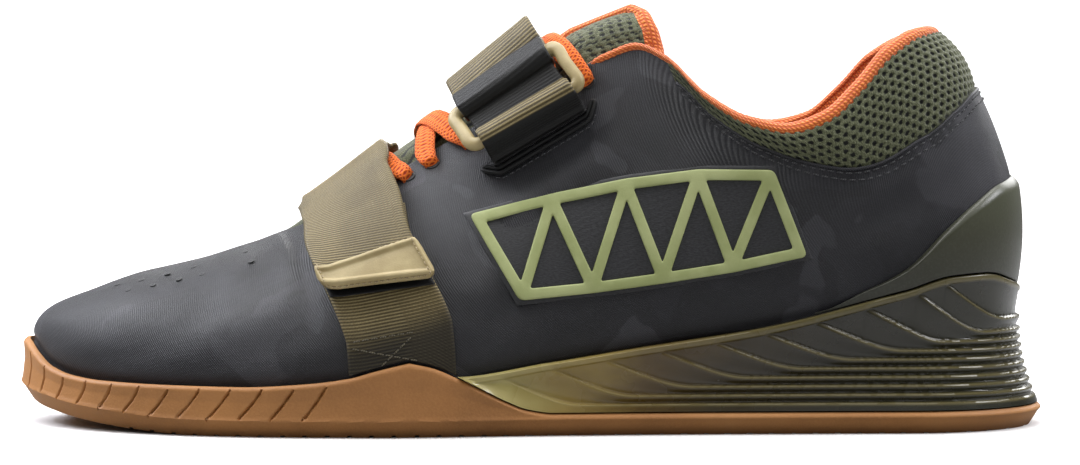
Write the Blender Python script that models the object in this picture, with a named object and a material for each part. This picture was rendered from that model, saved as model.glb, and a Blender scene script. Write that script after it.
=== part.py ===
"""Weightlifting shoe for the left foot, standing empty on its sole.

Toe towards -X, heel towards +X, lateral side towards -Y, medial side towards +Y,
floor at z = 0. Metres. Every piece is worked out from the sole's outline and from
ribs that rise from the upper's lower edge to its ridge, throat or collar line.
"""
import math

import bpy
import bmesh
import numpy as np
from mathutils import Vector
from mathutils.geometry import delaunay_2d_cdt

# Driving sizes of the whole shoe.
LENGTH = 0.300
BALL_WIDTH = 0.104
UPPER_HEIGHT = 0.1140
HEEL_STACK = 0.0320
FOREFOOT_STACK = 0.0115
TOE_SPRING = 0.0075
HEEL_PLATE = 0.0062
BUMPER_HEIGHT = 0.0245
SADDLE_HEIGHT = 0.0208
WEDGE_CUP_HEIGHT = 0.0448

# Walls, clearances and small forms.
WALL = 0.0022
COLLAR_PAD = 0.0062
SEAM_STEP = 0.0009
MESH_SWELL = 0.0016
FIT_GAP = 0.0004
COUNTER_WALL = 0.0020
RIM_CROWN = 0.22
INSOLE_THICKNESS = 0.0040
TONGUE_THICKNESS = 0.0046
TONGUE_WING = 0.0110
TONGUE_RISE = 0.0160
TONGUE_LEAN = 0.42
TONGUE_ROUND = 0.35
SOLE_BEVEL = 0.0030
SOLE_BEVEL_HEIGHT = 0.0048
SOLE_WAIST = 0.0008
RIB_PITCH = 0.00245
RIB_DEPTH = 0.0009
RIB_EDGE = 0.0005
WEDGE_BROW = 0.0012
WEDGE_FLOOR = 0.0010
WEDGE_FLARE = 0.0016
WEDGE_WAIST = 0.0042
WEDGE_SET_BACK = 0.0006

# Straps, ring and laces.
WEBBING_WIDTH = 0.0295
WEBBING_THICKNESS = 0.0016
LOWER_STRAP_ALONG = 0.383
UPPER_STRAP_ALONG = 0.559
STRAP_END_HEIGHT = 0.0428
STRAP_ANCHOR_HEIGHT = 0.0460
BASE_END = -0.0170
HOOK_PAD = 0.0008
HOOK_PAD_SHOWS = 0.0022
FOLD_LENGTH = 0.0200
FOLD_LIFT = 0.0038
FOLD_TWIST = 0.45
THROAT_RAMP = 0.0100
RING_BAR = 0.0034
RING_CORNER = 0.0026
RING_SKEW = 0.13
RING_INSIDE_LENGTH = 0.0336
RING_INSIDE_WIDTH = 0.0098
RING_AT = -0.0040
ANCHOR_LENGTH = 0.0052
WELT_WIDTH = 0.0030
WELT_HEIGHT = 0.0012
TAB_WIDTH = 0.0310
TAB_HEIGHT = 0.0125
TAB_TAPER = 0.46
TAB_THICKNESS = 0.0026
TAB_OVERHANG = 0.0015
TAB_RIM = 0.0024
TAB_RECESS = 0.26
LACE_WIDTH = 0.0068
LACE_THICKNESS = 0.0012
LACE_MARGIN = 0.0042
LACE_STEPS = 8
LACE_LIFT = 0.0006
LACE_HUMP = 0.75
EYELET_CLEAR = 0.20
BRACE_WIDTH = 0.0030
BRACE_THICKNESS = 0.0010
BRACE_STEP = 0.0090

# Side grooves and tread of the sole.
GROOVE_WIDTH = 0.0009
GROOVE_DEPTH = 0.0012
GROOVE_LEAN = 0.0075
GROOVE_RIM = 0.0022
GROOVE_FIRST = 0.050
GROOVE_PITCH = 0.0090
GROOVE_COUNT = 11
TREAD_WIDTH = 0.0011
TREAD_DEPTH = 0.0013
TREAD_PITCH = 0.0125

# How finely the forms are drawn.
STATIONS = 38
FABRIC_ROWS = 6
COUNTER_ROWS = 2
DOME_STEPS = 24
DOME_CROWN = 0.42
SHARP_ANGLE = math.radians(35)

LATERAL = -1
MEDIAL = 1
SIDES = (LATERAL, MEDIAL)


def table(columns, *rows):
    """A table with named columns, as a list of values for each name."""
    return {name: [row[i] for row in rows] for i, name in enumerate(columns.split())}


# The sole's outline: shares of LENGTH along, and of BALL_WIDTH for the half width
# and for how far the outline's middle lies towards the medial side.
OUTLINE = table(
    "along half middle",
    (0.00, 0.465, 0.062),
    (0.10, 0.478, 0.036),
    (0.20, 0.490, 0.008),
    (0.28, 0.500, -0.012),
    (0.36, 0.494, -0.030),
    (0.44, 0.455, -0.042),
    (0.54, 0.412, -0.042),
    (0.66, 0.392, -0.030),
    (0.80, 0.388, -0.014),
    (0.90, 0.386, -0.006),
    (1.00, 0.384, 0.000),
)
TOE_ROUND = 0.25
HEEL_ROUND = 0.135

# How far the upper's lower edge lies inside the sole's outline, as a share of BALL_WIDTH.
MARGIN = table(
    "along inset",
    (0.00, 0.036),
    (0.12, 0.032),
    (0.30, 0.034),
    (0.45, 0.042),
    (0.60, 0.058),
    (0.78, 0.076),
    (0.90, 0.092),
    (1.00, 0.106),
)

# The bed that the foot stands on: share of the way from FOREFOOT_STACK to HEEL_STACK.
BED = table(
    "along rise",
    (0.00, 0.0),
    (0.30, 0.0),
    (0.38, 0.05),
    (0.50, 0.33),
    (0.60, 0.58),
    (0.70, 0.78),
    (0.80, 0.92),
    (0.90, 0.99),
    (1.00, 1.0),
)

# Toe spring of the tread and of the bed above it, as shares of TOE_SPRING.
SPRING = table(
    "along lift bed_lift",
    (0.00, 1.00, 0.62),
    (0.03, 0.66, 0.46),
    (0.07, 0.38, 0.28),
    (0.12, 0.16, 0.12),
    (0.19, 0.0, 0.0),
    (1.00, 0.0, 0.0),
)

# Top edge of the gum sole: share of the way from FOREFOOT_STACK up to SADDLE_HEIGHT
# in front of the saddle's peak, and from HEEL_PLATE up to SADDLE_HEIGHT behind it.
GUM_FRONT = table(
    "along rise",
    (0.00, 0.40),
    (0.05, 0.36),
    (0.14, 0.28),
    (0.23, 0.26),
    (0.29, 0.36),
    (0.33, 0.52),
    (0.36, 0.78),
    (0.39, 1.00),
)
GUM_BACK = table(
    "along rise",
    (0.39, 1.00),
    (0.412, 0.90),
    (0.437, 0.68),
    (0.460, 0.44),
    (0.480, 0.23),
    (0.500, 0.07),
    (0.525, 0.0),
    (1.00, 0.0),
)
# The toe bumper rises above that edge: share of the way to BUMPER_HEIGHT.
BUMPER = table(
    "along rise",
    (0.000, 1.0),
    (0.006, 0.93),
    (0.018, 0.62),
    (0.035, 0.26),
    (0.060, 0.06),
    (0.090, 0.0),
    (1.00, 0.0),
)

# Top edge of the heel wedge, as a share of WEDGE_CUP_HEIGHT.
WEDGE_TOP = table(
    "along height",
    (0.435, 0.375),
    (0.52, 0.455),
    (0.60, 0.540),
    (0.72, 0.665),
    (0.85, 0.880),
    (0.91, 0.985),
    (0.95, 1.000),
    (0.985, 0.945),
    (1.00, 0.900),
)
WEDGE_TIP = 0.4355

# Ribs on the wedge. Each starts on its top edge at `start`, a share of LENGTH, and
# sweeps down over `sweep` to run level round the heel at `level` ribs above the plate.
WEDGE_RIBS = table(
    "start level sweep",
    (0.900, 10.4, 0.075),
    (0.868, 9.0, 0.080),
    (0.818, 8.0, 0.080),
    (0.770, 7.0, 0.085),
    (0.722, 6.0, 0.085),
    (0.674, 5.0, 0.085),
    (0.622, 4.0, 0.085),
    (0.570, 3.0, 0.085),
    (0.520, 2.0, 0.080),
    (0.474, 1.0, 0.075),
)

# Ribs of the upper, from its lower edge at `along` to its top line. Top line: `top`
# share of LENGTH, `gap` half width and `shift` towards the medial side as shares of
# BALL_WIDTH, `height` share of UPPER_HEIGHT. `flare` and `bulge` lean the wall out,
# as shares of BALL_WIDTH. `rise` and `drop` are shares of the rib's own height, and
# `blend` of the way from the top line back to the lower edge. `seam` is where the
# outer fabric ends and the collar's mesh begins, as a share of the rib.
RIBS = table(
    "along top gap shift height flare rise blend bulge drop seam",
    (0.000, 0.107, 0.000, 0.048, 0.374, 0.036, 0.66, 0.79, 0.000, 0.0, 0.880),
    (0.050, 0.124, 0.000, 0.044, 0.388, 0.034, 0.62, 0.72, 0.000, 0.0, 0.880),
    (0.100, 0.148, 0.000, 0.038, 0.402, 0.032, 0.60, 0.66, 0.000, 0.0, 0.880),
    (0.150, 0.173, 0.000, 0.032, 0.417, 0.030, 0.59, 0.62, 0.000, 0.0, 0.880),
    (0.200, 0.200, 0.000, 0.026, 0.437, 0.028, 0.58, 0.60, 0.000, 0.0, 0.880),
    (0.250, 0.229, 0.000, 0.021, 0.462, 0.026, 0.57, 0.59, 0.000, 0.0, 0.880),
    (0.290, 0.252, 0.000, 0.017, 0.485, 0.024, 0.56, 0.58, 0.000, 0.0, 0.880),
    (0.330, 0.281, 0.082, 0.013, 0.512, 0.022, 0.56, 0.56, 0.000, 0.05, 0.880),
    (0.380, 0.318, 0.112, 0.010, 0.562, 0.020, 0.55, 0.53, 0.000, 0.08, 0.880),
    (0.450, 0.374, 0.132, 0.006, 0.648, 0.020, 0.52, 0.50, 0.000, 0.11, 0.880),
    (0.500, 0.427, 0.146, 0.003, 0.730, 0.022, 0.50, 0.47, 0.000, 0.13, 0.880),
    (0.550, 0.480, 0.160, 0.000, 0.810, 0.024, 0.48, 0.44, 0.004, 0.15, 0.880),
    (0.600, 0.534, 0.176, -0.002, 0.886, 0.026, 0.45, 0.42, 0.006, 0.17, 0.880),
    (0.640, 0.574, 0.194, -0.003, 0.940, 0.028, 0.42, 0.40, 0.010, 0.19, 0.880),
    (0.670, 0.602, 0.214, -0.004, 0.964, 0.030, 0.40, 0.38, 0.014, 0.21, 0.880),
    (0.700, 0.630, 0.246, -0.004, 0.932, 0.030, 0.38, 0.36, 0.016, 0.23, 0.880),
    (0.735, 0.667, 0.292, -0.004, 0.836, 0.030, 0.36, 0.34, 0.016, 0.25, 0.880),
    (0.770, 0.707, 0.326, -0.004, 0.773, 0.030, 0.34, 0.34, 0.014, 0.27, 0.862),
    (0.805, 0.744, 0.342, -0.004, 0.752, 0.032, 0.33, 0.36, 0.012, 0.28, 0.820),
    (0.840, 0.780, 0.338, -0.004, 0.780, 0.036, 0.33, 0.40, 0.012, 0.29, 0.735),
    (0.875, 0.812, 0.310, -0.004, 0.854, 0.042, 0.33, 0.48, 0.014, 0.30, 0.680),
    (0.910, 0.842, 0.266, -0.004, 0.944, 0.052, 0.34, 0.62, 0.020, 0.30, 0.665),
    (0.950, 0.871, 0.196, -0.003, 0.994, 0.064, 0.34, 0.80, 0.028, 0.30, 0.710),
    (0.980, 0.889, 0.116, -0.001, 1.006, 0.073, 0.34, 0.90, 0.032, 0.30, 0.760),
    (1.000, 0.897, 0.000, 0.000, 1.008, 0.077, 0.34, 0.93, 0.033, 0.30, 0.780),
)
MEDIAL_COLLAR_LIFT = 0.008
THROAT_START = 0.290
COLLAR_START = 0.650

# Wall of the upper along a rib: share of the way from WALL to COLLAR_PAD.
PADDING = table(
    "share pad",
    (0.00, 0.0),
    (0.52, 0.0),
    (0.72, 0.65),
    (0.86, 1.0),
    (1.00, 0.55),
)

# Top edge of the heel counter, as a share of the upper's rib.
COUNTER_TOP = table(
    "along share",
    (0.748, 0.070),
    (0.782, 0.110),
    (0.820, 0.160),
    (0.860, 0.225),
    (0.900, 0.305),
    (0.940, 0.385),
    (0.975, 0.445),
    (1.000, 0.470),
)

# The side brace: corners of its frame and of its three-cornered windows' rungs, as
# shares of LENGTH along and of UPPER_HEIGHT up, on the lateral side.
BRACE = table(
    "top_along top_height foot_along foot_height",
    (0.452, 0.530, 0.494, 0.345),
    (0.522, 0.578, 0.560, 0.362),
    (0.592, 0.616, 0.626, 0.385),
    (0.660, 0.640, 0.692, 0.412),
    (0.728, 0.640, 0.756, 0.448),
)

# Pull tab from its front to its back: how far each section's edges draw in, as a
# share of TAB_HEIGHT, and whether it shows the sunken face.
TAB = table(
    "across inset face",
    (0.00, 0.14, 0),
    (0.07, 0.02, 0),
    (0.12, 0.00, 1),
    (0.50, 0.00, 1),
    (0.86, 0.00, 1),
    (0.93, 0.02, 0),
    (1.00, 0.16, 0),
)

EYELETS = table("along", (0.345,), (0.405,), (0.462,), (0.518,), (0.573,), (0.625,))

# Tongue: its stations, and how much of TONGUE_WING each side reaches under the eyestays.
TONGUE = table(
    "along wing",
    (0.310, 1.00),
    (0.355, 1.00),
    (0.400, 1.00),
    (0.445, 1.00),
    (0.490, 1.00),
    (0.535, 0.90),
    (0.570, 0.75),
    (0.597, 0.55),
    (0.622, 0.40),
)
TONGUE_TOP = table("reach narrow", (0.45, 0.98), (0.85, 0.90), (1.00, 0.78))

# How far the forefoot strap wanders backwards along the shoe, as a share of
# BALL_WIDTH, at places over the instep that are shares of BALL_WIDTH too.
STRAP_PATH = table(
    "place back",
    (-0.56, 0.000),
    (-0.30, -0.046),
    (-0.12, -0.010),
    (0.14, 0.036),
    (0.55, 0.000),
)

COLOURS = table(
    "name red green blue roughness",
    ("gum", 0.52, 0.25, 0.10, 0.75),
    ("wedge", 0.20, 0.17, 0.08, 0.35),
    ("counter", 0.14, 0.14, 0.09, 0.40),
    ("microfibre", 0.07, 0.07, 0.08, 0.65),
    ("orange", 0.90, 0.22, 0.04, 0.80),
    ("olive_mesh", 0.14, 0.15, 0.08, 0.85),
    ("webbing", 0.28, 0.23, 0.12, 0.70),
    ("black_webbing", 0.02, 0.02, 0.02, 0.80),
    ("beige", 0.72, 0.60, 0.38, 0.45),
    ("pale_green", 0.52, 0.58, 0.26, 0.50),
)


def turn(along):
    """Share of the way round one side, from toe tip 0 to heel back 1."""
    return math.acos(1.0 - 2.0 * min(max(along, 0.0), 1.0)) / math.pi


def along_of(station):
    """Share of LENGTH at a station round the side."""
    return 0.5 * (1.0 - math.cos(math.pi * station))


class Curve:
    """A smooth curve through a few points, which never overshoots them."""

    def __init__(self, at, value, mirror=0):
        at, value = list(at), list(value)
        if mirror:
            tail = [(2.0 - x, mirror * y) for x, y in zip(at, value) if x < 1.0][::-1]
            head = [(-x, mirror * y) for x, y in zip(at, value) if x > 0.0][::-1]
            pairs = head + list(zip(at, value)) + tail
            at, value = [p[0] for p in pairs], [p[1] for p in pairs]
        self.at, self.value = np.array(at, float), np.array(value, float)
        step = np.diff(self.at)
        rate = np.diff(self.value) / step
        slope = np.zeros(len(self.at))
        slope[0], slope[-1] = rate[0], rate[-1]
        for i in range(1, len(slope) - 1):
            if rate[i - 1] * rate[i] > 0:
                before, after = step[i - 1], step[i]
                weight = 2 * after + before, after + 2 * before
                total = weight[0] + weight[1]
                slope[i] = total / (weight[0] / rate[i - 1] + weight[1] / rate[i])
        self.slope, self.step = slope, step

    def __call__(self, x):
        x = min(max(x, self.at[0]), self.at[-1])
        i = min(max(int(np.searchsorted(self.at, x)) - 1, 0), len(self.step) - 1)
        h = self.step[i]
        t = (x - self.at[i]) / h
        ends = self.value[i] * (1 + 2 * t) * (1 - t) ** 2
        ends += self.value[i + 1] * t * t * (3 - 2 * t)
        lean = self.slope[i] * t * (1 - t) ** 2 - self.slope[i + 1] * t * t * (1 - t)
        return ends + h * lean


def wrapped(rows, column, mirror=1):
    """A column as a curve over the station, even or odd about toe tip and heel back."""
    return Curve([turn(a) for a in rows["along"]], rows[column], mirror)


OUTLINE_HALF = Curve(OUTLINE["along"], OUTLINE["half"])
OUTLINE_MIDDLE = Curve(OUTLINE["along"], OUTLINE["middle"])
MARGIN_INSET = wrapped(MARGIN, "inset")
BED_RISE = Curve(BED["along"], BED["rise"])
SPRING_LIFT = wrapped(SPRING, "lift")
SPRING_BED = wrapped(SPRING, "bed_lift")
GUM_FRONT_RISE = Curve(GUM_FRONT["along"], GUM_FRONT["rise"])
GUM_BACK_RISE = Curve(GUM_BACK["along"], GUM_BACK["rise"])
BUMPER_RISE = wrapped(BUMPER, "rise")
WEDGE_TOP_HEIGHT = wrapped(WEDGE_TOP, "height")
RIB = {name: wrapped(RIBS, name, -1 if name == "gap" else 1) for name in RIBS if name != "gap"}
RIB["gap"] = Curve(
    [turn(a) for a in RIBS["along"]] + [2.0 - turn(RIBS["along"][-2])],
    RIBS["gap"] + [-RIBS["gap"][-2]],
)
PAD = Curve(PADDING["share"], PADDING["pad"])
COUNTER_SHARE = wrapped(COUNTER_TOP, "share")
STRAP_BACK = Curve(STRAP_PATH["place"], STRAP_PATH["back"])


def x_at(along):
    return (along - 0.5) * LENGTH


def sole_edge(side, station):
    """Point of the sole's outline, in plan, before it is centred."""
    along = along_of(station)
    half = OUTLINE_HALF(along) * BALL_WIDTH
    if along < TOE_ROUND:
        half *= math.sqrt(max(0.0, 1 - (1 - along / TOE_ROUND) ** 2))
    if along > 1 - HEEL_ROUND:
        half *= math.sqrt(max(0.0, 1 - (1 - (1 - along) / HEEL_ROUND) ** 2))
    return np.array((x_at(along), OUTLINE_MIDDLE(along) * BALL_WIDTH + side * half))


def outline(side, station):
    """Point of the sole's outline, in plan."""
    return sole_edge(side, station) + (0.0, WIDTH_SHIFT)


def outward(side, station, reach=0.004):
    """Outward normal of the outline, in plan. At the ends it points along the shoe."""
    ends = []
    for other in (station - reach, station + reach):
        way = side if 0 <= other <= 1 else -side
        ends.append(outline(way, 1 - abs(1 - abs(other))))
    run = ends[1] - ends[0]
    normal = side * np.array((-run[1], run[0]))
    return normal / np.linalg.norm(normal)


def bed_height(station):
    """Height of the surface that the insole and the upper stand on."""
    along = along_of(station)
    height = FOREFOOT_STACK + (HEEL_STACK - FOREFOOT_STACK) * BED_RISE(along)
    return height + TOE_SPRING * SPRING_BED(station)


def gum_line(station):
    """Height of the gum sole's top edge, and of its seat under the wedge."""
    along = along_of(station)
    if along > GUM_BACK["along"][0]:
        return HEEL_PLATE + (SADDLE_HEIGHT - HEEL_PLATE) * GUM_BACK_RISE(along)
    height = FOREFOOT_STACK + (SADDLE_HEIGHT - FOREFOOT_STACK) * GUM_FRONT_RISE(along)
    return height + (BUMPER_HEIGHT - height) * BUMPER_RISE(station)


def wedge_line(station):
    return WEDGE_CUP_HEIGHT * WEDGE_TOP_HEIGHT(station)


def feather(side, station):
    """Point of the upper's lower edge."""
    inset = MARGIN_INSET(station) * BALL_WIDTH
    plan = outline(side, station) - outward(side, station) * inset
    return np.array((plan[0], plan[1], bed_height(station) + FIT_GAP))


def top_line(side, station):
    """Point where a rib ends: on the ridge, the throat's edge or the collar."""
    gap = max(0.0, RIB["gap"](station)) * BALL_WIDTH
    if along_of(station) <= THROAT_START:
        gap = 0.0
    lift = 0.0
    if side == MEDIAL and along_of(station) > COLLAR_START:
        reach = (along_of(station) - COLLAR_START) / (1 - COLLAR_START)
        lift = MEDIAL_COLLAR_LIFT * math.sin(math.pi * reach) ** 2
    middle = RIB["shift"](station) * BALL_WIDTH + WIDTH_SHIFT
    height = (RIB["height"](station) + lift) * UPPER_HEIGHT
    return np.array((x_at(RIB["top"](station)), middle + side * gap, height))


def ridge_slope(station, reach=0.01):
    low = top_line(LATERAL, max(0.0, station - reach))
    high = top_line(LATERAL, station + reach)
    return (high[2] - low[2]) / max(1e-6, high[0] - low[0])


def rib_handles(side, station):
    """The four points that shape a rib of the upper."""
    foot, top = feather(side, station), top_line(side, station)
    out = np.array((*outward(side, station), 0.0))
    height = top[2] - foot[2]
    lower = foot + out * RIB["flare"](station) * BALL_WIDTH
    lower[2] += RIB["rise"](station) * height
    upper = top + (foot - top) * RIB["blend"](station)
    upper += out * RIB["bulge"](station) * BALL_WIDTH
    upper[2] = top[2] - RIB["drop"](station) * height
    if along_of(station) <= THROAT_START:
        upper[2] += ridge_slope(station) * (upper[0] - top[0])
    return foot, lower, upper, top


def rib_point(side, station, share):
    """Point on the upper's outer surface before steps and padding."""
    foot, lower, upper, top = rib_handles(side, station)
    rest = 1 - share
    curve = foot * rest**3 + lower * 3 * rest**2 * share
    return curve + upper * 3 * rest * share**2 + top * share**3


def rib_normal(side, station, share, reach=0.004):
    """Outward normal of the upper's outer surface, away from toe tip and heel back."""
    round_way = rib_point(side, station + reach, share) - rib_point(side, station - reach, share)
    low, high = max(0.0, share - reach), min(1.0, share + reach)
    up_way = rib_point(side, station, high) - rib_point(side, station, low)
    normal = np.cross(up_way, round_way) * side
    return normal / np.linalg.norm(normal)


def collar_share(station):
    """How far a station belongs to the padded collar, 0 on the eyestay and 1 behind it."""
    return min(1.0, max(0.0, (along_of(station) - COLLAR_START) / 0.14))


def mesh_relief(station, share):
    """Height of the collar's mesh above or below the outer fabric's surface."""
    seam = RIB["seam"](station)
    if share <= seam:
        return 0.0
    amount = min(1.0, (0.88 - seam) / 0.06)
    if amount <= 0:
        return 0.0
    way = (share - seam) / (1 - seam)
    return amount * (MESH_SWELL * math.sin(math.pi * way) - SEAM_STEP * (1 - way))


def wall_at(station, share):
    return WALL + (COLLAR_PAD - WALL) * PAD(share) * collar_share(station)


def crossing(first, last, rises):
    """Station between two others where a quantity stops being negative."""
    for _ in range(40):
        middle = 0.5 * (first + last)
        if rises(middle) < 0:
            first = middle
        else:
            last = middle
    return last


# Stations round each side, shared by the pieces so that their seats match: even steps,
# the wedge's front tip, where its floor begins, and where each of its ribs begins.
FLOOR_START = crossing(
    turn(WEDGE_TIP), turn(0.55), lambda s: bed_height(s) - gum_line(s) - FIT_GAP - WEDGE_FLOOR
)
EVEN = [i / STATIONS for i in range(STATIONS + 1)]
SHELL_STATIONS = sorted(EVEN + [turn(WEDGE_TIP), FLOOR_START])
RIB_STATIONS = [turn(a) for a in WEDGE_RIBS["start"]]
SOLE_STATIONS = sorted(SHELL_STATIONS + [s for s in RIB_STATIONS if s < turn(0.56)])
WEDGE_STATIONS = sorted(s for s in SHELL_STATIONS + RIB_STATIONS if s >= turn(WEDGE_TIP))


def width_shift():
    """Sideways shift that puts the middle of the sole's widest places at y = 0."""
    lateral = min(sole_edge(LATERAL, s)[1] for s in SOLE_STATIONS)
    medial = max(sole_edge(MEDIAL, s)[1] for s in SOLE_STATIONS)
    return -0.5 * (lateral + medial)


WIDTH_SHIFT = width_shift()


def start_scene():
    for thing in list(bpy.data.objects):
        bpy.data.objects.remove(thing, do_unlink=True)


def material(name):
    """A plain finish, named in COLOURS."""
    made = bpy.data.materials.get(name)
    if made is None:
        i = COLOURS["name"].index(name)
        made = bpy.data.materials.new(name)
        made.use_nodes = True
        shader = made.node_tree.nodes["Principled BSDF"]
        colour = (COLOURS["red"][i], COLOURS["green"][i], COLOURS["blue"][i], 1.0)
        shader.inputs["Base Color"].default_value = colour
        shader.inputs["Roughness"].default_value = COLOURS["roughness"][i]
        shader.inputs["Metallic"].default_value = 0.0
    return made


def add_object(name, points, faces, finish):
    """A closed, smooth-shaded object, with its faces turned outwards."""
    mesh = bpy.data.meshes.new(name)
    mesh.from_pydata([tuple(map(float, p)) for p in points], [], faces)
    work = bmesh.new()
    work.from_mesh(mesh)
    bmesh.ops.recalc_face_normals(work, faces=work.faces)
    if work.calc_volume(signed=True) < 0:
        bmesh.ops.reverse_faces(work, faces=work.faces)
    work.to_mesh(mesh)
    work.free()
    mesh.shade_smooth()
    mesh.set_sharp_from_angle(angle=SHARP_ANGLE)
    made = bpy.data.objects.new(name, mesh)
    made.data.materials.append(material(finish))
    bpy.context.scene.collection.objects.link(made)
    return made


def combine(kept, others, operation):
    """Cuts other objects out of one, or joins them to it, and removes them."""
    for other in others:
        other.hide_render = True
        other.display_type = "WIRE"
        step = kept.modifiers.new(operation, "BOOLEAN")
        step.operation = operation
        step.solver = "EXACT"
        step.object = other
    view = bpy.context.evaluated_depsgraph_get()
    mesh = bpy.data.meshes.new_from_object(kept.evaluated_get(view))
    kept.modifiers.clear()
    kept.data = mesh
    mesh.shade_smooth()
    mesh.set_sharp_from_angle(angle=SHARP_ANGLE)
    for other in others:
        bpy.data.objects.remove(other, do_unlink=True)
    return kept


class Builder:
    """Collects points and faces of one solid."""

    def __init__(self):
        self.points, self.faces = [], []

    def point(self, place):
        self.points.append(np.array(place, float))
        return len(self.points) - 1

    def face(self, *corners):
        kept = [c for i, c in enumerate(corners) if c != corners[i - 1]]
        if len(set(kept)) >= 3:
            self.faces.append(kept)

    def strip(self, one, other):
        for i in range(len(one) - 1):
            self.face(one[i], one[i + 1], other[i + 1], other[i])

    def tube(self, rings):
        """Joins closed rings of the same count, one after another."""
        for one, other in zip(rings, rings[1:]):
            self.strip(one + one[:1], other + other[:1])

    def ladder(self, ring):
        """Closes a ring whose second half runs back beside its first half."""
        for i in range(len(ring) // 2 - 1):
            self.face(ring[i], ring[i + 1], ring[-i - 2], ring[-i - 1])

    def add(self, name, finish):
        return add_object(name, self.points, self.faces, finish)


def two_sided(name, finish, stations, profile):
    """A solid whose profile runs from its bottom's edge to its top's edge on each side.

    The bottom and the top are closed across from side to side. At the toe tip and
    the heel back both sides share their points.
    """
    made = Builder()
    columns = {}
    for side in SIDES:
        columns[side] = []
        for i, station in enumerate(stations):
            if station in (0.0, 1.0) and side == MEDIAL:
                columns[side].append(columns[LATERAL][i])
            else:
                columns[side].append([made.point(p) for p in profile(side, station)])
        for one, other in zip(columns[side], columns[side][1:]):
            made.strip(one, other)
    near, far = columns[LATERAL], columns[MEDIAL]
    for edge in (0, -1):
        for i in range(len(stations) - 1):
            made.face(near[i][edge], near[i + 1][edge], far[i + 1][edge], far[i][edge])
    return made.add(name, finish)


def lean_out(side, station, height):
    """How far the upper leans out over its lower edge, up to a height."""
    foot, out = feather(side, station), outward(side, station)
    lean = 0.0
    for step in range(1, 26):
        place = rib_point(side, station, 0.02 * step)
        lean = max(lean, float(np.dot(place[:2] - foot[:2], out)))
        if place[2] > height + 0.002:
            break
    return lean


def cup_inset(side, station, height):
    """How far a cup's inner wall lies inside the outline, clear of the upper in it."""
    inset = MARGIN_INSET(station) * BALL_WIDTH
    return inset - lean_out(side, station, height) - FIT_GAP


def sole_profile(side, station):
    """Gum sole: tread edge, bevel, side wall, rim and the floor inside it."""
    plan, out = outline(side, station), outward(side, station)
    ground = TOE_SPRING * SPRING_LIFT(station)
    top = gum_line(station)
    floor = min(bed_height(station), top)
    rim = cup_inset(side, station, top) if top > floor else MARGIN_INSET(station) * BALL_WIDTH
    waist = SOLE_WAIST * min(1.0, max(0.0, (top / HEEL_PLATE - 1.15)))
    bevel = ground + SOLE_BEVEL_HEIGHT

    def at(inset, height):
        return (*(plan - out * inset), height)

    return [
        at(SOLE_BEVEL, ground),
        at(SOLE_BEVEL * 0.25, ground + SOLE_BEVEL_HEIGHT * 0.72),
        at(0.0, ground + SOLE_BEVEL_HEIGHT * 0.95),
        at(waist, 0.45 * bevel + 0.55 * top),
        at(waist * 0.6, top - 0.0004),
        at(waist + 0.0009, top),
        at(rim, top),
        at(rim + 0.0002, floor),
    ]


def build_outsole():
    sole = two_sided("outsole", "gum", SOLE_STATIONS, sole_profile)
    return combine(sole, [groove_cutter()], "DIFFERENCE")


BOX_FACES = (
    (0, 1, 3, 2), (4, 6, 7, 5), (0, 4, 5, 1), (2, 3, 7, 6), (0, 2, 6, 4), (1, 5, 7, 3),
)


def add_box(made, centre, axes, size):
    """A box with its middle, three axes and half sizes."""
    first = len(made.points)
    for i in (-1, 1):
        for j in (-1, 1):
            for k in (-1, 1):
                signs = (i, j, k)
                made.point(centre + sum(a * s * h for a, s, h in zip(axes, signs, size)))
    for face in BOX_FACES:
        made.faces.append([first + c for c in face])


def groove_cutter():
    """Slanted grooves of the side wall, and cross grooves through the tread's edge."""
    made = Builder()
    for side in SIDES:
        for i in range(GROOVE_COUNT):
            along = GROOVE_FIRST + i * GROOVE_PITCH / LENGTH
            station = turn(along)
            plan, out = outline(side, station), outward(side, station)
            run = np.array((abs(out[1]), -out[0] * np.sign(out[1]), 0.0))
            low = TOE_SPRING * SPRING_LIFT(station) + SOLE_BEVEL_HEIGHT * 1.1
            high = gum_line(station) - GROOVE_RIM
            slant = run * GROOVE_LEAN * min(1.0, 0.2 + 0.12 * i)
            slant += np.array((0.0, 0.0, high - low))
            length = np.linalg.norm(slant) / 2
            slant /= np.linalg.norm(slant)
            normal = np.array((*out, 0.0))
            centre = np.array((*(plan - out * SOLE_WAIST * 0.6), 0.5 * (low + high)))
            axes = (slant, np.cross(slant, normal), normal)
            add_box(made, centre, axes, (length, GROOVE_WIDTH / 2, GROOVE_DEPTH))
    first = int(math.ceil(x_at(0.21) / TREAD_PITCH))
    last = int(math.floor(x_at(0.93) / TREAD_PITCH))
    for i in range(first, last + 1):
        size = (TREAD_WIDTH / 2, BALL_WIDTH, TREAD_DEPTH)
        add_box(made, np.array((i * TREAD_PITCH, 0.0, 0.0)), np.eye(3), size)
    return made.add("groove_cutter", "gum")


def rib_on_wedge(i, station):
    """Height and depth of one wedge rib at a station, or None in front of its start."""
    along = along_of(station)
    start, sweep = WEDGE_RIBS["start"][i], WEDGE_RIBS["sweep"][i]
    if along < start - 1e-9:
        return None
    level = HEEL_PLATE + FIT_GAP + RIB_PITCH * WEDGE_RIBS["level"][i]
    way = min(1.0, max(0.0, (along - start) / sweep))
    fall = (1 - way) ** 2 * (1 + way)
    high = wedge_line(turn(start)) - WEDGE_BROW
    depth = RIB_DEPTH * min(1.0, way / 0.25)
    return level + (high - level) * fall, depth


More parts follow.
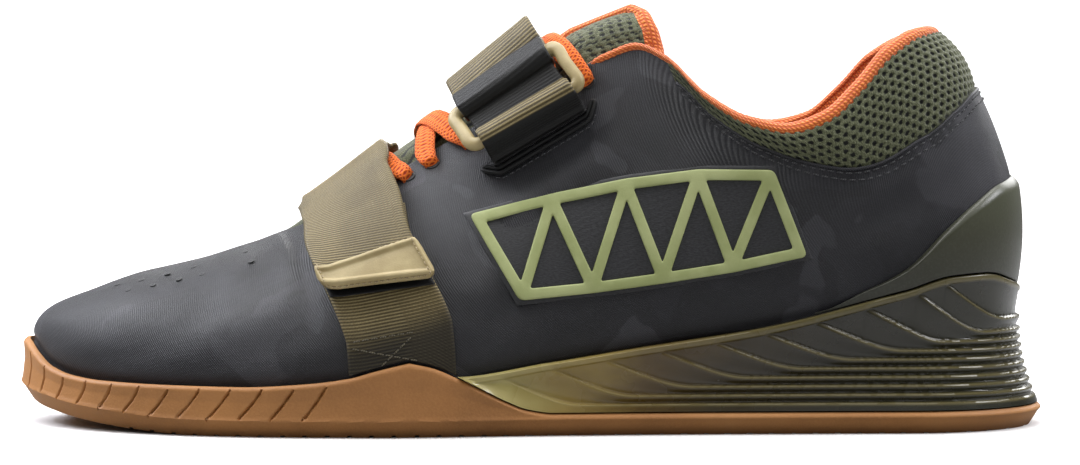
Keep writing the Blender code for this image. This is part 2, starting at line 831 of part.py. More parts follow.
def wedge_offset(station, height):
    """How far the wedge's side stands out of the sole's outline at a height."""
    top = wedge_line(station)
    seat = gum_line(station) + FIT_GAP
    way = min(1.0, max(0.0, (height - seat) / max(1e-6, top - seat)))
    back = min(1.0, max(0.0, (along_of(station) - 0.60) / 0.34))
    back = back * back * (3 - 2 * back)
    waist = WEDGE_WAIST * (0.35 + 0.65 * back)
    lean = waist * math.sin(math.pi * 0.5 * min(1.0, way / 0.6))
    return -WEDGE_SET_BACK - lean - WEDGE_FLARE * back * way


def wedge_side(side, station):
    """Outer side of the wedge from its seat up: keys and points, with stepped ribs."""
    plan, out = outline(side, station), outward(side, station)
    seat, top = gum_line(station) + FIT_GAP, wedge_line(station)

    def at(height, extra=0.0):
        place = plan + out * (wedge_offset(station, height) + extra)
        return np.array((place[0], place[1], height))

    column = [("seat", at(seat))]
    below = seat
    for i in reversed(range(len(WEDGE_RIBS["start"]))):
        rib = rib_on_wedge(i, station)
        if rib is None or rib[0] > top - WEDGE_BROW + 1e-6 or rib[0] < below + RIB_EDGE * 1.2:
            continue
        height, depth = rib
        column.append((("low", i), at(height - RIB_EDGE)))
        column.append((("edge", i), at(height, -depth)))
        below = height
    column.append(("brow", at(max(top - WEDGE_BROW * 0.6, below + 0.0001))))
    column.append(("top", at(top, -0.0006)))
    return column


def build_wedge():
    """Heel wedge: a ribbed block that cups the upper, with a bed for the foot."""
    made = Builder()
    sides = {}
    for side in SIDES:
        columns = []
        for i, station in enumerate(WEDGE_STATIONS):
            if station == 1.0 and side == MEDIAL:
                columns.append(sides[LATERAL][i])
                continue
            plan, out = outline(side, station), outward(side, station)
            seat, top = gum_line(station) + FIT_GAP, wedge_line(station)
            has_floor = station >= FLOOR_START
            foot = bed_height(station) if has_floor else seat

            def inner(height):
                inset = cup_inset(side, station, height)
                return made.point((*(plan - out * inset), height))

            column = {"outer": [(key, made.point(p)) for key, p in wedge_side(side, station)]}
            column["rim"] = inner(top)
            column["mid"] = inner(0.5 * (top + foot))
            column["foot"] = inner(foot)
            under = (*made.points[column["foot"]][:2], seat)
            column["under"] = made.point(under) if has_floor else column["foot"]
            columns.append(column)
        sides[side] = columns
    for side in SIDES:
        for one, other in zip(sides[side], sides[side][1:]):
            zip_columns(made, one["outer"], other["outer"])
            rows = []
            for column in (one, other):
                seat, top = column["outer"][0][1], column["outer"][-1][1]
                rows.append([top, column["rim"], column["mid"], column["foot"]])
                rows.append([column["under"], seat])
            made.strip(rows[0], rows[2])
            made.strip(rows[1], rows[3])
            if one["under"] == one["foot"] and other["under"] != other["foot"]:
                made.face(one["foot"], other["foot"], other["under"])
        front = sides[side][0]
        outer = [p for _, p in front["outer"]]
        close_between(made, outer, [front["foot"], front["mid"], front["rim"]])
    near, far = sides[LATERAL], sides[MEDIAL]
    first = next(i for i, column in enumerate(near) if column["under"] != column["foot"])
    made.face(near[first]["under"], near[first]["foot"], far[first]["foot"], far[first]["under"])
    for i in range(first, len(near) - 1):
        for row in ("foot", "under"):
            made.face(near[i][row], near[i + 1][row], far[i + 1][row], far[i][row])
    return made.add("heel_wedge", "wedge")


def close_between(made, one, other):
    """Triangles between two point rows whose first and last points face each other."""
    i = j = 0
    while i < len(one) - 1 or j < len(other) - 1:
        ahead_one = (i + 1) / max(1, len(one) - 1)
        ahead_other = (j + 1) / max(1, len(other) - 1)
        if j >= len(other) - 1 or (i < len(one) - 1 and ahead_one <= ahead_other):
            made.face(one[i], one[i + 1], other[j])
            i += 1
        else:
            made.face(one[i], other[j + 1], other[j])
            j += 1


def zip_columns(made, one, other):
    """Faces between two columns that share most of their keys."""
    keys_one, keys_other = [k for k, _ in one], [k for k, _ in other]
    shared = [k for k in keys_one if k in keys_other]
    for low, high in zip(shared, shared[1:]):
        left = [p for _, p in one[keys_one.index(low): keys_one.index(high) + 1]]
        right = [p for _, p in other[keys_other.index(low): keys_other.index(high) + 1]]
        if len(left) == 2 and len(right) == 2:
            made.face(left[0], left[1], right[1], right[0])
        else:
            close_between(made, left, right)


def upper_shares(station):
    """Shares of a rib at the upper's rows: outer fabric, then the mesh above its seam."""
    seam = RIB["seam"](station)
    fabric = [seam * i / FABRIC_ROWS for i in range(FABRIC_ROWS + 1)]
    mesh = [seam + (1 - seam) * way for way in (0.16, 0.55, 1.0)]
    return fabric + mesh


def build_upper():
    """Upper: one hollow shell from its lower edge to the throat and the padded collar."""
    made = Builder()
    grid = {}
    walls = []
    count = len(upper_shares(0.5))
    for side in SIDES:
        for i, station in enumerate(SHELL_STATIONS):
            if side == MEDIAL and station in (0.0, 1.0):
                grid[side, i] = grid[LATERAL, i]
                continue
            row = []
            for k, share in enumerate(upper_shares(station)):
                closed = along_of(station) <= THROAT_START and k == count - 1
                if side == MEDIAL and closed:
                    row.append(grid[LATERAL, i][-1])
                    continue
                relief = mesh_relief(station, share)
                row.append(made.point(shell_point(side, station, share, relief)))
                walls.append(wall_at(station, share) + relief)
            grid[side, i] = row
        for i in range(len(SHELL_STATIONS) - 1):
            made.strip(grid[side, i], grid[side, i + 1])
    skin = len(made.points)
    for normal, wall, place in zip(point_normals(made), walls, list(made.points)):
        made.point(place - normal * wall)
    for side in SIDES:
        for i in range(len(SHELL_STATIONS)):
            foot = grid[side, i][0]
            made.points[foot + skin][2] = made.points[foot][2]
    made.faces += [[c + skin for c in reversed(face)] for face in list(made.faces)]
    rims = {}
    for side in SIDES:
        for i, station in enumerate(SHELL_STATIONS):
            if side == MEDIAL and station == 1.0:
                rims[side, i] = rims[LATERAL, i]
            elif along_of(station) > THROAT_START:
                outer = made.points[grid[side, i][-1]]
                inner = made.points[grid[side, i][-1] + skin]
                middle = 0.5 * (outer + inner)
                crown = RIM_CROWN * collar_share(station)
                middle[2] += crown * np.linalg.norm(outer - inner)
                rims[side, i] = made.point(middle)
        for i in range(len(SHELL_STATIONS) - 1):
            foot, next_foot = grid[side, i][0], grid[side, i + 1][0]
            made.face(foot, next_foot, next_foot + skin, foot + skin)
            if (side, i + 1) not in rims:
                continue
            outer, after = grid[side, i][-1], grid[side, i + 1][-1]
            rim_after = rims[side, i + 1]
            if (side, i) in rims:
                made.face(outer, after, rim_after, rims[side, i])
                made.face(rims[side, i], rim_after, after + skin, outer + skin)
            else:
                made.face(outer, after, rim_after)
                made.face(outer, rim_after, outer + skin)
                made.face(rim_after, after + skin, outer + skin)
    return made.add("upper", "microfibre")


def point_normals(made):
    """Outward normals at the points of an open skin around the foot."""
    mesh = bpy.data.meshes.new("skin")
    mesh.from_pydata([tuple(map(float, p)) for p in made.points], [], made.faces)
    work = bmesh.new()
    work.from_mesh(mesh)
    bmesh.ops.recalc_face_normals(work, faces=work.faces)
    work.normal_update()
    work.verts.ensure_lookup_table()
    normals = [np.array(v.normal) for v in work.verts]
    work.free()
    bpy.data.meshes.remove(mesh)
    lateral_most = min(range(len(made.points)), key=lambda i: made.points[i][1])
    if normals[lateral_most][1] > 0:
        normals = [-n for n in normals]
    return normals


def shell_point(side, station, share, lift):
    """Point a distance off the upper's outer surface."""
    place = rib_point(side, station, share)
    if not lift:
        return place
    if station in (0.0, 1.0):
        low = rib_point(side, station, share - 0.01)
        high = rib_point(side, station, share + 0.01)
        normal = np.array((high[2] - low[2], 0.0, low[0] - high[0]))
        if station == 0.0:
            normal = -normal
        return place + normal / np.linalg.norm(normal) * lift
    return place + rib_normal(side, station, share) * lift


def share_at_height(side, station, height):
    low, high = 0.0, 1.0
    for _ in range(24):
        middle = 0.5 * (low + high)
        if rib_point(side, station, middle)[2] < height:
            low = middle
        else:
            high = middle
    return high


def build_counter():
    """Heel counter: a shell round the heel that stands on the wedge's cup."""
    first = turn(COUNTER_TOP["along"][0])
    stations = [s for s in SHELL_STATIONS if s > first]
    made = Builder()
    columns = {}
    for side in SIDES:
        columns[side] = []
        for i, station in enumerate(stations):
            if side == MEDIAL and station == 1.0:
                columns[side].append(columns[LATERAL][i])
                continue
            foot = share_at_height(side, station, wedge_line(station) + FIT_GAP)
            top = max(foot + 0.02, COUNTER_SHARE(station))
            span = top - foot
            shares = [foot + span * k / COUNTER_ROWS for k in range(COUNTER_ROWS + 1)]
            lift = FIT_GAP + COUNTER_WALL
            inner = [shell_point(side, station, s, FIT_GAP) for s in shares]
            outer = [shell_point(side, station, s, lift) for s in shares]
            outer[-1] = shell_point(side, station, top - 0.15 * span, lift)
            outer[0][2] = inner[0][2]
            columns[side].append([made.point(p) for p in inner + outer[::-1]])
        made.tube(columns[side])
        made.ladder(columns[side][0])
    return made.add("heel_counter", "counter")


def build_insole():
    def profile(side, station):
        foot, out = feather(side, station), outward(side, station)
        inset = WALL + FIT_GAP * 3
        return [
            (*(foot[:2] - out * inset), foot[2]),
            (*(foot[:2] - out * inset), foot[2] + INSOLE_THICKNESS * 0.8),
            (*(foot[:2] - out * (inset + 0.0012)), foot[2] + INSOLE_THICKNESS),
        ]

    return two_sided("insole", "orange", EVEN[::2], profile)


class Dome:
    """The line over the instep at one station: up the lateral rib, over the throat
    and down the medial rib. Places on it are lengths from the lateral throat edge,
    negative down the lateral side."""

    def __init__(self, station):
        near = [rib_point(LATERAL, station, i / DOME_STEPS) for i in range(DOME_STEPS + 1)]
        far = [rib_point(MEDIAL, station, i / DOME_STEPS) for i in range(DOME_STEPS + 1)]
        far.reverse()
        start, end = near[-1], far[0]
        edge = top_line(LATERAL, station + 0.02) - top_line(LATERAL, station - 0.02)
        edge /= np.linalg.norm(edge)
        handles = []
        for lead in (near[-1] - near[-2], far[0] - far[1]):
            lead = lead - edge * np.dot(lead, edge)
            handles.append(lead / np.linalg.norm(lead) * DOME_CROWN * np.linalg.norm(end - start))
        first, second = start + handles[0], end + handles[1]
        arch = []
        for i in range(1, DOME_STEPS // 2):
            t = i / (DOME_STEPS // 2)
            u = 1 - t
            arch.append(
                start * u**3 + first * 3 * u * u * t + second * 3 * u * t * t + end * t**3
            )
        self.line = np.array(near + arch + far)
        length = np.linalg.norm(np.diff(self.line, axis=0), axis=1)
        run = np.concatenate(([0.0], np.cumsum(length)))
        self.run = run - run[len(near) - 1]
        self.gap = run[len(near) + len(arch)] - run[len(near) - 1]

    def place(self, at):
        return np.array([np.interp(at, self.run, self.line[:, k]) for k in range(3)])


class Saddle:
    """Surface over the instep, between two stations, that carries straps and laces."""

    def __init__(self, first, last):
        self.first, self.last = first, last
        count = 27
        steps = [first + (last - first) * i / (count - 1) for i in range(count)]
        self.domes = [Dome(s) for s in steps]

    def between(self, station):
        way = (station - self.first) / (self.last - self.first) * (len(self.domes) - 1)
        i = int(min(max(way, 0.0), len(self.domes) - 2))
        return self.domes[i], self.domes[i + 1], way - i

    def surface(self, station, at):
        one, other, part = self.between(station)
        return one.place(at) * (1 - part) + other.place(at) * part

    def gap(self, station):
        one, other, part = self.between(station)
        return one.gap * (1 - part) + other.gap * part

    def point(self, station, at, lift):
        """Point a distance off the surface, along its smoothed normal."""
        over = self.surface(station, at + 0.0035) - self.surface(station, at - 0.0035)
        back = self.surface(station + 0.008, at) - self.surface(station - 0.008, at)
        normal = np.cross(back, over)
        return self.surface(station, at) + normal / np.linalg.norm(normal) * lift

    def across(self, station, at, distance):
        """Station that lies a distance further along the shoe, at one place."""
        back = self.surface(station + 0.004, at) - self.surface(station - 0.004, at)
        return station + distance * 0.008 / np.linalg.norm(back)

    def place_at_height(self, station, height, side):
        """Place on one side where the surface is at a height."""
        low, high = (-0.085, 0.0) if side == LATERAL else (0.115, 0.0)
        for _ in range(26):
            middle = 0.5 * (low + high)
            if self.surface(station, middle)[2] < height:
                low = middle
            else:
                high = middle
        return low

    def row_foot(self, centre, distance, height, side, drift):
        """Place of a strap's row where it reaches a height, which varies by station."""
        at = -0.030 if side == LATERAL else self.gap(centre) + 0.030
        for _ in range(6):
            station = self.across(centre, at, distance + drift(at))
            at = self.place_at_height(station, height(station), side)
        return at


def smooth(way):
    way = min(1.0, max(0.0, way))
    return way * way * (3 - 2 * way)


def spread(first, last, count, lift):
    """Evenly spaced path points, whose lift is a function of the place."""
    places = [first + (last - first) * i / (count - 1) for i in range(count)]
    return [(p, lift(p)) for p in places]


def straight(at):
    return 0.0


def wander(at):
    return STRAP_BACK(at / BALL_WIDTH) * BALL_WIDTH


def ribbon(name, finish, saddle, centre, width, path, thickness, rows=4, drift=straight):
    """A strap whose middle line is `path(distance)`, a list of (place, lift).

    `distance` runs across the strap's width, along the shoe from its middle, and
    `drift` moves the strap backwards by an amount that depends on the place.
    """
    made = Builder()
    rings = []
    for k in range(rows):
        distance = (k / (rows - 1) - 0.5) * width
        line = [np.array(p, float) for p in path(distance)]
        near, far = [], []
        for i, here in enumerate(line):
            run = line[min(i + 1, len(line) - 1)] - line[max(i - 1, 0)]
            normal = np.array((-run[1], run[0])) / np.linalg.norm(run) * thickness / 2
            near.append(here - normal)
            far.append(here + normal)
        ring = []
        for at, lift in near + far[::-1]:
            station = saddle.across(centre, at, distance + drift(at))
            ring.append(made.point(saddle.point(station, at, lift)))
        rings.append(ring)
    made.tube(rings)
    made.ladder(rings[0])
    made.ladder(rings[-1])
    return made.add(name, finish)


def over_throat(at, gap, low, high):
    """Lift that grows from `low` on the sides to `high` over the throat."""
    reach = min(at, gap - at) + LACE_MARGIN + LACE_WIDTH * 0.4
    return low + (high - low) * smooth(1 + reach / THROAT_RAMP)


LACE_TOP = LACE_LIFT + LACE_THICKNESS * (1 + LACE_HUMP) + FIT_GAP
HALF_WEBBING = WEBBING_THICKNESS / 2
LAYER = WEBBING_THICKNESS + FIT_GAP
BAR_REACH = RING_BAR / 2 + FIT_GAP + HALF_WEBBING
RING_LIFT = LACE_TOP + FIT_GAP + HALF_WEBBING + BAR_REACH
UPPER_BAR = RING_AT + (RING_INSIDE_WIDTH + RING_BAR) / 2
LOWER_BAR = RING_AT - (RING_INSIDE_WIDTH + RING_BAR) / 2
RING_STRAP_WIDTH = RING_INSIDE_LENGTH - 2 * (RING_CORNER - RING_BAR / 2 + FIT_GAP)


def skewed(path):
    """A path whose places near the ring lean with the ring's own skew."""
    def leaning(distance):
        return [(at + lean_at(at) * distance, lift) for at, lift in path(distance)]

    return leaning


def lean_at(at):
    return RING_SKEW * smooth(1.6 - at / (2 * RING_INSIDE_LENGTH) * 1.6)


def build_lower_strap(saddle):
    """Forefoot strap: a base that rises from the lateral sole with a hook pad on it,
    and the strap that comes up the medial side, over the laces, and closes on them."""
    centre = turn(LOWER_STRAP_ALONG)
    gap = saddle.gap(centre)

    def sole_rim(station):
        return gum_line(station) + FIT_GAP * 2

    def strap_end(station):
        return STRAP_END_HEIGHT

    base_lift = FIT_GAP + HALF_WEBBING
    pad_lift = base_lift + HALF_WEBBING + FIT_GAP + HOOK_PAD / 2
    strap_lift = pad_lift + HOOK_PAD / 2 + FIT_GAP + HALF_WEBBING

    def base(distance):
        foot = saddle.row_foot(centre, distance, sole_rim, LATERAL, wander)
        return spread(foot, BASE_END, 9, lambda at: base_lift)

    def pad(distance):
        end = saddle.row_foot(centre, distance, strap_end, LATERAL, wander)
        return spread(end - HOOK_PAD_SHOWS, BASE_END, 6, lambda at: pad_lift)

    def strap(distance):
        end = saddle.row_foot(centre, distance, strap_end, LATERAL, wander)
        foot = saddle.row_foot(centre, distance, sole_rim, MEDIAL, wander)
        high = LACE_TOP + 2 * FIT_GAP + HALF_WEBBING

        def lift(at):
            low = strap_lift if at < gap / 2 else base_lift
            return over_throat(at, gap, low, max(low, high))

        return spread(end, foot, 23, lift)

    for name, finish, path, thickness in (
        ("strap_base", "webbing", base, WEBBING_THICKNESS),
        ("hook_pad", "black_webbing", pad, HOOK_PAD),
        ("strap_lower", "webbing", strap, WEBBING_THICKNESS),
    ):
        width = WEBBING_WIDTH - (FIT_GAP * 2 if path is pad else 0.0)
        ribbon(name, finish, saddle, centre, width, path, thickness, drift=wander)
    build_tab(saddle, centre, strap_end, strap_lift + HALF_WEBBING + FIT_GAP)


def build_tab(saddle, centre, strap_end, lift):
    """Moulded pull tab on the lower strap's end: tapered, with a rim round its face."""
    made = Builder()
    rings = []
    for way, inset, has_face in zip(TAB["across"], TAB["inset"], TAB["face"]):
        distance = (way - 0.5) * TAB_WIDTH
        low = saddle.row_foot(centre, distance, strap_end, LATERAL, wander) - TAB_OVERHANG
        height = TAB_HEIGHT * (TAB_TAPER + (1 - TAB_TAPER) * way)
        low, high = low + inset * TAB_HEIGHT, low + height - inset * TAB_HEIGHT
        rim = min(0.4, TAB_RIM / (high - low))
        floor = 1.0 - TAB_RECESS * has_face
        face = (
            (0.0, 0.8), (rim * 0.4, 1.0), (rim, 1.0), (rim * 1.25, floor),
            (1 - rim * 1.25, floor), (1 - rim, 1.0), (1 - rim * 0.4, 1.0), (1.0, 0.8),
        )
        profile = face + tuple((1 - k / (len(face) - 1), 0.0) for k in range(len(face)))
        ring = []
        for across, up in profile:
            at = low + (high - low) * across
            station = saddle.across(centre, at, distance + wander(at))
            ring.append(made.point(saddle.point(station, at, lift + up * TAB_THICKNESS)))
        rings.append(ring)
    made.tube(rings)
    made.ladder(rings[0])
    made.ladder(rings[-1])
    return made.add("strap_tab", "beige")


def build_upper_strap(saddle):
    """Instep strap: up the medial side, over the laces, round the ring's upper bar and
    back over itself, to end on top of the foot."""
    centre = turn(UPPER_STRAP_ALONG)
    gap = saddle.gap(centre)
    high = LACE_TOP + FIT_GAP + HALF_WEBBING

    def first_layer(at):
        return over_throat(max(at, 0.0), gap, FIT_GAP + HALF_WEBBING, high)

    def path(distance):
        loop = FOLD_LIFT * (1 + FOLD_TWIST * 2 * distance / RING_STRAP_WIDTH)

        def second_layer(at):
            way = (at - UPPER_BAR) / FOLD_LENGTH
            hump = loop * math.sin(math.pi * min(1.0, max(0.0, way))) ** 1.3
            rest = first_layer(at) + LAYER
            start = 2 * BAR_REACH - LAYER
            return rest + max(hump, start * (1 - smooth(way / 0.5)))

        foot = saddle.row_foot(centre, distance, lambda s: STRAP_ANCHOR_HEIGHT, MEDIAL, straight)
        line = spread(foot, UPPER_BAR + 0.003, 11, first_layer)
        for i in range(7):
            angle = math.pi * (0.08 + 0.84 * i / 6)
            line.append((
                UPPER_BAR - BAR_REACH * math.sin(angle),
                RING_LIFT - BAR_REACH * math.cos(angle),
            ))
        return line + spread(UPPER_BAR + 0.003, UPPER_BAR + FOLD_LENGTH * 1.5, 11, second_layer)

    ribbon("strap_upper", "webbing", saddle, centre, RING_STRAP_WIDTH, skewed(path),
           WEBBING_THICKNESS)
    build_ring(saddle, centre)
    build_anchor(saddle, centre)


def build_ring(saddle, centre):
    """Rectangular ring with round corners, lying off the edge of the throat."""
    made = Builder()
    half_long = (RING_INSIDE_LENGTH + RING_BAR) / 2 - RING_CORNER
    half_wide = (RING_INSIDE_WIDTH + RING_BAR) / 2 - RING_CORNER
    line = []
    for right, up, start in ((1, 1, 0), (-1, 1, 90), (-1, -1, 180), (1, -1, 270)):
        for i in range(4):
            angle = math.radians(start + 30 * i)
            line.append((
                right * half_long + RING_CORNER * math.cos(angle),
                up * half_wide + RING_CORNER * math.sin(angle),
            ))
    rings = []
    for i, (along, at) in enumerate(line):
        before, after = line[i - 1], line[(i + 1) % len(line)]
        run = np.array((after[0] - before[0], after[1] - before[1]))
        normal = np.array((run[1], -run[0])) / np.linalg.norm(run)
        ring = []
        for k in range(8):
            angle = 2 * math.pi * (k + 0.5) / 8
            reach = RING_BAR / 2 * math.cos(angle)
            distance = along + normal[0] * reach
            place = RING_AT + at + normal[1] * reach
            place += lean_at(place) * distance
            station = saddle.across(centre, place, distance)
            height = RING_LIFT + RING_BAR / 2 * math.sin(angle)
            ring.append(made.point(saddle.point(station, place, height)))
        rings.append(ring)
    made.tube(rings + rings[:1])
    return made.add("strap_ring", "beige")


def build_anchor(saddle, centre):
    """Webbing folded round the ring's lower bar, its ends held in a welt on the quarter."""
    foot = LOWER_BAR - ANCHOR_LENGTH
    low = FIT_GAP + HALF_WEBBING

    def path(distance):
        line = [(foot, low), (0.5 * (foot + LOWER_BAR), low + 0.15 * (RING_LIFT - BAR_REACH - low))]
        for i in range(10):
            angle = math.radians(-105 + 250 * i / 9)
            line.append((
                LOWER_BAR + BAR_REACH * math.cos(angle),
                RING_LIFT + BAR_REACH * math.sin(angle),
            ))
        return line + [(foot + 0.3 * ANCHOR_LENGTH, low + LAYER * 1.6), (foot, low + LAYER)]

    shape = (saddle, centre, RING_STRAP_WIDTH)
    ribbon("ring_anchor", "webbing", *shape, skewed(path), WEBBING_THICKNESS)

    def welt(distance):
        return [(foot - 0.0004 - WELT_WIDTH, FIT_GAP + WELT_HEIGHT / 2),
                (foot - 0.0004 - WELT_WIDTH / 2, FIT_GAP + WELT_HEIGHT / 2),
                (foot - 0.0004, FIT_GAP + WELT_HEIGHT / 2)]

    width = RING_STRAP_WIDTH + 2 * WELT_WIDTH
    ribbon("slot_welt", "black_webbing", saddle, centre, width, skewed(welt), WELT_HEIGHT)


def build_laces(saddle):
    """Crossed flat laces over the tongue: one joined crossing for each pair of eyelets."""
    eyelets = [turn(a) for a in EYELETS["along"]]
    for i in range(len(eyelets) - 1):
        pieces = []
        clear = EYELET_CLEAR * (eyelets[i + 1] - eyelets[i])
        first, last = eyelets[i] + clear, eyelets[i + 1] - clear
        for ends, hump in (((first, last), 0.0), ((last, first), LACE_THICKNESS * LACE_HUMP)):
            pieces.append(lace_run(saddle, *ends, hump, f"lace_{i + 1}"))
        combine(pieces[0], pieces[1:], "UNION").name = f"lace_{i + 1}"


def lace_run(saddle, first, last, hump, name):
    """One flat lace from a lateral eyelet over the throat to a medial one."""
    made = Builder()
    rings = []

    def spot(way):
        station = first + (last - first) * way
        return station, -LACE_MARGIN + (saddle.gap(station) + 2 * LACE_MARGIN) * way

    for i in range(LACE_STEPS + 1):
        way = i / LACE_STEPS
        station, at = spot(way)
        lift = LACE_LIFT + hump * math.sin(math.pi * way) ** 0.7
        run = saddle.surface(*spot(way + 0.05)) - saddle.surface(*spot(way - 0.05))
        over = saddle.surface(station, at + 0.001) - saddle.surface(station, at - 0.001)
        back = saddle.surface(station + 0.002, at) - saddle.surface(station - 0.002, at)
        width = np.cross(run, np.cross(back, over))
        width *= LACE_WIDTH / 2 / np.linalg.norm(width)
        shift = np.linalg.lstsq(np.stack((back, over), axis=1), width, rcond=None)[0]
        shift *= (0.004, 0.002)
        ring = []
        for share, height in ((-1, lift), (1, lift), (0.9, None), (-0.9, None)):
            rise = lift + LACE_THICKNESS if height is None else height
            ring.append(made.point(
                saddle.point(station + share * shift[0], at + share * shift[1], rise)
            ))
        rings.append(ring)
    made.tube(rings)
    made.face(*rings[0])
    made.face(*rings[-1])
    return made.add(name, "orange")


def tongue_ring(saddle, station, reach):
    """Outline of the tongue at a station: its wings lie under the eyestays."""
    gap = saddle.gap(station)
    wing = [-TONGUE_WING * reach * w for w in (1.0, 0.66, 0.33, 0.0)]
    places = wing + [gap * w for w in (0.2, 0.4, 0.6, 0.8)] + [gap - w for w in reversed(wing)]
    outer, inner = [], []
    for at in places:
        lift = -(WALL + FIT_GAP) * (1 - smooth(min(at, gap - at) / (gap * 0.3))) - FIT_GAP / 2
        edge = min(1.0, (min(at, gap - at) + TONGUE_WING * reach) / 0.008)
        thick = TONGUE_THICKNESS * (0.4 + 0.6 * edge)
        outer.append(saddle.point(station, at, lift))
        inner.append(saddle.point(station, at, lift - thick))
    return outer + inner[::-1]


def build_tongue(saddle):
    """Tongue: wings under the eyestays, a crown in the throat, and a rounded top that
    stands up beyond them."""
    made = Builder()
    rings = [tongue_ring(saddle, turn(a), w) for a, w in zip(TONGUE["along"], TONGUE["wing"])]
    last = rings[-1]
    run = np.mean([a - b for a, b in zip(last, rings[-2])], axis=0)
    run = run / np.linalg.norm(run) + np.array((TONGUE_LEAN, 0.0, 0.0))
    run /= np.linalg.norm(run)
    middle = np.mean(last, axis=0)
    half = max(abs(p[1] - middle[1]) for p in last)
    for reach, narrow in zip(TONGUE_TOP["reach"], TONGUE_TOP["narrow"]):
        ring = []
        for p in last:
            side = (p[1] - middle[1]) / half
            lift = TONGUE_RISE * reach * (1 - TONGUE_ROUND * side * side)
            ring.append(p + run * lift + np.array((0.0, -side * half * (1 - narrow), 0.0)))
        rings.append(ring)
    indexed = [[made.point(p) for p in ring] for ring in rings]
    made.tube(indexed)
    made.ladder(indexed[0])
    made.ladder(indexed[-1])
    return made.add("tongue", "olive_mesh")


def side_point(x, height, lift):
    """Point on the lateral side of the upper at a place along and a height."""
    station, share = turn(0.5 + x / LENGTH), 0.5
    for _ in range(12):
        place = rib_point(LATERAL, station, share)
        back = rib_point(LATERAL, station + 0.002, share) - place
        up = rib_point(LATERAL, station, share + 0.002) - place
        system = np.array(((back[0], up[0]), (back[2], up[2])))
        move = np.linalg.solve(system, np.array((x - place[0], height - place[2]))) * 0.002
        station += float(np.clip(move[0], -0.05, 0.05))
        share += float(np.clip(move[1], -0.1, 0.1))
    return rib_point(LATERAL, station, share) + rib_normal(LATERAL, station, share) * lift


def brace_outlines():
    """Rim of the side brace and of its three-cornered windows, as (x, height) corners."""
    tops = [(x_at(a), h * UPPER_HEIGHT) for a, h in zip(BRACE["top_along"], BRACE["top_height"])]
    feet = [(x_at(a), h * UPPER_HEIGHT) for a, h in zip(BRACE["foot_along"], BRACE["foot_height"])]
    windows = []
    for i in range(len(tops) - 1):
        windows.append([tops[i], tops[i + 1], feet[i]])
        windows.append([tops[i + 1], feet[i + 1], feet[i]])
    return grow(tops + feet[::-1], BRACE_WIDTH / 2), [grow(w, -BRACE_WIDTH / 2) for w in windows]


def build_brace():
    """Raised side brace: a frame with three-cornered windows, laid on the quarter."""
    rim, windows = brace_outlines()
    points, edges = [], []
    for loop in [rim] + windows:
        fine = []
        for a, b in zip(loop, loop[1:] + loop[:1]):
            a, b = np.array(a), np.array(b)
            parts = max(1, round(np.linalg.norm(b - a) / BRACE_STEP))
            fine += [a + (b - a) * k / parts for k in range(parts)]
        edges += [(len(points) + k, len(points) + (k + 1) % len(fine)) for k in range(len(fine))]
        points += fine
    flat, _, faces, *_ = delaunay_2d_cdt([Vector(p) for p in points], edges, [], 1, 1e-7)
    made = Builder()
    seat = FIT_GAP * 1.5
    low = [made.point(side_point(p[0], p[1], seat)) for p in flat]
    high = [made.point(side_point(p[0], p[1], seat + BRACE_THICKNESS)) for p in flat]
    sides = set()
    for face in faces:
        middle = np.mean([flat[v] for v in face], axis=0)
        if not inside(middle, rim) or any(inside(middle, w) for w in windows):
            continue
        made.face(*[low[v] for v in face])
        made.face(*[high[v] for v in reversed(face)])
        sides.update(zip(face, list(face[1:]) + [face[0]]))
    for a, b in sorted(sides):
        if (b, a) not in sides:
            made.face(low[a], low[b], high[b], high[a])
    return made.add("side_brace", "pale_green")


def grow(corners, distance):
    """A polygon with its sides moved outwards, or inwards where distance is negative."""
    area = sum(a[0] * b[1] - b[0] * a[1] for a, b in zip(corners, corners[1:] + corners[:1]))
    way = 1.0 if area > 0 else -1.0
    moved = []
    for i, corner in enumerate(corners):
        before, after = np.array(corners[i - 1]), np.array(corners[(i + 1) % len(corners)])
        here = np.array(corner)
        one = (here - before) / np.linalg.norm(here - before)
        other = (after - here) / np.linalg.norm(after - here)
        middle = np.array((one[1] + other[1], -one[0] - other[0])) * way
        moved.append(tuple(here + middle * distance / max(0.2, 0.5 * np.dot(middle, middle))))
    return moved


def inside(point, polygon):
    hit = False
    for a, b in zip(polygon, polygon[1:] + polygon[:1]):
        if (a[1] > point[1]) != (b[1] > point[1]):
            cross = a[0] + (point[1] - a[1]) / (b[1] - a[1]) * (b[0] - a[0])
            hit = hit != (point[0] < cross)
    return hit


def main():
    start_scene()
    build_outsole()
    build_wedge()
    build_upper()
    build_counter()
    build_insole()
    saddle = Saddle(turn(0.28), turn(0.68))
    build_tongue(saddle)
    build_laces(saddle)
    build_lower_strap(saddle)
    build_upper_strap(saddle)
    build_brace()


main()
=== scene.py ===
"""Looks of the weightlifting shoe for the left foot.

Toe towards -X, heel towards +X, lateral side towards -Y, medial side towards +Y,
floor at z = 0. Metres. The soft and moulded pieces are drawn again, finer, from the
same sizes, sole outline and ribs as the solids, and take their surface detail here.
"""

import math
from functools import lru_cache

import bmesh
import bpy
import numpy as np
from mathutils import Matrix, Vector
from mathutils.geometry import delaunay_2d_cdt
from mathutils.kdtree import KDTree


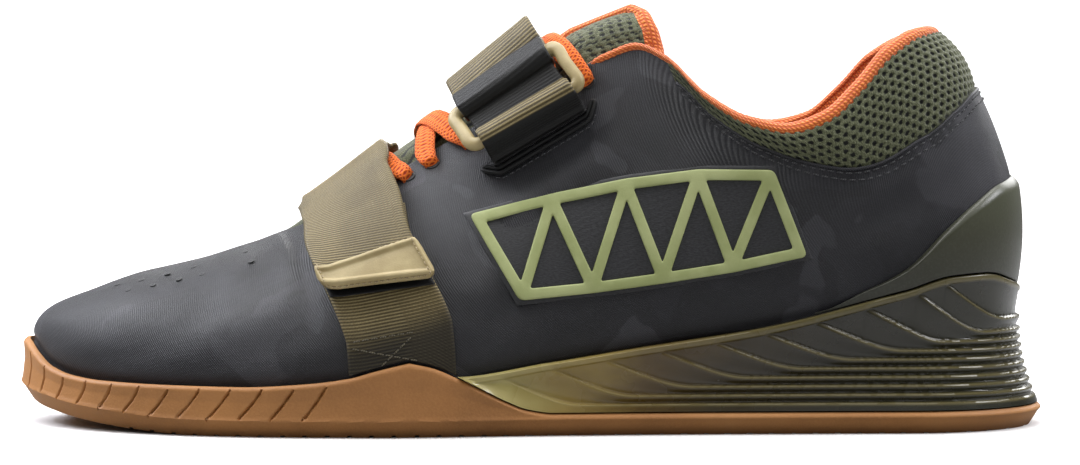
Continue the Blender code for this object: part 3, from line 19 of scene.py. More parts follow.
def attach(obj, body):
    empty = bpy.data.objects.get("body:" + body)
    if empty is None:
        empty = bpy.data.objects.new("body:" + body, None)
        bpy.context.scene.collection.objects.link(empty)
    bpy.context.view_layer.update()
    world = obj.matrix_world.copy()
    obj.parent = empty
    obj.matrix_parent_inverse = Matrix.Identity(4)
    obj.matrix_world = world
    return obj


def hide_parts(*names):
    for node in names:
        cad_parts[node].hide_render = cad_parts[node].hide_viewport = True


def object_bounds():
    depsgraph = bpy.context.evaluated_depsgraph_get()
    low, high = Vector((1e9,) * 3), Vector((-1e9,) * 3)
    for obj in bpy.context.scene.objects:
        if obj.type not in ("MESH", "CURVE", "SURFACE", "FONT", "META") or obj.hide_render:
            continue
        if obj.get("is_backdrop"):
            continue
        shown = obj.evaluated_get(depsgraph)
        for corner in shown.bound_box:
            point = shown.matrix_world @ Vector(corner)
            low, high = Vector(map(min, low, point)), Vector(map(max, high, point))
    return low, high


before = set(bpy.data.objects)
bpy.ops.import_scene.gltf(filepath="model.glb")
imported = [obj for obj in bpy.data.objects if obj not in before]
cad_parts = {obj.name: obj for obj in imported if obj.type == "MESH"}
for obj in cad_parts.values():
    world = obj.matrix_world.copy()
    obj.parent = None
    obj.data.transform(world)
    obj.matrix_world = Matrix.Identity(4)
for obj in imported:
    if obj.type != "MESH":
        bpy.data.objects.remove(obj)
cad_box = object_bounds()

# Driving sizes of the whole shoe.
LENGTH = 0.300
BALL_WIDTH = 0.104
UPPER_HEIGHT = 0.1140
HEEL_STACK = 0.0320
FOREFOOT_STACK = 0.0115
TOE_SPRING = 0.0075
HEEL_PLATE = 0.0062
BUMPER_HEIGHT = 0.0245
SADDLE_HEIGHT = 0.0208
WEDGE_CUP_HEIGHT = 0.0448

# Walls, clearances and small forms.
WALL = 0.0022
COLLAR_PAD = 0.0062
SEAM_STEP = 0.0009
MESH_SWELL = 0.0016
FIT_GAP = 0.0004
COUNTER_WALL = 0.0020
TONGUE_THICKNESS = 0.0046
TONGUE_WING = 0.0110
TONGUE_RISE = 0.0160
TONGUE_LEAN = 0.42
SOLE_BEVEL = 0.0030
SOLE_BEVEL_HEIGHT = 0.0048
SOLE_WAIST = 0.0008
RIB_PITCH = 0.00245
RIB_DEPTH = 0.0009
RIB_EDGE = 0.0005
WEDGE_BROW = 0.0012
WEDGE_FLOOR = 0.0010
WEDGE_FLARE = 0.0016
WEDGE_WAIST = 0.0042
WEDGE_SET_BACK = 0.0006

# Straps, ring and laces.
WEBBING_WIDTH = 0.0295
WEBBING_THICKNESS = 0.0016
LOWER_STRAP_ALONG = 0.383
UPPER_STRAP_ALONG = 0.559
STRAP_END_HEIGHT = 0.0428
STRAP_ANCHOR_HEIGHT = 0.0460
BASE_END = -0.0170
HOOK_PAD = 0.0008
HOOK_PAD_SHOWS = 0.0022
FOLD_LENGTH = 0.0200
FOLD_LIFT = 0.0038
FOLD_TWIST = 0.45
THROAT_RAMP = 0.0100
RING_BAR = 0.0034
RING_CORNER = 0.0026
RING_SKEW = 0.13
RING_INSIDE_LENGTH = 0.0336
RING_INSIDE_WIDTH = 0.0098
RING_AT = -0.0040
ANCHOR_LENGTH = 0.0052
WELT_WIDTH = 0.0030
WELT_HEIGHT = 0.0012
TAB_WIDTH = 0.0310
TAB_HEIGHT = 0.0125
TAB_TAPER = 0.46
TAB_THICKNESS = 0.0026
TAB_OVERHANG = 0.0015
TAB_RIM = 0.0024
TAB_CORNER = 0.0030
TAB_RECESS = 0.26
LACE_WIDTH = 0.0068
LACE_THICKNESS = 0.0012
LACE_MARGIN = 0.0042
LACE_LIFT = 0.0006
LACE_HUMP = 0.75
EYELET_CLEAR = 0.20
BRACE_WIDTH = 0.0030
BRACE_THICKNESS = 0.0010

# Side grooves and tread of the sole.
GROOVE_DEPTH = 0.0012
GROOVE_LEAN = 0.0075
GROOVE_RIM = 0.0022
GROOVE_FIRST = 0.050
GROOVE_PITCH = 0.0090
GROOVE_COUNT = 11
TREAD_DEPTH = 0.0013
TREAD_PITCH = 0.0125

# How finely the forms are drawn.
STATIONS = 38
DOME_STEPS = 24
DOME_CROWN = 0.42

LATERAL = -1
MEDIAL = 1
SIDES = (LATERAL, MEDIAL)


def table(columns, *rows):
    """A table with named columns, as a list of values for each name."""
    return {name: [row[i] for row in rows] for i, name in enumerate(columns.split())}


# The sole's outline: shares of LENGTH along, and of BALL_WIDTH for the half width
# and for how far the outline's middle lies towards the medial side.
OUTLINE = table(
    "along half middle",
    (0.00, 0.465, 0.062),
    (0.10, 0.478, 0.036),
    (0.20, 0.490, 0.008),
    (0.28, 0.500, -0.012),
    (0.36, 0.494, -0.030),
    (0.44, 0.455, -0.042),
    (0.54, 0.412, -0.042),
    (0.66, 0.392, -0.030),
    (0.80, 0.388, -0.014),
    (0.90, 0.386, -0.006),
    (1.00, 0.384, 0.000),
)
TOE_ROUND = 0.25
HEEL_ROUND = 0.135

# How far the upper's lower edge lies inside the sole's outline, as a share of BALL_WIDTH.
MARGIN = table(
    "along inset",
    (0.00, 0.036),
    (0.12, 0.032),
    (0.30, 0.034),
    (0.45, 0.042),
    (0.60, 0.058),
    (0.78, 0.076),
    (0.90, 0.092),
    (1.00, 0.106),
)

# The bed that the foot stands on: share of the way from FOREFOOT_STACK to HEEL_STACK.
BED = table(
    "along rise",
    (0.00, 0.0),
    (0.30, 0.0),
    (0.38, 0.05),
    (0.50, 0.33),
    (0.60, 0.58),
    (0.70, 0.78),
    (0.80, 0.92),
    (0.90, 0.99),
    (1.00, 1.0),
)

# Toe spring of the tread and of the bed above it, as shares of TOE_SPRING.
SPRING = table(
    "along lift bed_lift",
    (0.00, 1.00, 0.62),
    (0.03, 0.66, 0.46),
    (0.07, 0.38, 0.28),
    (0.12, 0.16, 0.12),
    (0.19, 0.0, 0.0),
    (1.00, 0.0, 0.0),
)

# Top edge of the gum sole: share of the way from FOREFOOT_STACK up to SADDLE_HEIGHT
# in front of the saddle's peak, and from HEEL_PLATE up to SADDLE_HEIGHT behind it.
GUM_FRONT = table(
    "along rise",
    (0.00, 0.40),
    (0.05, 0.36),
    (0.14, 0.28),
    (0.23, 0.26),
    (0.29, 0.36),
    (0.33, 0.52),
    (0.36, 0.78),
    (0.39, 1.00),
)
GUM_BACK = table(
    "along rise",
    (0.39, 1.00),
    (0.412, 0.90),
    (0.437, 0.68),
    (0.460, 0.44),
    (0.480, 0.23),
    (0.500, 0.07),
    (0.525, 0.0),
    (1.00, 0.0),
)
# The toe bumper rises above that edge: share of the way to BUMPER_HEIGHT.
BUMPER = table(
    "along rise",
    (0.000, 1.0),
    (0.006, 0.93),
    (0.018, 0.62),
    (0.035, 0.26),
    (0.060, 0.06),
    (0.090, 0.0),
    (1.00, 0.0),
)

# Top edge of the heel wedge, as a share of WEDGE_CUP_HEIGHT.
WEDGE_TOP = table(
    "along height",
    (0.435, 0.375),
    (0.52, 0.455),
    (0.60, 0.540),
    (0.72, 0.665),
    (0.85, 0.880),
    (0.91, 0.985),
    (0.95, 1.000),
    (0.985, 0.945),
    (1.00, 0.900),
)
WEDGE_TIP = 0.4355

# Ribs on the wedge. Each starts on its top edge at `start`, a share of LENGTH, and
# sweeps down over `sweep` to run level round the heel at `level` ribs above the plate.
WEDGE_RIBS = table(
    "start level sweep",
    (0.900, 10.4, 0.075),
    (0.868, 9.0, 0.080),
    (0.818, 8.0, 0.080),
    (0.770, 7.0, 0.085),
    (0.722, 6.0, 0.085),
    (0.674, 5.0, 0.085),
    (0.622, 4.0, 0.085),
    (0.570, 3.0, 0.085),
    (0.520, 2.0, 0.080),
    (0.474, 1.0, 0.075),
)

# Ribs of the upper, from its lower edge at `along` to its top line. Top line: `top`
# share of LENGTH, `gap` half width and `shift` towards the medial side as shares of
# BALL_WIDTH, `height` share of UPPER_HEIGHT. `flare` and `bulge` lean the wall out,
# as shares of BALL_WIDTH. `rise` and `drop` are shares of the rib's own height, and
# `blend` of the way from the top line back to the lower edge. `seam` is where the
# outer fabric ends and the collar's mesh begins, as a share of the rib.
RIBS = table(
    "along top gap shift height flare rise blend bulge drop seam",
    (0.000, 0.107, 0.000, 0.048, 0.374, 0.036, 0.66, 0.79, 0.000, 0.0, 0.880),
    (0.050, 0.124, 0.000, 0.044, 0.388, 0.034, 0.62, 0.72, 0.000, 0.0, 0.880),
    (0.100, 0.148, 0.000, 0.038, 0.402, 0.032, 0.60, 0.66, 0.000, 0.0, 0.880),
    (0.150, 0.173, 0.000, 0.032, 0.417, 0.030, 0.59, 0.62, 0.000, 0.0, 0.880),
    (0.200, 0.200, 0.000, 0.026, 0.437, 0.028, 0.58, 0.60, 0.000, 0.0, 0.880),
    (0.250, 0.229, 0.000, 0.021, 0.462, 0.026, 0.57, 0.59, 0.000, 0.0, 0.880),
    (0.290, 0.252, 0.000, 0.017, 0.485, 0.024, 0.56, 0.58, 0.000, 0.0, 0.880),
    (0.330, 0.281, 0.082, 0.013, 0.512, 0.022, 0.56, 0.56, 0.000, 0.05, 0.880),
    (0.380, 0.318, 0.112, 0.010, 0.562, 0.020, 0.55, 0.53, 0.000, 0.08, 0.880),
    (0.450, 0.374, 0.132, 0.006, 0.648, 0.020, 0.52, 0.50, 0.000, 0.11, 0.880),
    (0.500, 0.427, 0.146, 0.003, 0.730, 0.022, 0.50, 0.47, 0.000, 0.13, 0.880),
    (0.550, 0.480, 0.160, 0.000, 0.810, 0.024, 0.48, 0.44, 0.004, 0.15, 0.880),
    (0.600, 0.534, 0.176, -0.002, 0.886, 0.026, 0.45, 0.42, 0.006, 0.17, 0.880),
    (0.640, 0.574, 0.194, -0.003, 0.940, 0.028, 0.42, 0.40, 0.010, 0.19, 0.880),
    (0.670, 0.602, 0.214, -0.004, 0.964, 0.030, 0.40, 0.38, 0.014, 0.21, 0.880),
    (0.700, 0.630, 0.246, -0.004, 0.932, 0.030, 0.38, 0.36, 0.016, 0.23, 0.880),
    (0.735, 0.667, 0.292, -0.004, 0.836, 0.030, 0.36, 0.34, 0.016, 0.25, 0.880),
    (0.770, 0.707, 0.326, -0.004, 0.773, 0.030, 0.34, 0.34, 0.014, 0.27, 0.862),
    (0.805, 0.744, 0.342, -0.004, 0.752, 0.032, 0.33, 0.36, 0.012, 0.28, 0.820),
    (0.840, 0.780, 0.338, -0.004, 0.780, 0.036, 0.33, 0.40, 0.012, 0.29, 0.735),
    (0.875, 0.812, 0.310, -0.004, 0.854, 0.042, 0.33, 0.48, 0.014, 0.30, 0.680),
    (0.910, 0.842, 0.266, -0.004, 0.944, 0.052, 0.34, 0.62, 0.020, 0.30, 0.665),
    (0.950, 0.871, 0.196, -0.003, 0.994, 0.064, 0.34, 0.80, 0.028, 0.30, 0.710),
    (0.980, 0.889, 0.116, -0.001, 1.006, 0.073, 0.34, 0.90, 0.032, 0.30, 0.760),
    (1.000, 0.897, 0.000, 0.000, 1.008, 0.077, 0.34, 0.93, 0.033, 0.30, 0.780),
)
MEDIAL_COLLAR_LIFT = 0.008
THROAT_START = 0.290
COLLAR_START = 0.650

# Wall of the upper along a rib: share of the way from WALL to COLLAR_PAD.
PADDING = table(
    "share pad",
    (0.00, 0.0),
    (0.52, 0.0),
    (0.72, 0.65),
    (0.86, 1.0),
    (1.00, 0.55),
)

# Top edge of the heel counter, as a share of the upper's rib.
COUNTER_TOP = table(
    "along share",
    (0.748, 0.070),
    (0.782, 0.110),
    (0.820, 0.160),
    (0.860, 0.225),
    (0.900, 0.305),
    (0.940, 0.385),
    (0.975, 0.445),
    (1.000, 0.470),
)

# The side brace: corners of its frame and of its three-cornered windows' rungs, as
# shares of LENGTH along and of UPPER_HEIGHT up, on the lateral side.
BRACE = table(
    "top_along top_height foot_along foot_height",
    (0.452, 0.530, 0.494, 0.345),
    (0.522, 0.578, 0.560, 0.362),
    (0.592, 0.616, 0.626, 0.385),
    (0.660, 0.640, 0.692, 0.412),
    (0.728, 0.640, 0.756, 0.448),
)

EYELETS = table("along", (0.345,), (0.405,), (0.462,), (0.518,), (0.573,), (0.625,))

# Tongue: its stations, and how much of TONGUE_WING each side reaches under the eyestays.
TONGUE = table(
    "along wing",
    (0.310, 1.00),
    (0.355, 1.00),
    (0.400, 1.00),
    (0.445, 1.00),
    (0.490, 1.00),
    (0.535, 0.90),
    (0.570, 0.75),
    (0.597, 0.55),
    (0.622, 0.40),
)
TONGUE_TOP = table("reach narrow", (0.45, 0.98), (0.85, 0.90), (1.00, 0.78))

# How far the forefoot strap wanders backwards along the shoe, as a share of
# BALL_WIDTH, at places over the instep that are shares of BALL_WIDTH too.
STRAP_PATH = table(
    "place back",
    (-0.56, 0.000),
    (-0.30, -0.046),
    (-0.12, -0.010),
    (0.14, 0.036),
    (0.55, 0.000),
)


def turn(along):
    """Share of the way round one side, from toe tip 0 to heel back 1."""
    return math.acos(1.0 - 2.0 * min(max(along, 0.0), 1.0)) / math.pi


def along_of(station):
    """Share of LENGTH at a station round the side."""
    return 0.5 * (1.0 - math.cos(math.pi * station))


def ease(value, low=0.0, high=1.0):
    """Soft step from 0 at `low` to 1 at `high`."""
    way = np.clip((value - low) / (high - low), 0.0, 1.0)
    return way * way * (3 - 2 * way)


def bell(value, width):
    return np.exp(-((value / width) ** 2))


def unit(vectors):
    """Vectors of length 1, one or an array of them."""
    return vectors / np.maximum(np.linalg.norm(vectors, axis=-1, keepdims=True), 1e-12)


class Curve:
    """A smooth curve through a few points, which never overshoots them."""

    def __init__(self, at, value, mirror=0):
        at, value = list(at), list(value)
        if mirror:
            tail = [(2.0 - x, mirror * y) for x, y in zip(at, value) if x < 1.0][::-1]
            head = [(-x, mirror * y) for x, y in zip(at, value) if x > 0.0][::-1]
            pairs = head + list(zip(at, value)) + tail
            at, value = [p[0] for p in pairs], [p[1] for p in pairs]
        self.at, self.value = np.array(at, float), np.array(value, float)
        step = np.diff(self.at)
        rate = np.diff(self.value) / step
        slope = np.zeros(len(self.at))
        slope[0], slope[-1] = rate[0], rate[-1]
        for i in range(1, len(slope) - 1):
            if rate[i - 1] * rate[i] > 0:
                before, after = step[i - 1], step[i]
                weight = 2 * after + before, after + 2 * before
                total = weight[0] + weight[1]
                slope[i] = total / (weight[0] / rate[i - 1] + weight[1] / rate[i])
        self.slope, self.step = slope, step

    def __call__(self, x):
        x = min(max(x, self.at[0]), self.at[-1])
        i = min(max(int(np.searchsorted(self.at, x)) - 1, 0), len(self.step) - 1)
        h = self.step[i]
        t = (x - self.at[i]) / h
        ends = self.value[i] * (1 + 2 * t) * (1 - t) ** 2
        ends += self.value[i + 1] * t * t * (3 - 2 * t)
        lean = self.slope[i] * t * (1 - t) ** 2 - self.slope[i + 1] * t * t * (1 - t)
        return ends + h * lean


def wrapped(rows, column, mirror=1):
    """A column as a curve over the station, even or odd about toe tip and heel back."""
    return Curve([turn(a) for a in rows["along"]], rows[column], mirror)


OUTLINE_HALF = Curve(OUTLINE["along"], OUTLINE["half"])
OUTLINE_MIDDLE = Curve(OUTLINE["along"], OUTLINE["middle"])
MARGIN_INSET = wrapped(MARGIN, "inset")
BED_RISE = Curve(BED["along"], BED["rise"])
SPRING_LIFT = wrapped(SPRING, "lift")
SPRING_BED = wrapped(SPRING, "bed_lift")
GUM_FRONT_RISE = Curve(GUM_FRONT["along"], GUM_FRONT["rise"])
GUM_BACK_RISE = Curve(GUM_BACK["along"], GUM_BACK["rise"])
BUMPER_RISE = wrapped(BUMPER, "rise")
WEDGE_TOP_HEIGHT = wrapped(WEDGE_TOP, "height")
RIB = {name: wrapped(RIBS, name, -1 if name == "gap" else 1) for name in RIBS if name != "gap"}
RIB["gap"] = Curve(
    [turn(a) for a in RIBS["along"]] + [2.0 - turn(RIBS["along"][-2])],
    RIBS["gap"] + [-RIBS["gap"][-2]],
)
PAD = Curve(PADDING["share"], PADDING["pad"])
COUNTER_SHARE = wrapped(COUNTER_TOP, "share")
STRAP_BACK = Curve(STRAP_PATH["place"], STRAP_PATH["back"])


def x_at(along):
    return (along - 0.5) * LENGTH


def sole_edge(side, station):
    """Point of the sole's outline, in plan, before it is centred."""
    along = along_of(station)
    half = OUTLINE_HALF(along) * BALL_WIDTH
    if along < TOE_ROUND:
        half *= math.sqrt(max(0.0, 1 - (1 - along / TOE_ROUND) ** 2))
    if along > 1 - HEEL_ROUND:
        half *= math.sqrt(max(0.0, 1 - (1 - (1 - along) / HEEL_ROUND) ** 2))
    return np.array((x_at(along), OUTLINE_MIDDLE(along) * BALL_WIDTH + side * half))


def outline(side, station):
    """Point of the sole's outline, in plan."""
    return sole_edge(side, station) + (0.0, WIDTH_SHIFT)


@lru_cache(maxsize=None)
def outward(side, station, reach=0.004):
    """Outward normal of the outline, in plan. At the ends it points along the shoe."""
    ends = []
    for other in (station - reach, station + reach):
        way = side if 0 <= other <= 1 else -side
        ends.append(outline(way, 1 - abs(1 - abs(other))))
    run = ends[1] - ends[0]
    return unit(side * np.array((-run[1], run[0])))


def bed_height(station):
    """Height of the surface that the insole and the upper stand on."""
    along = along_of(station)
    height = FOREFOOT_STACK + (HEEL_STACK - FOREFOOT_STACK) * BED_RISE(along)
    return height + TOE_SPRING * SPRING_BED(station)


def gum_line(station):
    """Height of the gum sole's top edge, and of its seat under the wedge."""
    along = along_of(station)
    if along > GUM_BACK["along"][0]:
        return HEEL_PLATE + (SADDLE_HEIGHT - HEEL_PLATE) * GUM_BACK_RISE(along)
    height = FOREFOOT_STACK + (SADDLE_HEIGHT - FOREFOOT_STACK) * GUM_FRONT_RISE(along)
    return height + (BUMPER_HEIGHT - height) * BUMPER_RISE(station)


def wedge_line(station):
    return WEDGE_CUP_HEIGHT * WEDGE_TOP_HEIGHT(station)


def feather(side, station):
    """Point of the upper's lower edge."""
    inset = MARGIN_INSET(station) * BALL_WIDTH
    plan = outline(side, station) - outward(side, station) * inset
    return np.array((plan[0], plan[1], bed_height(station) + FIT_GAP))


@lru_cache(maxsize=None)
def top_line(side, station):
    """Point where a rib ends: on the ridge, the throat's edge or the collar."""
    gap = max(0.0, RIB["gap"](station)) * BALL_WIDTH
    if along_of(station) <= THROAT_START:
        gap = 0.0
    lift = 0.0
    if side == MEDIAL and along_of(station) > COLLAR_START:
        reach = (along_of(station) - COLLAR_START) / (1 - COLLAR_START)
        lift = MEDIAL_COLLAR_LIFT * math.sin(math.pi * reach) ** 2
    middle = RIB["shift"](station) * BALL_WIDTH + WIDTH_SHIFT
    height = (RIB["height"](station) + lift) * UPPER_HEIGHT
    return np.array((x_at(RIB["top"](station)), middle + side * gap, height))


def ridge_slope(station, reach=0.01):
    low = top_line(LATERAL, max(0.0, station - reach))
    high = top_line(LATERAL, station + reach)
    return (high[2] - low[2]) / max(1e-6, high[0] - low[0])


@lru_cache(maxsize=None)
def rib_handles(side, station):
    """The four points that shape a rib of the upper."""
    foot, top = feather(side, station), top_line(side, station)
    out = np.array((*outward(side, station), 0.0))
    height = top[2] - foot[2]
    lower = foot + out * RIB["flare"](station) * BALL_WIDTH
    lower[2] += RIB["rise"](station) * height
    upper = top + (foot - top) * RIB["blend"](station)
    upper += out * RIB["bulge"](station) * BALL_WIDTH
    upper[2] = top[2] - RIB["drop"](station) * height
    if along_of(station) <= THROAT_START:
        upper[2] += ridge_slope(station) * (upper[0] - top[0])
    return foot, lower, upper, top


def rib_point(side, station, share):
    """Point on the upper's outer surface before steps and padding."""
    foot, lower, upper, top = rib_handles(side, station)
    rest = 1 - share
    curve = foot * rest**3 + lower * 3 * rest**2 * share
    return curve + upper * 3 * rest * share**2 + top * share**3


def rib_normal(side, station, share, reach=0.004):
    """Outward normal of the upper's outer surface, away from toe tip and heel back."""
    round_way = rib_point(side, station + reach, share) - rib_point(side, station - reach, share)
    low, high = max(0.0, share - reach), min(1.0, share + reach)
    up_way = rib_point(side, station, high) - rib_point(side, station, low)
    return unit(np.cross(up_way, round_way) * side)


def collar_share(station):
    """How far a station belongs to the padded collar, 0 on the eyestay and 1 behind it."""
    return min(1.0, max(0.0, (along_of(station) - COLLAR_START) / 0.14))


def mesh_relief(station, share):
    """Height of the collar's mesh above or below the outer fabric's surface."""
    seam = RIB["seam"](station)
    if share <= seam:
        return 0.0
    amount = min(1.0, (0.88 - seam) / 0.06)
    if amount <= 0:
        return 0.0
    way = (share - seam) / (1 - seam)
    return amount * (MESH_SWELL * math.sin(math.pi * way) - SEAM_STEP * (1 - way))


def wall_at(station, share):
    return WALL + (COLLAR_PAD - WALL) * PAD(share) * collar_share(station)


def crossing(first, last, rises):
    """Station between two others where a quantity stops being negative."""
    for _ in range(40):
        middle = 0.5 * (first + last)
        if rises(middle) < 0:
            first = middle
        else:
            last = middle
    return last


# Where the wedge's floor begins, and the stations that settle the sole's middle: even
# steps, the wedge's front tip, its floor's start and where its front ribs begin.
FLOOR_START = crossing(
    turn(WEDGE_TIP), turn(0.55), lambda s: bed_height(s) - gum_line(s) - FIT_GAP - WEDGE_FLOOR
)
EVEN = [i / STATIONS for i in range(STATIONS + 1)]
SHELL_STATIONS = sorted(EVEN + [turn(WEDGE_TIP), FLOOR_START])
RIB_STATIONS = [turn(a) for a in WEDGE_RIBS["start"]]
SOLE_STATIONS = sorted(SHELL_STATIONS + [s for s in RIB_STATIONS if s < turn(0.56)])


def width_shift():
    """Sideways shift that puts the middle of the sole's widest places at y = 0."""
    lateral = min(sole_edge(LATERAL, s)[1] for s in SOLE_STATIONS)
    medial = max(sole_edge(MEDIAL, s)[1] for s in SOLE_STATIONS)
    return -0.5 * (lateral + medial)


WIDTH_SHIFT = width_shift()


def lean_out(side, station, height):
    """How far the upper leans out over its lower edge, up to a height."""
    foot, out = feather(side, station), outward(side, station)
    lean = 0.0
    for step in range(1, 26):
        place = rib_point(side, station, 0.02 * step)
        lean = max(lean, float(np.dot(place[:2] - foot[:2], out)))
        if place[2] > height + 0.002:
            break
    return lean


def cup_inset(side, station, height):
    """How far a cup's inner wall lies inside the outline, clear of the upper in it."""
    inset = MARGIN_INSET(station) * BALL_WIDTH
    return inset - lean_out(side, station, height) - FIT_GAP


def rib_on_wedge(i, station):
    """Height and depth of one wedge rib at a station, or None in front of its start."""
    along = along_of(station)
    start, sweep = WEDGE_RIBS["start"][i], WEDGE_RIBS["sweep"][i]
    if along < start - 1e-9:
        return None
    level = HEEL_PLATE + FIT_GAP + RIB_PITCH * WEDGE_RIBS["level"][i]
    way = min(1.0, max(0.0, (along - start) / sweep))
    fall = (1 - way) ** 2 * (1 + way)
    high = wedge_line(turn(start)) - WEDGE_BROW
    depth = RIB_DEPTH * min(1.0, way / 0.25)
    return level + (high - level) * fall, depth


def wedge_offset(station, height):
    """How far the wedge's side stands out of the sole's outline at a height."""
    top = wedge_line(station)
    seat = gum_line(station) + FIT_GAP
    way = min(1.0, max(0.0, (height - seat) / max(1e-6, top - seat)))
    back = ease(along_of(station), 0.60, 0.94)
    waist = WEDGE_WAIST * (0.35 + 0.65 * back)
    lean = waist * math.sin(math.pi * 0.5 * min(1.0, way / 0.6))
    return -WEDGE_SET_BACK - lean - WEDGE_FLARE * back * way


def shell_point(side, station, share, lift):
    """Point a distance off the upper's outer surface."""
    place = rib_point(side, station, share)
    if not lift:
        return place
    if station in (0.0, 1.0):
        low = rib_point(side, station, share - 0.01)
        high = rib_point(side, station, share + 0.01)
        normal = np.array((high[2] - low[2], 0.0, low[0] - high[0]))
        return place + unit(-normal if station == 0.0 else normal) * lift
    return place + rib_normal(side, station, share) * lift


def share_at_height(side, station, height):
    low, high = 0.0, 1.0
    for _ in range(24):
        middle = 0.5 * (low + high)
        if rib_point(side, station, middle)[2] < height:
            low = middle
        else:
            high = middle
    return high


class Dome:
    """The line over the instep at one station: up the lateral rib, over the throat
    and down the medial rib. Places on it are lengths from the lateral throat edge,
    negative down the lateral side."""

    def __init__(self, station):
        shares = [i / DOME_STEPS for i in range(DOME_STEPS + 1)]
        near = [rib_point(LATERAL, station, s) for s in shares]
        far = [rib_point(MEDIAL, station, s) for s in shares[::-1]]
        start, end = near[-1], far[0]
        edge = unit(top_line(LATERAL, station + 0.02) - top_line(LATERAL, station - 0.02))
        handles = []
        for lead in (near[-1] - near[-2], far[0] - far[1]):
            lead = lead - edge * np.dot(lead, edge)
            handles.append(unit(lead) * DOME_CROWN * np.linalg.norm(end - start))
        first, second = start + handles[0], end + handles[1]
        arch = []
        for i in range(1, DOME_STEPS // 2):
            t = i / (DOME_STEPS // 2)
            u = 1 - t
            arch.append(start * u**3 + first * 3 * u * u * t + second * 3 * u * t * t + end * t**3)
        self.line = np.array(near + arch + far)
        length = np.linalg.norm(np.diff(self.line, axis=0), axis=1)
        run = np.concatenate(([0.0], np.cumsum(length)))
        self.run = run - run[len(near) - 1]
        self.gap = run[len(near) + len(arch)] - run[len(near) - 1]


def spread(first, last, count, lift):
    """Evenly spaced path points, whose lift is a function of the place."""
    places = [first + (last - first) * i / (count - 1) for i in range(count)]
    return [(p, lift(p)) for p in places]


def straight(at):
    return 0.0


def wander(at):
    return STRAP_BACK(at / BALL_WIDTH) * BALL_WIDTH


def over_throat(at, gap, low, high):
    """Lift that grows from `low` on the sides to `high` over the throat."""
    reach = min(at, gap - at) + LACE_MARGIN + LACE_WIDTH * 0.4
    return low + (high - low) * ease(1 + reach / THROAT_RAMP)


LACE_TOP = LACE_LIFT + LACE_THICKNESS * (1 + LACE_HUMP) + FIT_GAP
HALF_WEBBING = WEBBING_THICKNESS / 2
LAYER = WEBBING_THICKNESS + FIT_GAP
BAR_REACH = RING_BAR / 2 + FIT_GAP + HALF_WEBBING
RING_LIFT = LACE_TOP + FIT_GAP + HALF_WEBBING + BAR_REACH
UPPER_BAR = RING_AT + (RING_INSIDE_WIDTH + RING_BAR) / 2
LOWER_BAR = RING_AT - (RING_INSIDE_WIDTH + RING_BAR) / 2
RING_STRAP_WIDTH = RING_INSIDE_LENGTH - 2 * (RING_CORNER - RING_BAR / 2 + FIT_GAP)


def skewed(path):
    """A path whose places near the ring lean with the ring's own skew."""
    def leaning(distance):
        return [(at + lean_at(at) * distance, lift) for at, lift in path(distance)]

    return leaning


def lean_at(at):
    return RING_SKEW * ease(1.6 - at / (2 * RING_INSIDE_LENGTH) * 1.6)


def leant(place, distance):
    """Places, moved by the ring's skew at a distance from the strap's middle."""
    return place + np.vectorize(lean_at)(place) * distance


def brace_outlines():
    """Rim of the side brace and of its three-cornered windows, as (x, height) corners."""
    tops = [(x_at(a), h * UPPER_HEIGHT) for a, h in zip(BRACE["top_along"], BRACE["top_height"])]
    feet = [(x_at(a), h * UPPER_HEIGHT) for a, h in zip(BRACE["foot_along"], BRACE["foot_height"])]
    windows = []
    for i in range(len(tops) - 1):
        windows.append([tops[i], tops[i + 1], feet[i]])
        windows.append([tops[i + 1], feet[i + 1], feet[i]])
    return grow(tops + feet[::-1], BRACE_WIDTH / 2), [grow(w, -BRACE_WIDTH / 2) for w in windows]


def grow(corners, distance):
    """A polygon with its sides moved outwards, or inwards where distance is negative."""
    area = sum(a[0] * b[1] - b[0] * a[1] for a, b in zip(corners, corners[1:] + corners[:1]))
    way = 1.0 if area > 0 else -1.0
    moved = []
    for i, corner in enumerate(corners):
        before, after = np.array(corners[i - 1]), np.array(corners[(i + 1) % len(corners)])
        here = np.array(corner)
        one, other = unit(here - before), unit(after - here)
        middle = np.array((one[1] + other[1], -one[0] - other[0])) * way
        moved.append(tuple(here + middle * distance / max(0.2, 0.5 * np.dot(middle, middle))))
    return moved


def inside(point, polygon):
    hit = False
    for a, b in zip(polygon, polygon[1:] + polygon[:1]):
        if (a[1] > point[1]) != (b[1] > point[1]):
            cross = a[0] + (point[1] - a[1]) / (b[1] - a[1]) * (b[0] - a[0])
            hit = hit != (point[0] < cross)
    return hit


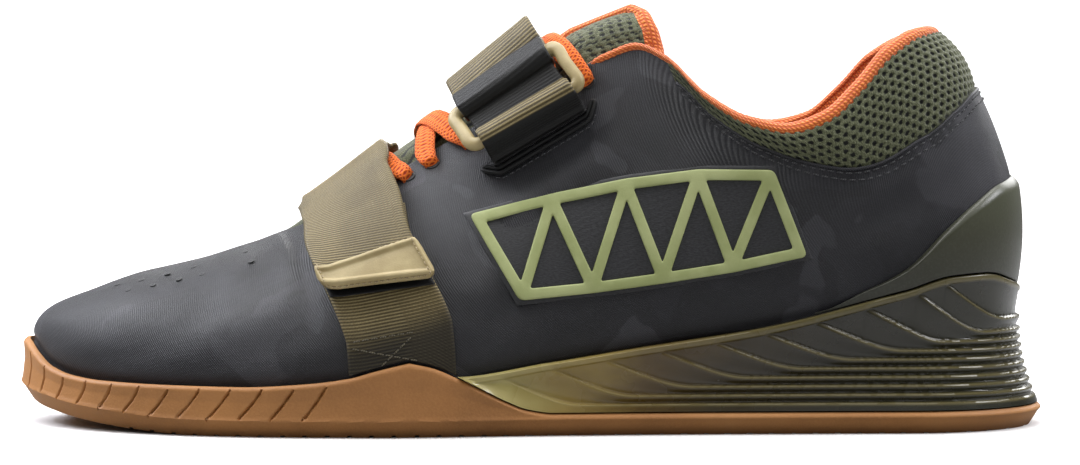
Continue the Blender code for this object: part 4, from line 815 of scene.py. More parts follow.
class Shape:
    """Collects points and quads with a UV in metres and a material slot for each face."""

    def __init__(self):
        self.points, self.faces, self.uvs, self.slots, self.marks = [], [], [], [], {}

    def add(self, places, **marks):
        """Adds an array of places and returns their numbers in the same layout."""
        places = np.asarray(places, float)
        first = len(self.points)
        self.points += [tuple(p) for p in places.reshape(-1, 3)]
        count = len(self.points) - first
        for name in set(marks) | set(self.marks):
            values = np.broadcast_to(marks.get(name, 0.0), places.shape[:-1]).reshape(-1)
            self.marks.setdefault(name, [0.0] * first).extend(float(v) for v in values)
        return np.arange(first, first + count).reshape(places.shape[:-1])

    def face(self, corners, uv=None, slot=0):
        uv = uv if uv is not None else [(0.0, 0.0)] * len(corners)
        kept = [i for i, c in enumerate(corners) if c != corners[i - 1]]
        if len({corners[i] for i in kept}) >= 3:
            self.faces.append([int(corners[i]) for i in kept])
            self.uvs.append([tuple(uv[i]) for i in kept])
            self.slots.append(slot)

    def sheet(self, index, uv, slot=0):
        """Quads between neighbouring rows. `slot` is a number or an array for each quad."""
        slots = np.broadcast_to(slot, (index.shape[0] - 1, index.shape[1] - 1))
        for i in range(index.shape[0] - 1):
            for j in range(index.shape[1] - 1):
                spots = ((i, j), (i + 1, j), (i + 1, j + 1), (i, j + 1))
                self.face([index[s] for s in spots], [uv[s] for s in spots], int(slots[i, j]))

    def tube(self, places, uv=None, ends=(), slot=0, **marks):
        """A grid whose rows close on themselves, with a fan over the ends that are named."""
        index = self.add(places, **marks)
        for end in ends:
            self.cap(index[end])
        index = np.concatenate((index, index[:, :1]), axis=1)
        self.sheet(index, np.zeros((*index.shape, 2)) if uv is None else uv, slot)
        return index

    def slab(self, over, under, uv):
        """A thin piece between two grids of numbers, closed round its four edges."""
        self.sheet(over, uv)
        self.sheet(under, uv)
        for k in (0, -1):
            self.sheet(np.stack((over[k], under[k])), np.stack((uv[k], uv[k])))
            self.sheet(np.stack((over[:, k], under[:, k])), np.stack((uv[:, k], uv[:, k])))

    def cap(self, ring, slot=0):
        """Closes the end of a tube with a fan of faces round its middle."""
        ring = [int(v) for v in ring]
        middle = self.add(np.mean([self.points[v] for v in ring], axis=0)[None, :])[0]
        for i, corner in enumerate(ring):
            self.face([ring[i - 1], corner, middle], slot=slot)

    def build(self, name, materials, sharp=None):
        """One mesh object of all that was collected, welded, with its faces pointing out."""
        mesh = bpy.data.meshes.new(name)
        mesh.from_pydata(self.points, [], self.faces)
        layer = mesh.uv_layers.new(name="metres")
        layer.data.foreach_set("uv", np.array([c for f in self.uvs for c in f], float).ravel())
        mesh.polygons.foreach_set("material_index", self.slots)
        for key, values in self.marks.items():
            mesh.attributes.new(key, "FLOAT", "POINT").data.foreach_set("value", values)
        for finish in materials:
            mesh.materials.append(finish)
        work = bmesh.new()
        work.from_mesh(mesh)
        bmesh.ops.remove_doubles(work, verts=work.verts, dist=WELD)
        bmesh.ops.recalc_face_normals(work, faces=work.faces)
        if work.calc_volume(signed=True) < 0:
            bmesh.ops.reverse_faces(work, faces=work.faces)
        work.to_mesh(mesh)
        work.free()
        mesh.shade_smooth()
        if sharp:
            mesh.set_sharp_from_angle(angle=math.radians(sharp))
        made = bpy.data.objects.new(name, mesh)
        bpy.context.scene.collection.objects.link(made)
        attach(made, "root")
        return made


def lengths(places, axis):
    """Running length along one axis of a grid of places."""
    step = np.linalg.norm(np.diff(places, axis=axis), axis=-1)
    start = np.zeros_like(np.take(step, [0], axis=axis))
    return np.concatenate((start, np.cumsum(step, axis=axis)), axis=axis)


def grid_normals(places):
    """Unit normals of a grid of places, from the differences to its neighbours."""
    return unit(np.cross(np.gradient(places, axis=0), np.gradient(places, axis=1)))


def finish_piece(piece, slot, *nodes):
    if nodes:
        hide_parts(*nodes)
    return piece


class Finish:
    """A procedural material under construction. Each step returns a node's output."""

    def __init__(self, name):
        self.material = bpy.data.materials.new(name)
        self.material.use_nodes = True
        self.tree = self.material.node_tree
        self.shader = self.tree.nodes["Principled BSDF"]

    def node(self, kind, inputs=(), **settings):
        made = self.tree.nodes.new("ShaderNode" + kind)
        for key, value in settings.items():
            setattr(made, key, value)
        for key, value in dict(inputs).items():
            self.set(made.inputs[key], value)
        return made

    def set(self, socket, value):
        if isinstance(value, bpy.types.NodeSocket):
            self.tree.links.new(value, socket)
        elif isinstance(value, (tuple, list)) and len(value) == 3 and socket.type == "RGBA":
            socket.default_value = (*value, 1.0)
        else:
            socket.default_value = value

    def place(self):
        return self.node("TexCoord").outputs["Object"]

    def uv(self):
        return self.node("TexCoord").outputs["UV"]

    def mark(self, name):
        return self.node("Attribute", attribute_name=name).outputs["Fac"]

    def math(self, operation, *values):
        return self.node("Math", enumerate(values), operation=operation).outputs[0]

    def moved(self, vector, scale=(1, 1, 1), turn=(0, 0, 0), shift=(0, 0, 0)):
        inputs = {"Vector": vector, "Scale": scale, "Rotation": turn, "Location": shift}
        return self.node("Mapping", inputs).outputs[0]

    def noise(self, vector, scale, detail=3.0, rough=0.5, warp=0.0):
        inputs = {"Vector": vector, "Scale": scale, "Detail": detail, "Roughness": rough}
        inputs["Distortion"] = warp
        return self.node("TexNoise", inputs).outputs["Fac"]

    def wave(self, vector, pitch, direction="X", warp=0.0):
        """Bands with a pitch in metres."""
        inputs = {"Vector": vector, "Scale": WAVE_METRE / pitch, "Distortion": warp, "Detail": 2.0}
        return self.node("TexWave", inputs, bands_direction=direction).outputs["Fac"]

    def between(self, value, low, high, start=0.0, end=1.0):
        inputs = {"Value": value, "From Min": low, "From Max": high, "To Min": start, "To Max": end}
        return self.node("MapRange", inputs, interpolation_type="SMOOTHSTEP").outputs[0]

    def ramp(self, value, *stops):
        made = self.node("ValToRGB", {"Fac": value})
        ramp = made.color_ramp
        while len(ramp.elements) < len(stops):
            ramp.elements.new(0.5)
        for element, (at, colour) in zip(ramp.elements, stops):
            element.position = at
            element.color = (*colour, 1.0)
        return made.outputs["Color"]

    def mix(self, share, one, other, blend="MIX"):
        made = self.node("Mix", data_type="RGBA", blend_type=blend)
        for socket, value in zip((made.inputs[0], made.inputs[6], made.inputs[7]), (share, one, other)):
            self.set(socket, value)
        return made.outputs[2]

    def bump(self, height, depth, under=None):
        inputs = {"Height": height, "Distance": depth, "Strength": 1.0}
        if under is not None:
            inputs["Normal"] = under
        return self.node("Bump", inputs).outputs[0]

    def done(self, **inputs):
        for key, value in inputs.items():
            self.set(self.shader.inputs[key.replace("_", " ")], value)
        return self.material


def twill(f, vector, pitch, depth):
    """Fine diagonal weave pressed into a fabric."""
    one = f.wave(f.moved(vector, turn=(0, 0, 0.785)), pitch, warp=0.6)
    other = f.wave(f.moved(vector, turn=(0, 0, -0.785)), pitch, warp=0.6)
    height = f.math("MULTIPLY", one, other)
    return height, f.bump(height, depth)


def microfibre():
    """Coated camouflage microfibre: soft blotches, a fine emboss with painted shade in its grooves, and a
    satin sheen.
    """
    f = Finish("microfibre")
    place, uv = f.place(), f.uv()
    warped = f.mix(0.040, place, f.node("TexNoise", {"Vector": place, "Scale": 38.0}).outputs[1], "ADD")
    blotch = f.noise(warped, 30.0, 2.0, 0.35)
    other = f.noise(f.moved(warped, shift=(3.1, 1.7, 0.4)), 38.0, 2.0, 0.4)
    colour = f.mix(f.between(blotch, 0.495, 0.512), (0.0070, 0.0068, 0.0098), (0.0125, 0.0122, 0.0165))
    colour = f.mix(f.between(other, 0.58, 0.60), colour, (0.034, 0.033, 0.040))
    colour = f.mix(f.between(other, 0.37, 0.39, 1.0, 0.0), colour, (0.0050, 0.0050, 0.0075))
    weave, normal = twill(f, uv, 0.00052, 0.00012)
    grain = f.noise(uv, 2600.0, 2.0, 0.6)
    # Painted shade: darker in the low places of the twill.
    colour = f.mix(f.between(weave, 0.0, 0.6, 0.45, 0.0), colour, (0.004, 0.004, 0.005))
    colour = f.mix(f.between(grain, 0.40, 0.75, 0.0, 0.10), colour, (0.14, 0.14, 0.16))
    soft = f.bump(f.noise(place, 160.0, 3.0), 0.00022, normal)
    rough = f.between(f.noise(place, 45.0, 3.0), 0.3, 0.7, 0.40, 0.50)
    return f.done(Base_Color=colour, Roughness=rough, Normal=soft, Sheen_Weight=0.05,
                  Sheen_Roughness=0.4, Specular_IOR_Level=0.45)


def spacer_mesh():
    """Olive spacer mesh: painted shade darkens its holes, with fine knitted threads."""
    f = Finish("spacer_mesh")
    uv, hole = f.uv(), f.mark("hole")
    yarn = f.noise(f.moved(uv, scale=(1.0, 0.35, 1.0)), 3800.0, 2.0, 0.6)
    colour = f.ramp(yarn, (0.30, (0.030, 0.034, 0.013)), (0.50, (0.095, 0.104, 0.046)),
                    (0.74, (0.260, 0.275, 0.165)))
    # Painted shade: near-black where the hole mark is, in the holes and on the collar mesh's back.
    colour = f.mix(f.between(hole, 0.30, 0.75), colour, (0.006, 0.007, 0.004))
    normal = f.bump(yarn, 0.00018)
    return f.done(Base_Color=colour, Roughness=0.82, Normal=normal, Sheen_Weight=0.25)


def knit(name, low, middle, high):
    """Knitted rib fabric: small loops, with painted shade between them and a painted highlight on their
    crowns.
    """
    f = Finish(name)
    uv, place = f.uv(), f.place()
    loops = f.wave(f.moved(uv, turn=(0, 0, 0.5)), 0.0011, warp=0.6)
    rows = f.wave(uv, 0.0013, "Y", warp=0.5)
    height = f.math("MULTIPLY", loops, rows)
    yarn = f.noise(uv, 3000.0, 2.0, 0.6)
    # Colour follows the loops' height: painted shade low down, painted highlight on the crowns.
    colour = f.ramp(f.math("ADD", f.math("MULTIPLY", height, 0.7), f.math("MULTIPLY", yarn, 0.35)),
                    (0.15, low), (0.45, middle), (0.85, high))
    colour = f.mix(f.between(f.noise(place, 60.0, 3.0), 0.4, 0.7, 0.0, 0.25), colour, low)
    normal = f.bump(yarn, 0.00010, f.bump(height, 0.00030))
    return f.done(Base_Color=colour, Roughness=0.85, Normal=normal, Sheen_Weight=0.3,
                  Sheen_Roughness=0.6)


def orange_knit():
    return knit("orange_knit", (0.52, 0.075, 0.004), (0.95, 0.200, 0.010), (1.0, 0.36, 0.045))


def insole_cloth():
    return knit("insole_cloth", (0.30, 0.05, 0.008), (0.62, 0.15, 0.022), (0.80, 0.27, 0.06))


def gum_rubber():
    """Gum rubber: warm tan with cloudy tone, fine moulding grain, scuffs and painted shade along its bottom
    bevel.
    """
    f = Finish("gum_rubber")
    place = f.place()
    cloud = f.noise(place, 24.0, 4.0, 0.55)
    colour = f.ramp(cloud, (0.30, (0.31, 0.132, 0.036)), (0.55, (0.44, 0.192, 0.055)),
                    (0.80, (0.52, 0.245, 0.078)))
    grain = f.noise(place, 1500.0, 3.0, 0.6)
    colour = f.mix(f.between(grain, 0.35, 0.7, 0.0, 0.22), colour, (0.56, 0.28, 0.10))
    scuff = f.noise(f.moved(place, scale=(1, 1, 4)), 210.0, 5.0, 0.7)
    colour = f.mix(f.between(scuff, 0.62, 0.76, 0.0, 0.30), colour, (0.22, 0.095, 0.035))
    # Painted shade: darker towards the bottom, under the undercut bevel.
    low = f.between(f.node("SeparateXYZ", {"Vector": place}).outputs[2], 0.0, 0.0035, 0.55, 0.0)
    colour = f.mix(low, colour, (0.16, 0.07, 0.028))
    normal = f.bump(grain, 0.00010, f.bump(cloud, 0.0006))
    return f.done(Base_Color=colour, Roughness=f.between(grain, 0.3, 0.7, 0.50, 0.66), Normal=normal,
                  Specular_IOR_Level=0.45)


def wedge_tpu():
    """Moulded wedge: pale yellow-green at its tip, gold-brown, then glossy dark olive, with a painted
    highlight along its rib edges and lip.
    """
    f = Finish("wedge_tpu")
    place = f.place()
    x = f.node("SeparateXYZ", {"Vector": place}).outputs[0]
    cloud = f.noise(f.moved(place, scale=(1.0, 1.0, 2.5)), 20.0, 4.0, 0.55)
    way = f.math("ADD", f.between(x, -0.020, 0.150), f.between(cloud, 0.2, 0.8, -0.07, 0.07))
    colour = f.ramp(way, (0.00, (0.40, 0.34, 0.12)), (0.10, (0.28, 0.195, 0.046)),
                    (0.24, (0.098, 0.058, 0.011)), (0.42, (0.036, 0.025, 0.007)),
                    (0.70, (0.019, 0.016, 0.007)), (1.00, (0.020, 0.020, 0.011)))
    # Painted highlight: a pale tone along the rib edges and the lip.
    colour = f.mix(f.math("MULTIPLY", f.mark("crest"), 0.38), colour, (0.34, 0.28, 0.11))
    grain = f.noise(place, 900.0, 3.0, 0.6)
    normal = f.bump(grain, 0.00002)
    rough = f.between(f.noise(place, 70.0, 3.0), 0.3, 0.7, 0.20, 0.32)
    return f.done(Base_Color=colour, Roughness=rough, Normal=normal, Coat_Weight=0.35,
                  Coat_Roughness=0.16, Specular_IOR_Level=0.45)


def counter_tpu():
    """Satin olive heel counter with a faint moulding texture, painted darker low down and lighter towards the
    top as shade and highlight.
    """
    f = Finish("counter_tpu")
    place = f.place()
    z = f.node("SeparateXYZ", {"Vector": place}).outputs[2]
    cloud = f.noise(place, 22.0, 3.0)
    # Painted light: colour runs from dark low down to light towards the top edge.
    way = f.math("ADD", f.between(z, 0.035, 0.075), f.between(cloud, 0.2, 0.8, -0.1, 0.1))
    colour = f.ramp(way, (0.0, (0.022, 0.022, 0.012)), (0.5, (0.046, 0.047, 0.027)),
                    (1.0, (0.085, 0.090, 0.056)))
    grain = f.noise(place, 1300.0, 3.0, 0.6)
    colour = f.mix(f.between(grain, 0.4, 0.8, 0.0, 0.08), colour, (0.20, 0.21, 0.15))
    return f.done(Base_Color=colour, Roughness=f.between(cloud, 0.3, 0.7, 0.30, 0.42),
                  Normal=f.bump(grain, 0.00005), Coat_Weight=0.12, Coat_Roughness=0.3)


def webbing(name, low, middle, high):
    """Ribbed webbing: painted shade in the grooves between its ribs and a painted highlight on their crowns.
    """
    f = Finish(name)
    uv, place = f.uv(), f.place()
    yarn = f.noise(f.moved(uv, scale=(3.0, 1.0, 1.0)), 1700.0, 3.0, 0.65)
    ribs = f.mark("rib")
    # The rib mark paints shade in the grooves and a highlight on the crowns.
    tone = f.math("ADD", f.math("MULTIPLY", ribs, 0.55), f.math("MULTIPLY", yarn, 0.45))
    colour = f.ramp(tone, (0.22, low), (0.52, middle), (0.85, high))
    patch = f.between(f.noise(place, 60.0, 3.0), 0.40, 0.66, 0.0, 0.30)
    colour = f.mix(patch, colour, low)
    # Near-black where the dark mark is: the strap's painted shadow on the base, painted shade at the ring's
    # fold and flap, and the anchor's dark part.
    colour = f.mix(f.mark("dark"), colour, (0.0055, 0.0052, 0.0045))
    normal = f.bump(yarn, 0.00014)
    return f.done(Base_Color=colour, Roughness=0.48, Normal=normal, Sheen_Weight=0.08,
                  Sheen_Roughness=0.35, Specular_IOR_Level=0.3)


def khaki_webbing():
    return webbing("khaki_webbing", (0.028, 0.020, 0.006), (0.155, 0.115, 0.044), (0.42, 0.34, 0.165))


def dark_webbing():
    return webbing("dark_webbing", (0.003, 0.003, 0.003), (0.009, 0.009, 0.009), (0.035, 0.035, 0.032))


def moulded(name, low, high, rough, coat=0.0):
    """Moulded plastic: cloudy tone, a fine grain and small rubbed marks."""
    f = Finish(name)
    place = f.place()
    cloud = f.noise(place, 80.0, 4.0, 0.55)
    grain = f.noise(place, 1800.0, 3.0, 0.6)
    colour = f.mix(f.between(cloud, 0.3, 0.7), low, high)
    scuff = f.noise(f.moved(place, scale=(1, 1, 3)), 420.0, 5.0, 0.7)
    colour = f.mix(f.between(scuff, 0.60, 0.78, 0.0, 0.25), colour, low)
    return f.done(Base_Color=colour, Roughness=f.between(grain, 0.3, 0.7, rough, rough + 0.12),
                  Normal=f.bump(grain, 0.00006), Coat_Weight=coat, Coat_Roughness=0.3)


def lace_cord():
    """Flat braided lace: crossing strands, with painted shade between them and a painted highlight on their
    crowns.
    """
    f = Finish("lace_cord")
    uv = f.uv()
    one = f.wave(f.moved(uv, turn=(0, 0, 0.7)), 0.0011)
    other = f.wave(f.moved(uv, turn=(0, 0, -0.7)), 0.0011)
    height = f.math("MAXIMUM", one, other)
    yarn = f.noise(uv, 2600.0, 2.0, 0.6)
    # Colour follows the strands' height: painted shade between them, painted highlight on the crowns.
    tone = f.math("ADD", f.math("MULTIPLY", height, 0.6), f.math("MULTIPLY", yarn, 0.4))
    colour = f.ramp(tone, (0.25, (0.36, 0.030, 0.004)), (0.55, (0.80, 0.115, 0.008)),
                    (0.85, (1.0, 0.235, 0.025)))
    normal = f.bump(yarn, 0.00008, f.bump(height, 0.00022))
    return f.done(Base_Color=colour, Roughness=0.72, Normal=normal, Sheen_Weight=0.10, Specular_IOR_Level=0.3)


def thread(name, low, high):
    """Sewing thread: two plies that wind round each other, lighter along each ply as a painted glint."""
    f = Finish(name)
    uv = f.uv()
    ply = f.wave(f.moved(uv, turn=(0, 0, 0.6)), 0.0005)
    # Painted highlight: the lighter colour along each ply stands in for glints.
    colour = f.mix(ply, low, high)
    return f.done(Base_Color=colour, Roughness=0.6, Normal=f.bump(ply, 0.00008), Sheen_Weight=0.2)


def microground():
    """Dark padded fabric with fine ribs behind the frame."""
    f = Finish("dark_ground")
    uv = f.uv()
    yarn = f.noise(f.moved(uv, scale=(0.4, 1.0, 1.0)), 2400.0, 3.0, 0.6)
    colour = f.ramp(yarn, (0.3, (0.006, 0.006, 0.007)), (0.7, (0.030, 0.030, 0.034)))
    return f.done(Base_Color=colour, Roughness=0.6, Normal=f.bump(yarn, 0.0001), Sheen_Weight=0.25)


# How finely the looks are drawn.
WELD = 2e-6
WAVE_METRE = 0.31416
INSTEP_STATIONS = 91
SEAM_POINTS = 150
CORNER_PARTS = 5
THREAD_SLACK = 0.00006
FINE_STATIONS = 150
FABRIC_FINE = 58
MESH_FINE = 10
HOLE_PITCH = 0.00285
HOLE_ROW = 0.00200
HOLE_DEPTH = 0.00075

# Rings of a pinhole and of an eyelet: radius and height over the surface.
PINHOLE_RINGS = ((0.00100, 0.0), (0.00086, 0.00034), (0.00064, 0.00032), (0.0003, 0.00020))
EYELET_RINGS = (
    (0.0021, 0.0001), (0.0019, 0.0003), (0.0016, 0.0003), (0.0013, 0.00005), (0.0010, -0.0006),
)

# Stitches: pitch, length and radius of the thread.
STITCHES = {
    "collar": (0.0026, 0.0019, 0.00021),
    "base": (0.0022, 0.0018, 0.00020),
    "tab": (0.0017, 0.0012, 0.00017),
    "slot": (0.0021, 0.0015, 0.00018),
}

TOE_PINHOLES = table(
    "x height",
    (-0.1196, 0.0406), (-0.1123, 0.0420), (-0.1047, 0.0438), (-0.0971, 0.0458),
    (-0.0892, 0.0476), (-0.0821, 0.0502), (-0.1155, 0.0394), (-0.1082, 0.0409),
    (-0.1006, 0.0426), (-0.0939, 0.0441), (-0.0865, 0.0455), (-0.0796, 0.0479),
)

# Soft creases of the upper: the ends of each, as places along and up the lateral side,
# its depth, its width and how much ridge stands beside it.
CREASES = table(
    "x1 z1 x2 z2 depth width ridge",
    (-0.0130, 0.0685, 0.0215, 0.0870, 0.0015, 0.0042, 0.75),
    (-0.0160, 0.0640, 0.0060, 0.0705, 0.0005, 0.0030, 0.50),
    (-0.0830, 0.0330, -0.0700, 0.0560, 0.0007, 0.0050, 0.50),
    (-0.0940, 0.0300, -0.0850, 0.0470, 0.0005, 0.0045, 0.50),
    (-0.0150, 0.0290, 0.0060, 0.0480, 0.0006, 0.0050, 0.60),
    (0.0880, 0.0560, 0.1110, 0.0690, 0.0006, 0.0045, 0.50),
    (0.0560, 0.0760, 0.0700, 0.0560, 0.0005, 0.0050, 0.50),
)


def crease_depth(x, z):
    """How deep the fabric lies under its plain surface at places along and up."""
    depth = np.zeros_like(x)
    for x1, z1, x2, z2, low, width, ridge in zip(*CREASES.values()):
        run = np.array((x2 - x1, z2 - z1))
        size = np.linalg.norm(run)
        way = ((x - x1) * run[0] + (z - z1) * run[1]) / size**2
        off = ((x - x1) * run[1] - (z - z1) * run[0]) / size
        off = off - 0.12 * size * (0.25 - (way - 0.5) ** 2)
        fade = np.exp(-(((way - 0.5) / 0.42) ** 4))
        trough = bell(off, width) - ridge * (bell(off - 1.9 * width, width) + bell(off + 1.9 * width, width))
        depth += low * fade * trough
    return depth


def shell_grid(side, stations, shares):
    """Places on one side of the upper: a row of shares for each station."""
    share_of = [shares(station) for station in stations]
    places = [rib_row(side, station, row) for station, row in zip(stations, share_of)]
    return np.array(places), np.array(share_of)


def rib_row(side, station, shares):
    """Places on one rib of the upper at many shares."""
    foot, lower, upper, top = rib_handles(side, station)
    t = np.asarray(shares)[:, None]
    u = 1 - t
    return foot * u**3 + lower * 3 * u * u * t + upper * 3 * u * t * t + top * t**3


class Flank:
    """The lateral side of the upper as a fine grid, to find places seen from the side."""

    def __init__(self):
        shares = np.linspace(0.0, 1.0, 161)
        stations = np.linspace(0.03, 0.94, 331)
        self.grid, _ = shell_grid(LATERAL, stations, lambda s: shares)
        self.back = np.gradient(self.grid, axis=0)
        self.up = np.gradient(self.grid, axis=1)
        normal = unit(np.cross(self.up, self.back))
        self.normal = normal * np.where(normal[150, 80, 1] > 0, -1.0, 1.0)
        flat = self.grid.reshape(-1, 3)
        facing = np.flatnonzero(self.normal.reshape(-1, 3)[:, 1] < -0.12)
        self.tree = KDTree(len(facing))
        for i in facing:
            self.tree.insert((flat[i, 0], 0.0, flat[i, 2]), int(i))
        self.tree.balance()

    def at(self, x, height, lift):
        """Point at a place along and a height, a distance off the surface."""
        _, i, _ = self.tree.find((x, 0.0, height))
        i, j = divmod(i, self.grid.shape[1])
        here, back, up = self.grid[i, j], self.back[i, j], self.up[i, j]
        across = back[0] * up[2] - up[0] * back[2]
        u = ((x - here[0]) * up[2] - (height - here[2]) * up[0]) / across
        v = ((height - here[2]) * back[0] - (x - here[0]) * back[2]) / across
        return here + back * u + up * v + self.normal[i, j] * lift


def both_sides(stations, shares):
    """Places round the whole foot, from the heel's back along the medial side to the
    toe and back along the lateral side, with each place's station and share."""
    medial, share = shell_grid(MEDIAL, stations[::-1], shares)
    lateral, other = shell_grid(LATERAL, stations[1:], shares)
    station = np.concatenate((stations[::-1], stations[1:]))
    places = np.concatenate((medial, lateral))
    return places, station, np.concatenate((share, other))


def round_normals(places):
    """Outward normals of a grid that runs round the foot and closes at the heel."""
    wide = np.concatenate((places[-2:-1], places, places[1:2]))
    return unit(np.cross((wide[2:] - wide[:-2]) / 2, np.gradient(places, axis=1)))


def metres(places):
    """UV of a grid round the foot, in metres from its toe and from its lower edge."""
    run = lengths(places, 0)
    middle = len(places) // 2
    return np.stack((run - run[middle:middle + 1], lengths(places, 1)), axis=-1)


def upper_rows(station):
    seam = RIB["seam"](station)
    return np.concatenate((
        np.linspace(0.0, seam, FABRIC_FINE + 1),
        seam + (1 - seam) * (0.012 + 0.988 * np.linspace(0.0, 1.0, MESH_FINE)),
    ))


# Soft forms of the upper: gentle waves, the dent above the sole's edge, how far the
# knit under the mesh lies back and from where, and how deep the creases are inside.
UPPER_WAVE = 0.00022
SEAT_DENT = 0.0007
SEAT_WIDTH = 0.0016
UNDER_MESH = 0.0014
UNDER_MESH_START = 0.755
MEDIAL_CREASE = 0.6


def build_upper(finishes):
    """Upper as one hollow shell: microfibre outside, knitted lining inside."""
    stations = np.linspace(0.0, 1.0, FINE_STATIONS + 1)
    places, station, share = both_sides(stations, upper_rows)
    normal = round_normals(places)
    ridge = np.array([along_of(s) <= THROAT_START for s in station])
    middle = len(places) // 2
    for i in np.flatnonzero(ridge):
        normal[i, -1] = unit(normal[i, -1] + normal[2 * middle - i, -1])
    relief = np.array([[mesh_relief(s, v) for v in row] for s, row in zip(station, share)])
    wall = np.array([[wall_at(s, v) for v in row] for s, row in zip(station, share)])
    on_lateral = ease(-places[..., 1], 0.004, 0.012)
    x, z = places[..., 0], places[..., 2]
    depth = crease_depth(x, z) * on_lateral
    depth = depth + MEDIAL_CREASE * crease_depth(x + 0.004, z + 0.003) * (1 - on_lateral)
    soft = UPPER_WAVE * np.sin(x * 190 + 2.0 * np.sin(z * 130))
    soft *= ease(share, 0.05, 0.2) * (1 - ease(share, 0.8, 0.95))
    edge = SEAT_DENT * bell(z - np.array([[top_seat(s)] for s in station]), SEAT_WIDTH)
    behind = np.array([along_of(s) > UNDER_MESH_START for s in station])
    under_mesh = behind[:, None] & (np.arange(share.shape[1]) > FABRIC_FINE)[None, :]
    sink = np.where(under_mesh, UNDER_MESH, 0.0)
    outer = places + normal * (relief - depth + soft - edge - sink)[..., None]
    inner = places - normal * wall[..., None]
    inner[:, 0, 2] = outer[:, 0, 2]
    made = Shape()
    skin, lining = made.add(outer), made.add(inner)
    uv = metres(places)
    slot = (np.arange(share.shape[1] - 1) >= FABRIC_FINE)[None, :] & behind[:-1, None]
    made.sheet(skin, uv, slot.astype(int))
    made.sheet(lining, uv, 2)
    open_rows = np.array([along_of(s) > THROAT_START - 1e-6 for s in station])
    for i in range(len(station) - 1):
        foot = [skin[i, 0], skin[i + 1, 0], lining[i + 1, 0], lining[i, 0]]
        made.face(foot)
        if open_rows[i] or open_rows[i + 1]:
            top = [skin[i, -1], skin[i + 1, -1], lining[i + 1, -1], lining[i, -1]]
            made.face(top, [uv[i, -1], uv[i + 1, -1], uv[i + 1, -1], uv[i, -1]])
    cloths = [finishes[key] for key in ("microfibre", "spacer_mesh", "orange_knit")]
    finish_piece(made.build("upper_shell", cloths), "microfibre", "upper")


def top_seat(station):
    """Height of the sole's or the wedge's edge against the upper."""
    if along_of(station) > WEDGE_TIP:
        return wedge_line(station)
    return gum_line(station)


# The wedge's steps along and up, the width of the painted highlight on its rib edges,
# how much its ribs are brought out and how its lip swells and falls in.
WEDGE_STEPS = 340
WEDGE_ROWS = 112
CUP_ROWS = 5
CREST_HIGHLIGHT_WIDTH = 0.00042
RIB_GAIN = 1.25
LIP_SWELL = 0.0005
LIP_FALL = 0.0011


def wedge_column(side, station, rows):
    """Outer side of the wedge from its seat to its top with its moulded steps, and how
    strongly each place takes the painted highlight along the rib edges and the lip."""
    plan, out = outline(side, station), outward(side, station)
    seat, top = gum_line(station) + FIT_GAP, wedge_line(station)
    ribs = []
    below = seat
    for i in reversed(range(len(WEDGE_RIBS["start"]))):
        rib = rib_on_wedge(i, station)
        if rib and rib[0] <= top - WEDGE_BROW + 1e-6 and rib[0] >= below + RIB_EDGE * 1.2:
            ribs.append(rib)
            below = rib[0]
    height = np.linspace(seat, top, rows)
    extra, crest = np.zeros(rows), np.zeros(rows)
    levels = [(seat, 0.0)] + ribs + [(top, 0.0)]
    for (low, low_depth), (high, high_depth) in zip(levels, levels[1:]):
        here = (height >= low) & (height <= high)
        rise = ease(height, low, max(low + 1e-5, high - 1.6 * RIB_EDGE))
        step = ease(height, high - 0.9 * RIB_EDGE, high)
        extra = np.where(here, -RIB_GAIN * (low_depth * (1 - rise) + high_depth * step), extra)
        # Painted highlight: a thin bell just under each rib line, and along the lip below the top.
        mark = bell(height - high + 1.1 * RIB_EDGE, CREST_HIGHLIGHT_WIDTH)
        crest = np.maximum(crest, high_depth / RIB_DEPTH * mark)
    lip = ease(height, top - 1.9 * WEDGE_BROW, top - 1.4 * WEDGE_BROW)
    crest = np.maximum(crest, 0.8 * lip)
    extra += LIP_SWELL * lip - LIP_FALL * ease(height, top - 0.5 * WEDGE_BROW, top) ** 2
    wide = np.array([wedge_offset(station, h) for h in height]) + extra
    flat = plan + out * wide[:, None]
    return np.concatenate((flat, height[:, None]), axis=1), crest


